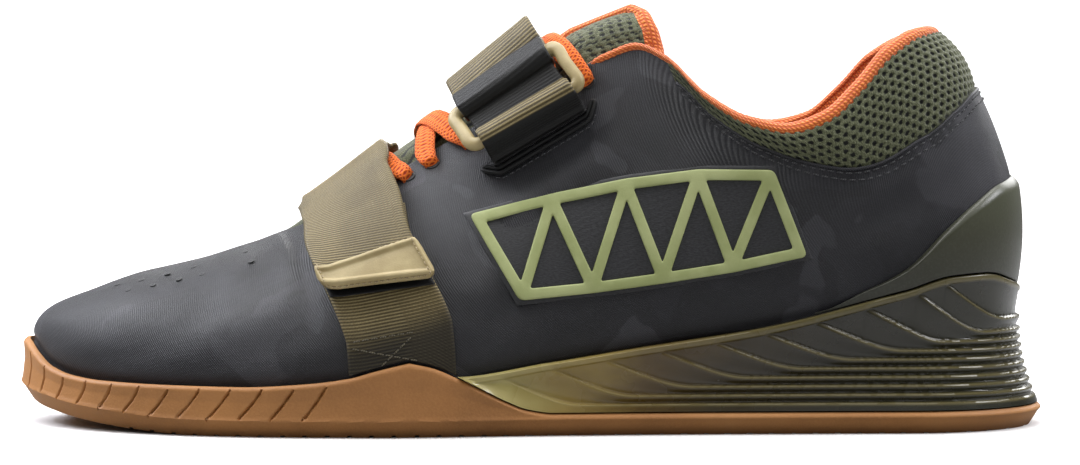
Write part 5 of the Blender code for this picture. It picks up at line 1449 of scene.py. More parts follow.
def build_wedge(finishes):
    """Heel wedge with its swept ribs, its cup round the upper and the bed inside."""
    made = Shape()
    steps = np.linspace(turn(WEDGE_TIP), 1.0, WEDGE_STEPS)
    starts = [s for s in RIB_STATIONS if s > turn(WEDGE_TIP)]
    steps = np.array(sorted(set(np.round(np.concatenate((steps, starts, [FLOOR_START])), 7))))
    steps[0] = turn(WEDGE_TIP)
    rows = {}
    for side in SIDES:
        outer, inner, crest_highlights = [], [], []
        for s in steps:
            plan, out = outline(side, s), outward(side, s)
            seat, top = gum_line(s) + FIT_GAP, wedge_line(s)
            foot = bed_height(s) if s >= FLOOR_START - 1e-6 else seat
            column, crest = wedge_column(side, s, WEDGE_ROWS)
            outer.append(column)
            crest_highlights.append(crest)
            column = []
            for h in np.linspace(top, foot, CUP_ROWS):
                column.append((*(plan - out * cup_inset(side, s, h)), h))
            column.append((column[-1][0], column[-1][1], seat))
            inner.append(column)
        outer, inner = np.array(outer), np.array(inner)
        ring = np.concatenate((outer, inner, outer[:, :1]), axis=1)
        crest_highlights = np.concatenate((np.array(crest_highlights), np.zeros(inner.shape[:2])), axis=1)
        uv = np.stack((lengths(ring, 0), lengths(ring, 1)), axis=-1)
        index = made.tube(ring[:, :-1], uv, (0,), crest=crest_highlights)
        floor = WEDGE_ROWS + CUP_ROWS
        rows[side] = index[:, floor - 1], index[:, floor]
    for level in (0, 1):
        one, other = rows[LATERAL][level], rows[MEDIAL][level]
        for i in range(len(steps) - 1):
            if steps[i] >= FLOOR_START - 1e-6:
                made.face([one[i], one[i + 1], other[i + 1], other[i]])
    first = int(np.argmax(steps >= FLOOR_START - 1e-6))
    (low, high), (other_low, other_high) = rows[LATERAL], rows[MEDIAL]
    made.face([low[first], high[first], other_high[first], other_low[first]])
    finish_piece(made.build("wedge_block", [finishes["wedge_tpu"]], sharp=50), "wedge_tpu", "heel_wedge")


COUNTER_STATIONS = 90
COUNTER_FINE = 26
COUNTER_START = 0.772


def build_counter(finishes):
    """Heel counter: a smooth moulded shell with a thin round edge."""
    stations = np.linspace(turn(COUNTER_START), 1.0, COUNTER_STATIONS)
    made = Shape()
    for side in SIDES:
        rings = []
        for n, station in enumerate(stations):
            foot = share_at_height(side, station, wedge_line(station) + FIT_GAP)
            ways = np.linspace(0.0, 1.0, COUNTER_FINE)
            tall = max(foot + 0.02, COUNTER_SHARE(station)) - foot
            shares = foot + max(0.006, tall * ease(n, 0, 12)) * ways
            round_edge = np.sqrt(ease(1 - ways, -0.002, 0.10)) * (0.05 + 0.95 * ease(n, 0, 26))
            lifts = FIT_GAP + COUNTER_WALL * (0.10 + 0.90 * round_edge)
            outer = [shell_point(side, station, s, lift) for s, lift in zip(shares, lifts)]
            inner = [shell_point(side, station, s, FIT_GAP) for s in shares[::5]]
            outer[0][2] = inner[0][2]
            rings.append(outer + inner[::-1])
        made.tube(rings, ends=(0,))
    finish_piece(made.build("counter_shell", [finishes["counter_tpu"]]), "counter_tpu", "heel_counter")


# The sole's side: its bead and rounded lip, half a groove's width and how it bows, and
# the half width of a cut in the tread.
BEAD = 0.00025
BEAD_WIDTH = 0.0005
LIP_ROUND = 0.0009
LIP_REACH = 0.0012
GROOVE_HALF = 0.00048
GROOVE_BOW = 0.0012
TREAD_CUT = (0.0003, 0.0006)
WALL_ROWS = 30
UNDER_COLUMNS = 10


def sole_wall(station, rows):
    """Insets and heights up the sole's side: bevel, bead, waist and rounded lip."""
    ground, top = TOE_SPRING * SPRING_LIFT(station), gum_line(station)
    waist = SOLE_WAIST * min(1.0, max(0.0, (top / HEEL_PLATE - 1.15)))
    bevel = ground + SOLE_BEVEL_HEIGHT
    marks = (ground, ground + 0.72 * SOLE_BEVEL_HEIGHT, ground + 0.95 * SOLE_BEVEL_HEIGHT,
             0.45 * bevel + 0.55 * top, top - 0.0004)
    height = ground + (top - ground) * np.linspace(0.0, 1.0, rows)
    inset = np.interp(height, marks, (SOLE_BEVEL, 0.25 * SOLE_BEVEL, 0.0, waist, 0.6 * waist))
    inset -= BEAD * bell(height - bevel, BEAD_WIDTH)
    inset += LIP_ROUND * ease(height, top - LIP_REACH, top) ** 2
    return inset, height


def groove_cut(run, groove_runs, height, low, high):
    """Depth of the slanted grooves at places along and up the sole's side."""
    depth = np.zeros(len(height))
    way = (height - low) / (high - low)
    for i, middle in enumerate(groove_runs):
        lean = GROOVE_LEAN * min(1.0, 0.05 + 0.14 * i)
        off = run - middle - lean * (way - 0.5) - GROOVE_BOW * (0.25 - (way - 0.5) ** 2)
        half = GROOVE_HALF * ease(np.minimum(way, 1 - way), -0.01, 0.15) + 1e-5
        cut = 1 - ease(np.abs(off), 0.35 * half, half)
        depth = np.maximum(depth, cut * (np.abs(way - 0.5) < 0.5))
    return GROOVE_DEPTH * depth


def build_outsole(finishes):
    """Gum sole with slanted side grooves, a bead above its bevel and cut cross treads."""
    grooved = np.linspace(0.02, turn(GROOVE_FIRST + 0.40), 420)
    toe, rest = np.linspace(0.0, 0.02, 12)[:-1], np.linspace(grooved[-1], 1.0, 330)[1:]
    stations = np.concatenate((toe, grooved, rest))
    sides = []
    for side in SIDES:
        plans = np.array([outline(side, s) for s in stations])
        outs = np.array([outward(side, s) for s in stations])
        runs = lengths(plans, 0)
        first_run = np.interp(turn(GROOVE_FIRST), stations, runs)
        groove_runs = [first_run + (i - 2) * GROOVE_PITCH * 1.02 for i in range(GROOVE_COUNT + 1)]
        columns = []
        for station, plan, out, run in zip(stations, plans, outs, runs):
            inset, height = sole_wall(station, WALL_ROWS)
            top = gum_line(station)
            low = TOE_SPRING * SPRING_LIFT(station) + SOLE_BEVEL_HEIGHT * 0.9
            if run < groove_runs[-1] + GROOVE_LEAN:
                inset = inset + groove_cut(run, groove_runs, height, low, top - 0.25 * GROOVE_RIM)
            floor = min(bed_height(station), top)
            rim = cup_inset(side, station, top) if top > floor else MARGIN_INSET(station) * BALL_WIDTH
            inset = np.concatenate((inset, (rim, rim + 0.0002)))
            height = np.concatenate((height, (top, floor)))
            columns.append(np.concatenate((plan - out * inset[:, None], height[:, None]), axis=1))
        sides.append(np.array(columns))
    lateral, medial = sides
    ways = np.linspace(0.0, 1.0, UNDER_COLUMNS + 2)[None, 1:-1, None]
    under = medial[:, None, 0] * (1 - ways) + lateral[:, None, 0] * ways
    ring = np.concatenate((lateral, medial[:, ::-1], under), axis=1)
    pitch = TREAD_PITCH / 2
    off = np.abs(ring[..., 0] - np.round(ring[..., 0] / pitch) * pitch)
    cut = (1 - ease(off, *TREAD_CUT)) * ease(ring[..., 0], x_at(0.10), x_at(0.12))
    low = np.zeros(ring.shape[:2])
    low[:, 0] = 1.0
    low[:, 2 * WALL_ROWS + 3:] = 1.0
    ring[..., 2] += TREAD_DEPTH * 0.8 * cut * low * ease(x_at(0.985) - ring[..., 0], 0.0, 0.004)
    made = Shape()
    made.tube(ring)
    finish_piece(made.build("gum_sole", [finishes["gum_rubber"]], sharp=50), "gum_rubber", "outsole")


class Instep:
    """The surface over the instep as a grid of stations and places, with its normals."""

    def __init__(self, first, last):
        self.first, self.last = first, last
        self.places = np.linspace(-0.095, 0.125, 551)
        count = INSTEP_STATIONS
        domes = [Dome(s) for s in np.linspace(first, last, count)]
        columns = [[np.interp(self.places, d.run, d.line[:, k]) for k in range(3)] for d in domes]
        self.grid = np.array(columns).transpose(0, 2, 1)
        self.gaps = np.array([d.gap for d in domes])
        step = int(round(0.0035 / (self.places[1] - self.places[0])))
        over = np.roll(self.grid, -step, axis=1) - np.roll(self.grid, step, axis=1)
        over[:, :step], over[:, -step:] = over[:, step:step + 1], over[:, -step - 1:-step]
        reach = max(1, int(round(0.008 / ((last - first) / (count - 1)))))
        back = np.empty_like(self.grid)
        for i in range(count):
            low, high = max(0, i - reach), min(count - 1, i + reach)
            back[i] = (self.grid[high] - self.grid[low]) * 2 * reach / (high - low)
        self.normals = unit(np.cross(back, over))

    def look(self, grid, station, at):
        station, at = np.broadcast_arrays(np.asarray(station, float), np.asarray(at, float))
        row = (station - self.first) / (self.last - self.first) * (len(grid) - 1)
        column = (at - self.places[0]) / (self.places[1] - self.places[0])
        i = np.clip(row.astype(int), 0, len(grid) - 2)
        j = np.clip(column.astype(int), 0, len(self.places) - 2)
        u, v = (row - i)[..., None], np.clip(column - j, 0.0, 1.0)[..., None]
        low = grid[i, j] * (1 - u) + grid[i + 1, j] * u
        high = grid[i, j + 1] * (1 - u) + grid[i + 1, j + 1] * u
        return low * (1 - v) + high * v

    def surface(self, station, at):
        return self.look(self.grid, station, at)

    def gap(self, station):
        way = (station - self.first) / (self.last - self.first) * (len(self.gaps) - 1)
        return np.interp(way, np.arange(len(self.gaps)), self.gaps)

    def point(self, station, at, lift):
        """Point a distance off the surface."""
        normal = unit(self.look(self.normals, station, at))
        return self.surface(station, at) + normal * np.asarray(lift, float)[..., None]

    def across(self, station, at, distance):
        """Station that lies a distance further along the shoe, at one place."""
        back = self.surface(station + 0.004, at) - self.surface(station - 0.004, at)
        return station + distance * 0.008 / np.linalg.norm(back, axis=-1)

    def place_at_height(self, station, height, side):
        """Place on one side where the surface is at a height."""
        low, high = (-0.085, 0.0) if side == LATERAL else (0.115, 0.0)
        for _ in range(26):
            middle = 0.5 * (low + high)
            if self.surface(station, middle)[2] < height:
                low = middle
            else:
                high = middle
        return low

    def row_foot(self, centre, distance, height, side, drift):
        """Place of a strap's row where it reaches a height, which varies by station."""
        at = -0.030 if side == LATERAL else self.gap(centre) + 0.030
        for _ in range(6):
            station = self.across(centre, at, distance + drift(at))
            at = self.place_at_height(station, height(station), side)
        return at


# Webbing: rows across, the pitch and depth of its ribs, its steps along, its selvage.
RIBBON_ROWS = 27
WEB_PITCH = 0.00092
WEB_RELIEF = 0.00013
WEB_STEP = 0.00023
SELVAGE = 0.00012


def resample(line, step):
    """Evenly spaced points along a line of (place, lift) points."""
    line = np.array(line, float)
    run = lengths(line, 0)
    count = max(4, int(math.ceil(run[-1] / step)) + 1)
    at = np.linspace(0.0, run[-1], count)
    return np.stack([np.interp(at, run, line[:, k]) for k in range(2)], axis=-1)


def web(name, finish, instep, centre, width, path, thickness, drift=straight, dark=None, ribbed=True):
    """A webbing strap with ribs across it and firm edges, on the same path as its solid."""
    ways = np.linspace(-1.0, 1.0, RIBBON_ROWS)
    ways = np.sign(ways) * (1 - (1 - np.abs(ways)) ** 1.25)
    lines = [resample(path(0.5 * w * width), WEB_STEP) for w in ways]
    count = int(np.median([len(line) for line in lines]))
    near_side, far_side, marks, runs, masks = [], [], [], [], []
    for way, line in zip(ways, lines):
        pick = np.linspace(0, len(line) - 1, count)
        line = np.stack([np.interp(pick, np.arange(len(line)), line[:, k]) for k in range(2)], axis=-1)
        tangent = np.gradient(line, axis=0)
        normal = unit(np.stack((-tangent[:, 1], tangent[:, 0]), axis=-1))
        run = lengths(line, 0)
        if dark:
            run = run - run[-1]
        ribs = 0.5 - 0.5 * np.cos(2 * np.pi * run / WEB_PITCH) if ribbed else np.zeros(count)
        edge = ease(1 - abs(way), 0.0, 0.055)
        selvage = SELVAGE * bell(abs(way) - 0.93, 0.04)
        half = thickness / 2 * (0.55 + 0.45 * edge) + WEB_RELIEF * (ribs - 1) * edge + selvage
        drifts = np.array([drift(a) for a in line[:, 0]])
        stations = instep.across(centre, line[:, 0], 0.5 * way * width + drifts)
        for keep, sign in ((near_side, -1), (far_side, 1)):
            spot = line + sign * normal * half[:, None]
            keep.append(instep.point(stations, spot[:, 0], spot[:, 1]))
        marks.append(ribs)
        runs.append(run)
        level = leant(line[:, 0], -0.5 * way * width)
        masks.append(dark(level) if dark else np.zeros(count))
    near_side, far_side = np.array(near_side), np.array(far_side)
    made = Shape()
    ribs = np.array(marks)
    mask = np.array(masks)
    over = made.add(far_side, rib=ribs, dark=mask)
    under = made.add(near_side, rib=ribs, dark=mask)
    uv = np.stack((np.array(runs), np.repeat(ways[:, None] * width / 2, count, axis=1)), axis=-1)
    made.slab(over, under, uv)
    return made.build(name, [finish])


# The forefoot strap's end: its lean, how far it lies below its nominal height, and the
# shade it throws on the base: how strong, from how far below and how long.
STRAP_END_LEAN = 0.0042
STRAP_END_LOWER = 0.0012
BASE_SHADE = 0.85
BASE_SHADE_FROM = 0.0085
BASE_SHADE_LENGTH = 0.010

# The crossed seams that hold the strap's base: places along and up of both ends.
BASE_SEAMS = (
    (-0.0492, 0.0245, -0.0311, 0.0214), (-0.0328, 0.0278, -0.0411, 0.0198),
    (-0.0490, 0.0262, -0.0322, 0.0290),
)


def build_lower_strap(instep, flank, finishes):
    centre = turn(LOWER_STRAP_ALONG)
    gap = float(instep.gap(centre))

    def sole_rim(station):
        return gum_line(station) + FIT_GAP * 2

    def strap_end(station):
        way = (along_of(station) - LOWER_STRAP_ALONG) * LENGTH / WEBBING_WIDTH
        return STRAP_END_HEIGHT - STRAP_END_LOWER + STRAP_END_LEAN * min(0.5, max(-0.5, way))

    base_lift = FIT_GAP + HALF_WEBBING
    pad_lift = base_lift + HALF_WEBBING + FIT_GAP + HOOK_PAD / 2
    strap_lift = pad_lift + HOOK_PAD / 2 + FIT_GAP + HALF_WEBBING

    def base(distance):
        foot = instep.row_foot(centre, distance, sole_rim, LATERAL, wander)
        return spread(foot, BASE_END, 60, lambda at: base_lift)

    def pad(distance):
        end = instep.row_foot(centre, distance, strap_end, LATERAL, wander)
        return spread(end - HOOK_PAD_SHOWS, BASE_END, 40, lambda at: pad_lift)

    def strap(distance):
        end = instep.row_foot(centre, distance, strap_end, LATERAL, wander)
        foot = instep.row_foot(centre, distance, sole_rim, MEDIAL, wander)
        high = LACE_TOP + 2 * FIT_GAP + HALF_WEBBING

        def lift(at):
            low = strap_lift if at < gap / 2 else base_lift
            return over_throat(at, gap, low, max(low, high))

        return spread(end, foot, 120, lift)

    khaki, dark = finishes["khaki"], finishes["dark_webbing"]
    shape = (instep, centre)
    end = float(instep.row_foot(centre, 0.0, strap_end, LATERAL, wander))

    def shaded(at):
        return BASE_SHADE * ease(end - BASE_SHADE_FROM - at, 0.0, BASE_SHADE_LENGTH)

    piece = web("webbing_base", khaki, *shape, WEBBING_WIDTH, base, WEBBING_THICKNESS, wander, shaded)
    finish_piece(piece, "webbing", "strap_base")
    width = WEBBING_WIDTH - FIT_GAP * 2
    piece = web("hook_tape", dark, *shape, width, pad, HOOK_PAD, wander, ribbed=False)
    finish_piece(piece, "dark_webbing", "hook_pad")
    piece = web("webbing_lower", khaki, *shape, WEBBING_WIDTH, strap, WEBBING_THICKNESS, wander)
    finish_piece(piece, "webbing", "strap_lower")
    build_tab(instep, centre, strap_end, strap_lift + HALF_WEBBING + FIT_GAP, finishes)
    thread = Shape()
    for x1, z1, x2, z2 in BASE_SEAMS:
        ways = np.linspace(0.0, 1.0, 24)
        spots = [flank.at(x1 + (x2 - x1) * w, z1 + (z2 - z1) * w, FIT_GAP + WEBBING_THICKNESS) for w in ways]
        spots = np.array(spots)
        normal = np.array([flank.at(*s[[0, 2]], 0.001) - flank.at(*s[[0, 2]], 0.0) for s in spots]) / 0.001
        sew(thread, spots, normal, *STITCHES["base"])
    finish_piece(thread.build("strap_stitches", [finishes["khaki_thread"]]), "webbing")


def build_tab(instep, centre, strap_end, lift, finishes):
    """Moulded pull tab: round corners, a raised rim and a sunken face."""
    columns, rows = 72, 44
    ways = np.linspace(0.0, 1.0, columns)
    places = np.zeros((columns, rows, 3))
    low_side = np.zeros((columns, rows, 3))
    uv = np.zeros((columns, rows, 2))
    for i, way in enumerate(ways):
        distance = (way - 0.5) * TAB_WIDTH
        low = instep.row_foot(centre, distance, strap_end, LATERAL, wander) - TAB_OVERHANG
        height = TAB_HEIGHT * (TAB_TAPER + (1 - TAB_TAPER) * way)
        end = min(way, 1 - way) * TAB_WIDTH
        inset = TAB_CORNER - math.sqrt(max(0.0, TAB_CORNER**2 - max(0.0, TAB_CORNER - end) ** 2))
        inset = min(inset, height * 0.48)
        cross = np.linspace(0.0, 1.0, rows)
        cross = 0.5 - 0.5 * np.cos(np.pi * cross)
        at = low + inset + (height - 2 * inset) * cross
        off = np.minimum(np.minimum(at - low, low + height - at), end)
        rim = ease(off, 0.0, 0.0007) * 0.75 + 0.25
        sunk = ease(off, TAB_RIM * 0.62, TAB_RIM * 0.92)
        up = TAB_THICKNESS * (rim - TAB_RECESS * sunk + 0.05 * bell(off - 0.0012, 0.0007))
        drift = np.array([wander(a) for a in at])
        station = instep.across(centre, at, distance + drift)
        places[i] = instep.point(station, at, lift + up)
        low_side[i] = instep.point(station, at, np.full(rows, lift))
        uv[i] = np.stack((np.full(rows, distance), at), axis=-1)
    made = Shape()
    over, under = made.add(places), made.add(low_side)
    made.slab(over, under, uv)
    piece = made.build("pull_tab", [finishes["beige"]])
    finish_piece(piece, "beige_plastic", "strap_tab")
    thread = Shape()
    ring = [(i, 5) for i in range(4, columns - 4)]
    ring += [(columns - 5, k) for k in range(6, rows - 6)]
    ring += [(i, rows - 6) for i in range(columns - 5, 3, -1)]
    ring += [(4, k) for k in range(rows - 7, 5, -1)]
    path = np.array([places[i, k] for i, k in ring])
    normal = grid_normals(places)
    normal = np.array([normal[i, k] for i, k in ring])
    if np.mean(normal[:, 1]) > 0:
        normal = -normal
    sew(thread, path + normal * 0.00005, normal, *STITCHES["tab"])
    finish_piece(thread.build("tab_stitches", [finishes["tan_thread"]]), "beige_plastic")


def sew(made, path, normal, pitch, length, radius):
    """Stitches along a path: short bowed threads that dip into the surface at their ends."""
    run = lengths(path, 0)
    count = int(run[-1] / pitch)
    for n in range(count):
        start = (n + 0.5) * run[-1] / count - length / 2
        at = start + np.linspace(0.0, length, 6)
        middle = np.stack([np.interp(at, run, path[:, k]) for k in range(3)], axis=-1)
        out = unit(np.stack([np.interp(at, run, normal[:, k]) for k in range(3)], axis=-1))
        bow = np.array((-0.9, 0.35, 1.0, 1.0, 0.35, -0.9)) * radius + THREAD_SLACK
        middle = middle + out * bow[:, None]
        size = radius * np.array((0.5, 0.95, 1.0, 1.0, 0.95, 0.5))
        cord(made, middle, size, out, 6)


def cord(made, middle, radius, out, sides, closed=False, flat=1.0):
    """A tube along points, with its own radius at each, wider across than deep if flat < 1."""
    middle, out = np.asarray(middle), np.asarray(out)
    tangent = np.gradient(middle, axis=0)
    if closed:
        tangent = np.roll(middle, -1, axis=0) - np.roll(middle, 1, axis=0)
    tangent = unit(tangent)
    across = unit(np.cross(tangent, out))
    up = np.cross(across, tangent)
    radius = np.broadcast_to(radius, (len(middle),))
    angle = np.linspace(0.0, 2 * np.pi, sides, endpoint=False)
    ring = across[:, None] * np.cos(angle)[None, :, None]
    ring = ring + up[:, None] * (flat * np.sin(angle))[None, :, None]
    places = middle[:, None] + ring * radius[:, None, None]
    index = made.add(places)
    wrapped_index = np.concatenate((index, index[:, :1]), axis=1)
    run = lengths(middle, 0)
    around = np.linspace(0.0, 2 * np.pi * float(np.mean(radius)), sides + 1)
    uv = np.stack(np.meshgrid(run, around, indexing="ij"), axis=-1)
    if closed:
        wrapped_index = np.concatenate((wrapped_index, wrapped_index[:1]))
        uv = np.concatenate((uv, uv[-1:] + (0.001, 0.0)))
    made.sheet(wrapped_index, uv)
    if not closed:
        made.cap(index[0][::-1])
        made.cap(index[-1])
    return places


# At the ring: where the strap's fold and the flap turn near-black as painted shade under the ring's upper
# bar, where the anchor's loop turns dark, how sharply, and the clearances of the fold and the flap.
FOLD_SHADE = 0.0045
FLAP_SHADE = 0.0040
ANCHOR_DARK = 0.0014
DARK_EDGE = 0.0005
FOLD_CLEAR = 0.003
FLAP_CLEAR = 0.0012
FLAP_THICKNESS = 0.0009
FLAP_LIFT = 0.0002


def build_upper_strap(instep, finishes):
    centre = turn(UPPER_STRAP_ALONG)
    gap = float(instep.gap(centre))
    high = LACE_TOP + FIT_GAP + HALF_WEBBING

    def first_layer(at):
        return over_throat(max(at, 0.0), gap, FIT_GAP + HALF_WEBBING, high)

    def path(distance):
        loop = FOLD_LIFT * (1 + FOLD_TWIST * 2 * distance / RING_STRAP_WIDTH)

        def second_layer(at):
            way = (at - UPPER_BAR) / FOLD_LENGTH
            hump = loop * math.sin(math.pi * min(1.0, max(0.0, way))) ** 1.3
            rest = first_layer(at) + LAYER
            start = 2 * BAR_REACH - LAYER
            return rest + max(hump, start * (1 - ease(way / 0.5)))

        foot = instep.row_foot(centre, distance, lambda s: STRAP_ANCHOR_HEIGHT, MEDIAL, straight)
        line = spread(foot, UPPER_BAR + FOLD_CLEAR, 90, first_layer)
        for i in range(25):
            angle = math.pi * (0.08 + 0.84 * i / 24)
            line.append((UPPER_BAR - BAR_REACH * math.sin(angle),
                         RING_LIFT - BAR_REACH * math.cos(angle)))
        return line + spread(UPPER_BAR + FOLD_CLEAR, UPPER_BAR + FOLD_LENGTH * 1.5, 60, second_layer)

    # Painted shade: the strap goes near-black round the ring's upper bar.
    def dark(at):
        return ease(UPPER_BAR + FOLD_SHADE - at, 0.0, DARK_EDGE)

    piece = web("webbing_upper", finishes["khaki"], instep, centre, RING_STRAP_WIDTH,
                skewed(path), WEBBING_THICKNESS, dark=dark)
    finish_piece(piece, "webbing", "strap_upper")

    def flap(distance):
        ends = LOWER_BAR + FLAP_CLEAR, UPPER_BAR - FLAP_CLEAR
        return spread(*ends, 30, lambda at: RING_LIFT + FLAP_LIFT)

    # Painted shade: the flap between the bars goes near-black under the upper bar.
    def deep(at):
        return ease(at - LOWER_BAR - FLAP_SHADE, 0.0, 0.8 * DARK_EDGE)

    piece = web("ring_flap", finishes["khaki"], instep, centre, RING_STRAP_WIDTH - FLAP_CLEAR,
                skewed(flap), FLAP_THICKNESS, dark=deep)
    finish_piece(piece, "dark_webbing")
    build_ring(instep, centre, finishes)
    build_anchor(instep, centre, finishes)


def build_ring(instep, centre, finishes):
    """Rectangular moulded ring, rounder and thicker at its two ends."""
    half_long = (RING_INSIDE_LENGTH + RING_BAR) / 2 - RING_CORNER
    half_wide = (RING_INSIDE_WIDTH + RING_BAR) / 2 - RING_CORNER
    line = []
    for right, up, start in ((1, 1, 0), (-1, 1, 90), (-1, -1, 180), (1, -1, 270)):
        for i in range(10):
            angle = math.radians(start + 10 * i)
            line.append((right * half_long + RING_CORNER * math.cos(angle),
                         up * half_wide + RING_CORNER * math.sin(angle)))
        if up == right:
            line += [(right * half_long * (1 - 2 * k / 24), up * (half_wide + RING_CORNER))
                     for k in range(1, 24)]
        else:
            line += [(right * (half_long + RING_CORNER), up * half_wide * (1 - 2 * k / 8))
                     for k in range(1, 8)]
    line = np.array(line)
    normal = np.roll(line, -1, axis=0) - np.roll(line, 1, axis=0)
    normal = unit(np.stack((normal[:, 1], -normal[:, 0]), axis=-1))
    angle = np.linspace(0.0, 2 * np.pi, 20, endpoint=False)
    ends = ease(np.abs(line[:, 0]), half_long * 0.9, half_long + RING_CORNER)
    reach = RING_BAR / 2 * (1 + 0.20 * ends)
    spot = line[:, None] + normal[:, None] * (reach[:, None] * np.cos(angle))[..., None]
    place = leant(RING_AT + spot[..., 1], spot[..., 0])
    station = instep.across(centre, place, spot[..., 0])
    rise = RING_LIFT + (RING_BAR / 2 * (1 + 0.10 * ends))[:, None] * np.sin(angle)[None, :]
    places = instep.point(station, place, rise)
    made = Shape()
    index = made.add(places)
    index = np.concatenate((index, index[:1]))
    index = np.concatenate((index, index[:, :1]), axis=1)
    made.sheet(index, np.zeros((*index.shape, 2)))
    finish_piece(made.build("webbing_ring", [finishes["beige"]]), "beige_plastic", "strap_ring")


WELT_STEPS = 40
WELT_SPREAD = 0.0009
WELT_TURN_UP = 0.0034
WELT_RADIUS = 0.00068


def build_anchor(instep, centre, finishes):
    """Webbing folded round the ring's lower bar, held in a slot with a stitched welt."""
    foot = LOWER_BAR - ANCHOR_LENGTH
    low = FIT_GAP + HALF_WEBBING

    def path(distance):
        line = [(foot, low), (0.5 * (foot + LOWER_BAR), low + 0.15 * (RING_LIFT - BAR_REACH - low))]
        for i in range(40):
            angle = math.radians(-105 + 250 * i / 39)
            line.append((LOWER_BAR + BAR_REACH * math.cos(angle),
                         RING_LIFT + BAR_REACH * math.sin(angle)))
        return line + [(foot + 0.3 * ANCHOR_LENGTH, low + LAYER * 1.6), (foot, low + LAYER)]

    def dark(at):
        return ease(LOWER_BAR - ANCHOR_DARK - at, 0.0, DARK_EDGE)

    piece = web("webbing_anchor", finishes["khaki"], instep, centre, RING_STRAP_WIDTH,
                skewed(path), WEBBING_THICKNESS, dark=dark)
    finish_piece(piece, "webbing", "ring_anchor")
    made, thread = Shape(), Shape()
    middle = foot - 0.0004 - WELT_WIDTH / 2
    half = RING_STRAP_WIDTH / 2 + WELT_WIDTH * 0.7
    line = []
    for sign in (1, -1):
        for k in range(WELT_STEPS):
            line.append((sign * half * (1 - 2 * k / WELT_STEPS), -sign * WELT_SPREAD))
        for k in range(1, 8):
            angle = math.pi * k / 8
            reach = half + 0.0013 * math.sin(angle)
            line.append((-sign * reach, -sign * WELT_SPREAD * math.cos(angle)))
    line = np.array(line)
    place = leant(middle + line[:, 1], line[:, 0])
    place = place + WELT_TURN_UP * ease(np.abs(line[:, 0]), half * 0.80, half * 1.10)
    station = instep.across(centre, place, line[:, 0])
    centreline = instep.point(station, place, np.full(len(line), FIT_GAP + WELT_HEIGHT * 0.25))
    out = instep.look(instep.normals, station, place)
    cord(made, centreline, WELT_RADIUS, out, 10, closed=True, flat=0.9)
    finish_piece(made.build("slot_piping", [finishes["dark_webbing"]]), "dark_webbing", "slot_welt")
    below = place - 0.0016
    station = instep.across(centre, below, line[:, 0])
    path = instep.point(station, below, np.full(len(line), FIT_GAP * 0.6))
    sew(thread, path[:WELT_STEPS], out[:WELT_STEPS], *STITCHES["slot"])
    finish_piece(thread.build("slot_stitches", [finishes["thread"]]), "dark_webbing")


def rim_frame(side, station):
    """Outer and inner edge of the upper's top, and the way up along its rib."""
    outer = rib_point(side, station, 1.0)
    if station in (0.0, 1.0):
        tilt = rib_point(side, station, 1.0) - rib_point(side, station, 0.98)
        normal = unit(np.array((tilt[2], 0.0, -tilt[0])))
    else:
        normal = rib_normal(side, station, 1.0)
    up = outer - rib_point(side, station, 0.97)
    return outer, outer - normal * wall_at(station, 1.0), unit(up), normal


# The collar's roll: where it starts, its sides, how low it sits, how far it reaches
# over the wall, its half height on the eyestay and what the pad adds, and its knit.
ROLL_START = 0.612
ROLL_STATIONS = 230
ROLL_SIDES = 22
ROLL_DROP = 0.0004
ROLL_OVERHANG = 0.00045
ROLL_HALF = 0.0015
ROLL_PAD = 0.0012
ROLL_KNIT = 0.00010
ROLL_KNIT_PITCH = 0.0016


def build_collar_roll(finishes):
    """Knitted roll that binds the top edge from the last eyelets round the collar."""
    stations = np.linspace(turn(ROLL_START), 1.0, ROLL_STATIONS)
    loop = [(MEDIAL, s) for s in stations] + [(LATERAL, s) for s in stations[::-1][1:]]
    rings, share = [], np.linspace(0.0, 2 * np.pi, ROLL_SIDES, endpoint=False)
    for n, (side, station) in enumerate(loop):
        outer, inner, up, normal = rim_frame(side, station)
        pad = collar_share(station)
        middle = 0.5 * (outer + inner) - up * ROLL_DROP
        slim = 0.55 * ease(along_of(station), 0.80, 0.86) * (side == MEDIAL)
        wide = 0.5 * np.linalg.norm(outer - inner) + ROLL_OVERHANG
        tall = (ROLL_HALF + ROLL_PAD * pad) * (1 - slim * ease(1.0 - station, 0.0, 0.03))
        end = min(1.0, 0.25 + 0.1 * min(n, len(loop) - 1 - n))
        turns = np.cos(share)[:, None] * normal * wide + np.sin(share)[:, None] * up * tall
        rings.append(middle + turns * end)
    rings = np.array(rings)
    along = lengths(rings.mean(axis=1), 0)
    around = np.linspace(0.0, 2 * np.pi * 0.0026, ROLL_SIDES + 1)
    knot = np.sin(2 * np.pi * (along[:, None] / ROLL_KNIT_PITCH + share[None, :] / (2 * np.pi) * 2))
    out = unit(rings - rings.mean(axis=1, keepdims=True))
    rings = rings + out * (ROLL_KNIT * knot)[..., None]
    made = Shape()
    made.tube(rings, np.stack(np.meshgrid(along, around, indexing="ij"), axis=-1), (0, -1))
    finish_piece(made.build("collar_roll", [finishes["orange_knit"]]), "insole_cloth")


# The collar's mesh: where it starts, its stations and rows, its lift over the knit, the
# depth of its back, its ridges, and half the length and height of a hole.
MESH_START = 0.700
MESH_STATIONS = 205
MESH_ROWS = 74
MESH_LIFT = 0.00045
MESH_BACK = 0.0012
MESH_RIDGE = 0.00012
MESH_EDGE = 0.0006
HOLE_HALF = (0.00090, 0.00074)


def mesh_rows(station):
    seam = RIB["seam"](station)
    return seam + (0.985 - seam) * np.linspace(0.015, 1.0, MESH_ROWS)


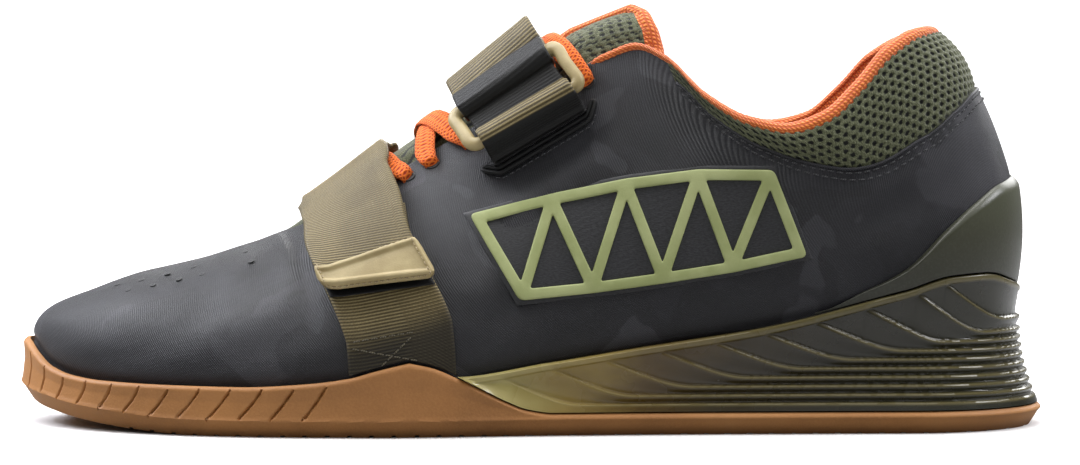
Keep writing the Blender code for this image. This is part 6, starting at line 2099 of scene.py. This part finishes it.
def holes_at(uv):
    """How much of a hole lies at each place: staggered ovals in rows along the collar."""
    a, b = uv[..., 0] / HOLE_PITCH, uv[..., 1] / (2 * HOLE_ROW)
    best = np.full(a.shape, 9.0)
    for shift in (0.0, 0.5):
        across = (a + shift - np.round(a + shift)) * HOLE_PITCH / HOLE_HALF[0]
        up = (b + shift - np.round(b + shift)) * 2 * HOLE_ROW / HOLE_HALF[1]
        best = np.minimum(best, np.sqrt(across**2 + up**2))
    return 1 - ease(best, 0.62, 1.18)


def build_collar_mesh(finishes):
    """Padded spacer mesh of the collar, with its holes, inside the panel's seam."""
    stations = np.linspace(turn(MESH_START), 1.0, MESH_STATIONS)
    medial, other = shell_grid(MEDIAL, stations, mesh_rows)
    lateral, share = shell_grid(LATERAL, stations[::-1][1:], mesh_rows)
    places = np.concatenate((medial, lateral))
    station = np.concatenate((stations, stations[::-1][1:]))
    share = np.concatenate((other, share))
    normal = grid_normals(places)
    if np.mean(normal[:40, :, 1]) < 0:
        normal = -normal
    run = lengths(places, 0)
    run = run - run[len(places) // 2]
    uv = np.stack((run, lengths(places, 1) - lengths(places, 1)[:, -1:]), axis=-1)
    hole = holes_at(uv)
    relief = np.array([[mesh_relief(s, v) for v in row] for s, row in zip(station, share)])
    lift = relief + MESH_LIFT - HOLE_DEPTH * hole
    ridge = MESH_RIDGE * np.cos(2 * np.pi * uv[..., 1] / HOLE_ROW)
    fade = ease(np.linspace(0.0, 1.0, MESH_ROWS), 0.0, 0.06)[None, :]
    lift = np.where(fade < 1, lift * fade - MESH_EDGE * (1 - fade), lift) + ridge * fade * (1 - hole)
    back = (places + normal * (np.minimum(lift, relief) - MESH_BACK)[..., None])[:, ::-18]
    over = places + normal * lift[..., None]
    ring = np.concatenate((over, back), axis=1)
    # The hole mark carries the painted shade: in the holes, and all over the back.
    marks = np.concatenate((hole, np.ones(back.shape[:2])), axis=1)
    made = Shape()
    made.tube(ring, np.concatenate((uv, uv[:, ::-18], uv[:, :1]), axis=1), (0, -1), hole=marks)
    finish_piece(made.build("collar_mesh", [finishes["spacer_mesh"]]), "tongue_mesh")


def seam_path(side, below, lift):
    """Points and normals along the collar panel's seam, a distance below it."""
    path, normals = [], []
    for station in np.linspace(turn(MESH_START), 1.0, SEAM_POINTS):
        seam = RIB["seam"](station)
        height = np.linalg.norm(rib_point(side, station, seam) - rib_point(side, station, seam - 0.05)) / 0.05
        share = seam - below / height
        station = min(station, 0.9995)
        normal = rib_normal(side, station, share)
        path.append(rib_point(side, station, share) + normal * lift)
        normals.append(normal)
    return np.array(path), np.array(normals)


def build_seams(finishes):
    """Folded panel edge below the collar's mesh, with two rows of stitches."""
    thread, fold = Shape(), Shape()
    for below in (0.0013, 0.0034):
        for side in SIDES:
            path, normal = seam_path(side, below, 0.00005)
            sew(thread, path, normal, *STITCHES["collar"])
    near_path, near_normal = seam_path(LATERAL, 0.0001, 0.0001)
    far_path, far_normal = seam_path(MEDIAL, 0.0001, 0.0001)
    path = np.concatenate((near_path, far_path[::-1][1:]))
    normal = np.concatenate((near_normal, far_normal[::-1][1:]))
    cord(fold, path, 0.00048, normal, 8, flat=0.9)
    finish_piece(thread.build("seam_stitches", [finishes["thread"]]), "microfibre")
    finish_piece(fold.build("seam_fold", [finishes["microfibre"]]), "microfibre")


def build_pinholes(finishes):
    """Small punched holes in the toe, in two staggered rows on each side, each a near-black disc that paints
    the shade inside the hole.
    """
    made = Shape()
    for side in SIDES:
        for x, height in zip(TOE_PINHOLES["x"], TOE_PINHOLES["height"]):
            place, normal = toe_place(side, x, height)
            across = unit(np.cross(normal, (0.0, 0.0, 1.0)))
            up = np.cross(across, normal)
            angle = np.linspace(0.0, 2 * np.pi, 12, endpoint=False)
            rings = []
            for radius, lift in PINHOLE_RINGS:
                ring = across * np.cos(angle)[:, None] + up * np.sin(angle)[:, None]
                rings.append(place + normal * lift + ring * radius)
            made.tube(rings, ends=(-1, 0))
    finish_piece(made.build("toe_pinholes", [finishes["hole"]]), "microfibre")


def toe_place(side, x, height):
    """Place and normal on the toe at a place along and a height."""
    station = turn(0.5 + x / LENGTH)
    for _ in range(12):
        share = share_at_height(side, station, height)
        place = rib_point(side, station, share)
        ahead = rib_point(side, station + 0.002, share_at_height(side, station + 0.002, height))
        rate = 0.002 / max(1e-5, ahead[0] - place[0])
        station = min(0.4, max(0.02, station + 0.7 * rate * (x - place[0])))
    return place, rib_normal(side, station, share)


# The tongue's top is drawn to the lateral side: where its medial edge leaves the eyestay,
# where that edge lies at the top as a share of the throat, how far both edges reach back,
# and how far each part rises.
TONGUE_PULL = (0.000, 0.020)
TONGUE_EDGE = 0.44
TONGUE_SWEEP = (0.0105, 0.0030)
TONGUE_PUFF = 0.0012
BINDING_RADIUS = 0.0021
TONGUE_CROWN = ((-1.0, 0.42), (-0.3, 0.80), (0.5, 1.0), (1.0, 0.97))


def build_tongue(instep, finishes):
    """Padded tongue: mesh face, knitted binding round its edge and knitted back."""
    fine = np.linspace(turn(THROAT_START + 0.006), turn(TONGUE["along"][-1]), 62)
    wing = Curve([turn(a) for a in TONGUE["along"]], TONGUE["wing"])
    columns = 41
    outer, inner = [], []
    for station in fine:
        gap, reach = float(instep.gap(station)), wing(station)
        pulled = ease(x_at(along_of(station)), *TONGUE_PULL)
        end = (gap + TONGUE_WING * reach) * (1 - pulled) + TONGUE_EDGE * gap * pulled
        places = np.linspace(-TONGUE_WING * reach, end, columns)
        off = np.minimum(places, gap - places)
        lift = -(WALL + FIT_GAP) * (1 - ease(off / (gap * 0.3), 0.0, 1.0)) - FIT_GAP / 2
        edge = np.clip(np.minimum(places - places[0], places[-1] - places) / 0.008, 0.0, 1.0)
        thick = TONGUE_THICKNESS * (0.35 + 0.65 * np.sin(edge * math.pi / 2))
        outer.append(instep.point(station, places, lift))
        inner.append(instep.point(station, places, lift - thick))
    run = np.mean(outer[-1] - outer[-8], axis=0)
    run = unit(unit(run) + (TONGUE_LEAN, 0.0, 0.0))
    last_outer, last_inner = outer[-1], inner[-1]
    middle = np.mean(np.concatenate((last_outer, last_inner)), axis=0)
    half = np.max(np.abs(last_outer[:, 1] - middle[1]))
    narrow = Curve([0.0] + TONGUE_TOP["reach"], [1.0] + TONGUE_TOP["narrow"])
    up = np.cross((0.0, 1.0, 0.0), run)
    up = -up if up[2] < 0 else up
    for way in np.linspace(0.0, 1.0, 34)[1:]:
        for rows, last, lean in ((outer, last_outer, 1), (inner, last_inner, -1)):
            side = (last[:, 1] - middle[1]) / half
            lift = TONGUE_RISE * way * np.interp(side, *zip(*TONGUE_CROWN))
            moved = last + run * lift[:, None]
            moved[:, 0] += way * np.interp(side, (-1.0, 1.0), TONGUE_SWEEP)
            moved[:, 1] -= side * half * (1 - narrow(way))
            puff = TONGUE_PUFF * math.sin(math.pi * min(1.0, way * 1.05)) * (1 - side**2)
            rows.append(moved + up * (lean * puff)[:, None])
    outer, inner = np.array(outer), np.array(inner)
    ring = np.concatenate((outer, inner[:, ::-1], outer[:, :1]), axis=1)
    uv = np.stack((lengths(ring, 0), lengths(ring, 1)), axis=-1)
    hole = holes_at(uv[:, :columns])
    face = ease(np.linspace(0, 1, columns), 0.07, 0.10) * ease(np.linspace(1, 0, columns), 0.07, 0.10)
    face = face[None, :] * ease(np.linspace(1.0, 0.0, len(ring)), 0.03, 0.045)[:, None]
    normal = grid_normals(outer)
    normal = normal * np.sign(np.mean(normal[..., 2]))
    outer = outer - normal * (MESH_LIFT * hole * face)[..., None]
    ring[:, :columns], ring[:, -1] = outer, outer[:, 0]
    made = Shape()
    # The hole mark carries the painted shade in the holes of the mesh face.
    marks = np.concatenate((hole * face, np.zeros((len(ring), columns))), axis=1)
    slot = np.ones((len(ring) - 1, ring.shape[1] - 1), int)
    slot[:-3, 3:columns - 4] = 0
    index = made.tube(ring[:, :-1], uv, slot=slot, hole=marks)
    for end in (0, -1):
        line = np.stack((index[end, :columns], index[end, columns:-1][::-1]))
        made.sheet(line, np.zeros((*line.shape, 2)), 1)
    piece = made.build("tongue_pad", [finishes["spacer_mesh"], finishes["orange_knit"]])
    finish_piece(piece, "tongue_mesh", "tongue")
    edge = np.concatenate((ring[-34:, 0], ring[-1, 1:columns - 1], ring[-50:, columns - 1][::-1]))
    back = np.concatenate((inner[-34:, 0], inner[-1, 1:-1], inner[-50:, -1][::-1]))
    middle = 0.5 * (edge + back)
    made = Shape()
    out = unit(edge - back)
    ramp = ease(np.arange(len(middle)), 0, 10) * ease(np.arange(len(middle))[::-1], 0, 10)
    cord(made, middle, BINDING_RADIUS * (0.5 + 0.5 * ramp), out, 16, flat=0.95)
    finish_piece(made.build("tongue_binding", [finishes["orange_knit"]]), "insole_cloth")


# Laces at their eyelets: how far they run on and dip, their cup, and their braid.
LACE_RUN_ON = 0.0020
LACE_DIP = 0.0030
LACE_CUP = 0.00018
BRAID = 0.00007
BRAID_PITCH = 0.0012


def lace_path(instep, first, last, hump):
    """Middle line, width direction and outward direction of one crossing lace."""
    ways = np.linspace(-0.10, 1.10, 60)
    centre, width, out = [], [], []

    def spot(way):
        station = first + (last - first) * way
        return station, -LACE_MARGIN + (float(instep.gap(station)) + 2 * LACE_MARGIN) * way

    for way in ways:
        station, at = spot(min(1.0, max(0.0, way)))
        beyond = max(0.0, -way, way - 1.0) / 0.10
        at += (-1 if way < 0 else 1) * LACE_RUN_ON * math.sin(beyond * math.pi / 2)
        inside_way = min(1.0, max(0.0, way))
        lift = LACE_LIFT + LACE_THICKNESS / 2 + hump * math.sin(math.pi * inside_way) ** 0.7
        lift -= LACE_DIP * (1 - math.cos(beyond * math.pi / 2))
        run = instep.surface(*spot(inside_way + 0.03)) - instep.surface(*spot(inside_way - 0.03))
        normal = instep.look(instep.normals, station, at)
        side = np.cross(run, normal)
        centre.append(instep.point(station, at, lift))
        width.append(unit(side))
        out.append(normal)
    return np.array(centre), np.array(width), np.array(out), ways


def flat_lace(made, centre, width, out, ways):
    """A flat lace with round edges, which gathers where it goes into its eyelets."""
    angle = np.linspace(0.0, 2 * np.pi, 22, endpoint=False)
    across = np.sign(np.cos(angle)) * np.abs(np.cos(angle)) ** 0.55
    deep = np.sign(np.sin(angle)) * np.abs(np.sin(angle)) ** 0.8
    pull = 1 - 0.34 * (1 - ease(np.minimum(ways, 1 - ways), -0.08, 0.16))
    wobble = 1 + 0.02 * np.sin(ways * 31.0)
    half = LACE_WIDTH / 2 * pull * wobble
    thick = LACE_THICKNESS / 2 * (2.0 - pull)
    cup = LACE_CUP * (1 - across**2)
    places = centre[:, None] + width[:, None] * (half[:, None] * across)[..., None]
    rise = thick[:, None] * deep + cup[None, :]
    run = lengths(centre, 0)
    braid = BRAID * np.sin(2 * np.pi * run[:, None] / BRAID_PITCH + 9.0 * across[None, :])
    braid = braid * (np.abs(deep) > 0.2)
    places = places + out[:, None] * (rise + braid)[..., None]
    around = np.linspace(0.0, 2 * LACE_WIDTH, len(angle) + 1)
    made.tube(places, np.stack(np.meshgrid(run, around, indexing="ij"), axis=-1), (0, -1))


def build_laces(instep, finishes):
    eyelets = [turn(a) for a in EYELETS["along"]]
    holes = Shape()
    for i in range(len(eyelets) - 1):
        made = Shape()
        clear = EYELET_CLEAR * (eyelets[i + 1] - eyelets[i])
        first, last = eyelets[i] + clear, eyelets[i + 1] - clear
        for ends, hump in (((first, last), 0.0), ((last, first), LACE_THICKNESS * 1.05)):
            flat_lace(made, *lace_path(instep, *ends, hump))
        piece = made.build(f"lace_crossing_{i + 1}", [finishes["lace"]])
        finish_piece(piece, "lace_cord", f"lace_{i + 1}")
        for station in (first, last):
            for at in (-LACE_MARGIN - 0.0012, float(instep.gap(station)) + LACE_MARGIN + 0.0012):
                build_eyelet(holes, instep, station, at)
    finish_piece(holes.build("eyelets", [finishes["hole"]]), "microfibre")


def build_eyelet(made, instep, station, at):
    """Punched eyelet: a pressed rim round a hole, drawn near-black as painted shade."""
    angle = np.linspace(0.0, 2 * np.pi, 20, endpoint=False)
    rings = []
    for radius, lift in EYELET_RINGS:
        spots = instep.across(station, at, radius * np.cos(angle) * 1.05)
        rings.append(instep.point(spots, at + radius * np.sin(angle), np.full(20, lift)))
    made.tube(rings, ends=(-1, 0))


# The brace: how far its ground reaches past the rim, the corners' radii, the steps of
# its round edge (inset, share of the thickness), and the ground's swell and ribs.
GROUND_REACH = 0.0012
RIM_CORNER = 0.0018
WINDOW_CORNER = 0.0009
BRACE_EDGE = ((0.0, 0.0), (0.0, 0.62), (0.00022, 0.90), (0.00055, 1.0))
GROUND_LIFT = 0.00010
GROUND_SWELL = 0.00032
GROUND_RIB = 0.00010
GROUND_RIB_PITCH = 0.0012
GROUND_BACK = -0.0004
GROUND_COLUMNS = 220
GROUND_ROWS = 46


def build_brace(flank, finishes):
    """Raised frame on the quarter with round edges, over a dark ribbed ground."""
    rim, windows = brace_outlines()
    ground = grow(rim, GROUND_REACH)
    made = Shape()
    points, edges, ring_of = [], [], []
    rings = [round_corners(rim, RIM_CORNER)] + [round_corners(w, WINDOW_CORNER) for w in windows]
    for n, fine in enumerate(rings):
        sign = -1 if n == 0 else 1
        levels = []
        for inset, up in BRACE_EDGE:
            moved = grow([tuple(p) for p in fine], sign * inset) if inset else fine
            levels.append([flank.at(p[0], p[1], FIT_GAP + BRACE_THICKNESS * up) for p in moved])
        index = made.tube(levels)
        top = grow([tuple(p) for p in fine], sign * BRACE_EDGE[-1][0])
        first = len(points)
        points += top
        edges += [(first + k, first + (k + 1) % len(top)) for k in range(len(top))]
        ring_of += list(index[-1, :-1])
    flat, _, faces, origin, *_ = delaunay_2d_cdt([Vector(p) for p in points], edges, [], 1, 1e-7)
    number = [ring_of[o[0]] if o else made.add(np.array([flank.at(*p, FIT_GAP + BRACE_THICKNESS)]))[0]
              for o, p in zip(origin, flat)]
    outline_top = points[:len(rings[0])]
    holes = []
    first = len(rings[0])
    for fine in rings[1:]:
        holes.append(points[first:first + len(fine)])
        first += len(fine)
    for face in faces:
        middle = np.mean([flat[v] for v in face], axis=0)
        if inside(middle, outline_top) and not any(inside(middle, h) for h in holes):
            made.face([number[v] for v in face])
    piece = made.build("brace_frame", [finishes["green"]], sharp=40)
    finish_piece(piece, "pale_green_film", "side_brace")
    build_ground(flank, ground, finishes)


def round_corners(loop, radius):
    """A polygon with its corners rounded and its sides cut into short steps."""
    fine = []
    for i, corner in enumerate(loop):
        here, before = np.array(corner), np.array(loop[i - 1])
        after = np.array(loop[(i + 1) % len(loop)])
        one, other = unit(before - here), unit(after - here)
        start, end = here + one * radius, here + other * radius
        for k in range(CORNER_PARTS + 1):
            t = k / CORNER_PARTS
            fine.append(start * (1 - t) ** 2 + here * 2 * t * (1 - t) + end * t * t)
        target = after - other * radius
        span = np.linalg.norm(target - end)
        count = max(1, int(span / 0.003))
        fine += [end + (target - end) * k / count for k in range(1, count)]
    return fine


def build_ground(flank, ground, finishes):
    """Padded dark ground behind the frame, with fine ribs, lying lower round its edge."""
    made = Shape()
    top, foot = np.array(ground[:len(ground) // 2]), np.array(ground[len(ground) // 2:][::-1])
    places = []
    for way in np.linspace(0.0, 1.0, GROUND_COLUMNS):
        high = np.array([np.interp(way, np.linspace(0, 1, len(top)), top[:, k]) for k in range(2)])
        low = np.array([np.interp(way, np.linspace(0, 1, len(foot)), foot[:, k]) for k in range(2)])
        row = []
        for v in np.linspace(0.0, 1.0, GROUND_ROWS):
            spot = low + (high - low) * v
            end = min(way, 1 - way) * 0.085
            off = min(min(v, 1 - v) * np.linalg.norm(high - low), end)
            lift = GROUND_LIFT + GROUND_SWELL * float(ease(off, 0.0, 0.0012))
            rib = math.sin(2 * math.pi * spot[1] / GROUND_RIB_PITCH)
            lift += GROUND_RIB * rib * float(ease(off, 0.001, 0.002))
            row.append(flank.at(spot[0], spot[1], lift))
        for v in np.linspace(1.0, 0.0, 5):
            row.append(flank.at(*(low + (high - low) * v), GROUND_BACK))
        places.append(row)
    places = np.array(places)
    uv = np.stack((lengths(places, 0), lengths(places, 1)), axis=-1)
    made.tube(places, np.concatenate((uv, uv[:, :1]), axis=1), (0, -1))
    finish_piece(made.build("brace_ground", [finishes["ground"]]), "microfibre")


# Lamps: name, place, what each looks at, size, power in watts and colour.
LAMPS = (
    ("top", (-0.10, 0.12, 0.90), (0.0, 0.0, 0.05), (1.1, 0.5), 8.5, (1.0, 1.0, 1.0)),
    ("back", (0.25, 0.80, 0.45), (0.0, 0.0, 0.06), (1.0, 0.35), 6.0, (1.0, 1.0, 1.0)),
    ("toe", (-0.62, 0.22, 0.55), (-0.10, 0.0, 0.04), (0.45, 0.45), 6.5, (0.90, 0.92, 1.0)),
    ("heel", (0.68, -0.02, 0.62), (0.12, 0.0, 0.06), (0.35, 0.45), 4.2, (0.93, 0.94, 1.0)),
    ("fill", (-0.20, -0.90, 0.55), (0.0, 0.0, 0.05), (0.7, 0.3), 0.7, (1.0, 1.0, 1.0)),
)
CAMERA_PLACE = (0.0032, -0.950, 0.090)
CAMERA_AIM = (0.0032, 0.0, 0.0555)
CAMERA_LENS = 107.9
CAMERA_SENSOR = 36.0


def area_light(name, place, aim, size, power, colour):
    data = bpy.data.lights.new(name, "AREA")
    data.shape = "RECTANGLE"
    data.size, data.size_y = size
    data.energy = power
    data.color = colour
    lamp = bpy.data.objects.new(name, data)
    lamp.location = place
    lamp.rotation_euler = (Vector(aim) - Vector(place)).to_track_quat("-Z", "Y").to_euler()
    bpy.context.scene.collection.objects.link(lamp)


def build_floor():
    """Pale floor that sweeps up softly into the backdrop far behind the shoe."""
    line = [(-8.0, 0.0), (4.0, 0.0)]
    line += [(4.0 + 2.0 * math.sin(a), 2.0 - 2.0 * math.cos(a)) for a in np.linspace(0.05, math.pi / 2, 24)]
    points = [(x, y, z) for y, z in line for x in (-8.0, 8.0)]
    faces = [(2 * i, 2 * i + 1, 2 * i + 3, 2 * i + 2) for i in range(len(line) - 1)]
    made = bpy.data.meshes.new("floor")
    made.from_pydata(points, [], faces)
    made.shade_smooth()
    floor = bpy.data.objects.new("floor", made)
    f = Finish("floor")
    place = f.place()
    tone = f.between(f.noise(place, 3.0, 3.0), 0.3, 0.7)
    seen = f.node("LightPath").outputs[0]
    colour = f.mix(seen, (0.34, 0.34, 0.34), f.mix(tone, (0.90, 0.90, 0.90), (0.93, 0.93, 0.93)))
    reach = f.node("VectorMath", {0: place}, operation="LENGTH").outputs[1]
    far = f.math("MULTIPLY", seen, f.between(reach, 0.16, 0.70))
    made.materials.append(f.done(Base_Color=colour, Roughness=0.8, Specular_IOR_Level=0.1,
                                 Emission_Color=(1.0, 1.0, 1.0, 1.0), Emission_Strength=far))
    bpy.context.scene.collection.objects.link(floor)
    floor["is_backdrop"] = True


def build_stage():
    """Pale floor, soft studio light and the camera."""
    build_floor()
    world = bpy.data.worlds.new("studio")
    bpy.context.scene.world = world
    world.use_nodes = True
    tree = world.node_tree
    place = tree.nodes.new("ShaderNodeTexCoord").outputs["Generated"]
    split = tree.nodes.new("ShaderNodeSeparateXYZ")
    tree.links.new(place, split.inputs[0])
    ramp = tree.nodes.new("ShaderNodeMapRange")
    ramp.inputs["From Min"].default_value, ramp.inputs["From Max"].default_value = 0.30, 0.95
    ramp.inputs["To Min"].default_value, ramp.inputs["To Max"].default_value = 0.08, 1.00
    tree.links.new(split.outputs[2], ramp.inputs["Value"])
    seen = tree.nodes.new("ShaderNodeLightPath").outputs["Is Camera Ray"]
    larger = tree.nodes.new("ShaderNodeMath")
    larger.operation = "MAXIMUM"
    tree.links.new(ramp.outputs[0], larger.inputs[0])
    tree.links.new(seen, larger.inputs[1])
    tree.links.new(larger.outputs[0], tree.nodes["Background"].inputs["Color"])
    for lamp in LAMPS:
        area_light(*lamp)
    lens = bpy.data.cameras.new("camera")
    lens.lens = CAMERA_LENS
    lens.sensor_width = CAMERA_SENSOR
    camera = bpy.data.objects.new("camera", lens)
    camera.location = CAMERA_PLACE
    camera.rotation_euler = (Vector(CAMERA_AIM) - camera.location).to_track_quat("-Z", "Y").to_euler()
    bpy.context.scene.collection.objects.link(camera)
    bpy.context.scene.camera = camera
    bpy.context.scene.view_settings.view_transform = "Standard"


def recolour(node, finish):
    """Gives a CAD node whose shape is right its finish."""
    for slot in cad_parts[node].material_slots:
        slot.material = finish


def main():
    build_stage()
    finishes = {
        "microfibre": microfibre(),
        "spacer_mesh": spacer_mesh(),
        "orange_knit": orange_knit(),
        "insole_cloth": insole_cloth(),
        "gum_rubber": gum_rubber(),
        "wedge_tpu": wedge_tpu(),
        "counter_tpu": counter_tpu(),
        "khaki": khaki_webbing(),
        "dark_webbing": dark_webbing(),
        "beige": moulded("beige_plastic", (0.36, 0.275, 0.120), (0.50, 0.40, 0.20), 0.42, 0.1),
        "green": moulded("pale_green_film", (0.33, 0.37, 0.14), (0.45, 0.49, 0.22), 0.45),
        "lace": lace_cord(),
        "thread": thread("thread", (0.008, 0.008, 0.009), (0.075, 0.075, 0.08)),
        "tan_thread": thread("tan_thread", (0.30, 0.22, 0.11), (0.52, 0.42, 0.25)),
        "khaki_thread": thread("khaki_thread", (0.030, 0.024, 0.010), (0.15, 0.125, 0.065)),
        "ground": microground(),
        # Near-black finish that paints the shade inside the pinholes and the eyelets.
        "hole": thread("painted_hole_shade", (0.004, 0.004, 0.004), (0.020, 0.020, 0.022)),
    }
    build_upper(finishes)
    build_wedge(finishes)
    build_outsole(finishes)
    build_counter(finishes)
    build_collar_roll(finishes)
    build_collar_mesh(finishes)
    build_seams(finishes)
    flank = Flank()
    build_pinholes(finishes)
    instep = Instep(turn(0.28), turn(0.68))
    build_tongue(instep, finishes)
    build_laces(instep, finishes)
    build_lower_strap(instep, flank, finishes)
    build_upper_strap(instep, finishes)
    build_brace(flank, finishes)
    recolour("insole", finishes["insole_cloth"])


main()

boxes = {"cad": cad_box, "visual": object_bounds()}
{k: [list(map(float, c)) for c in v] for k, v in boxes.items()}
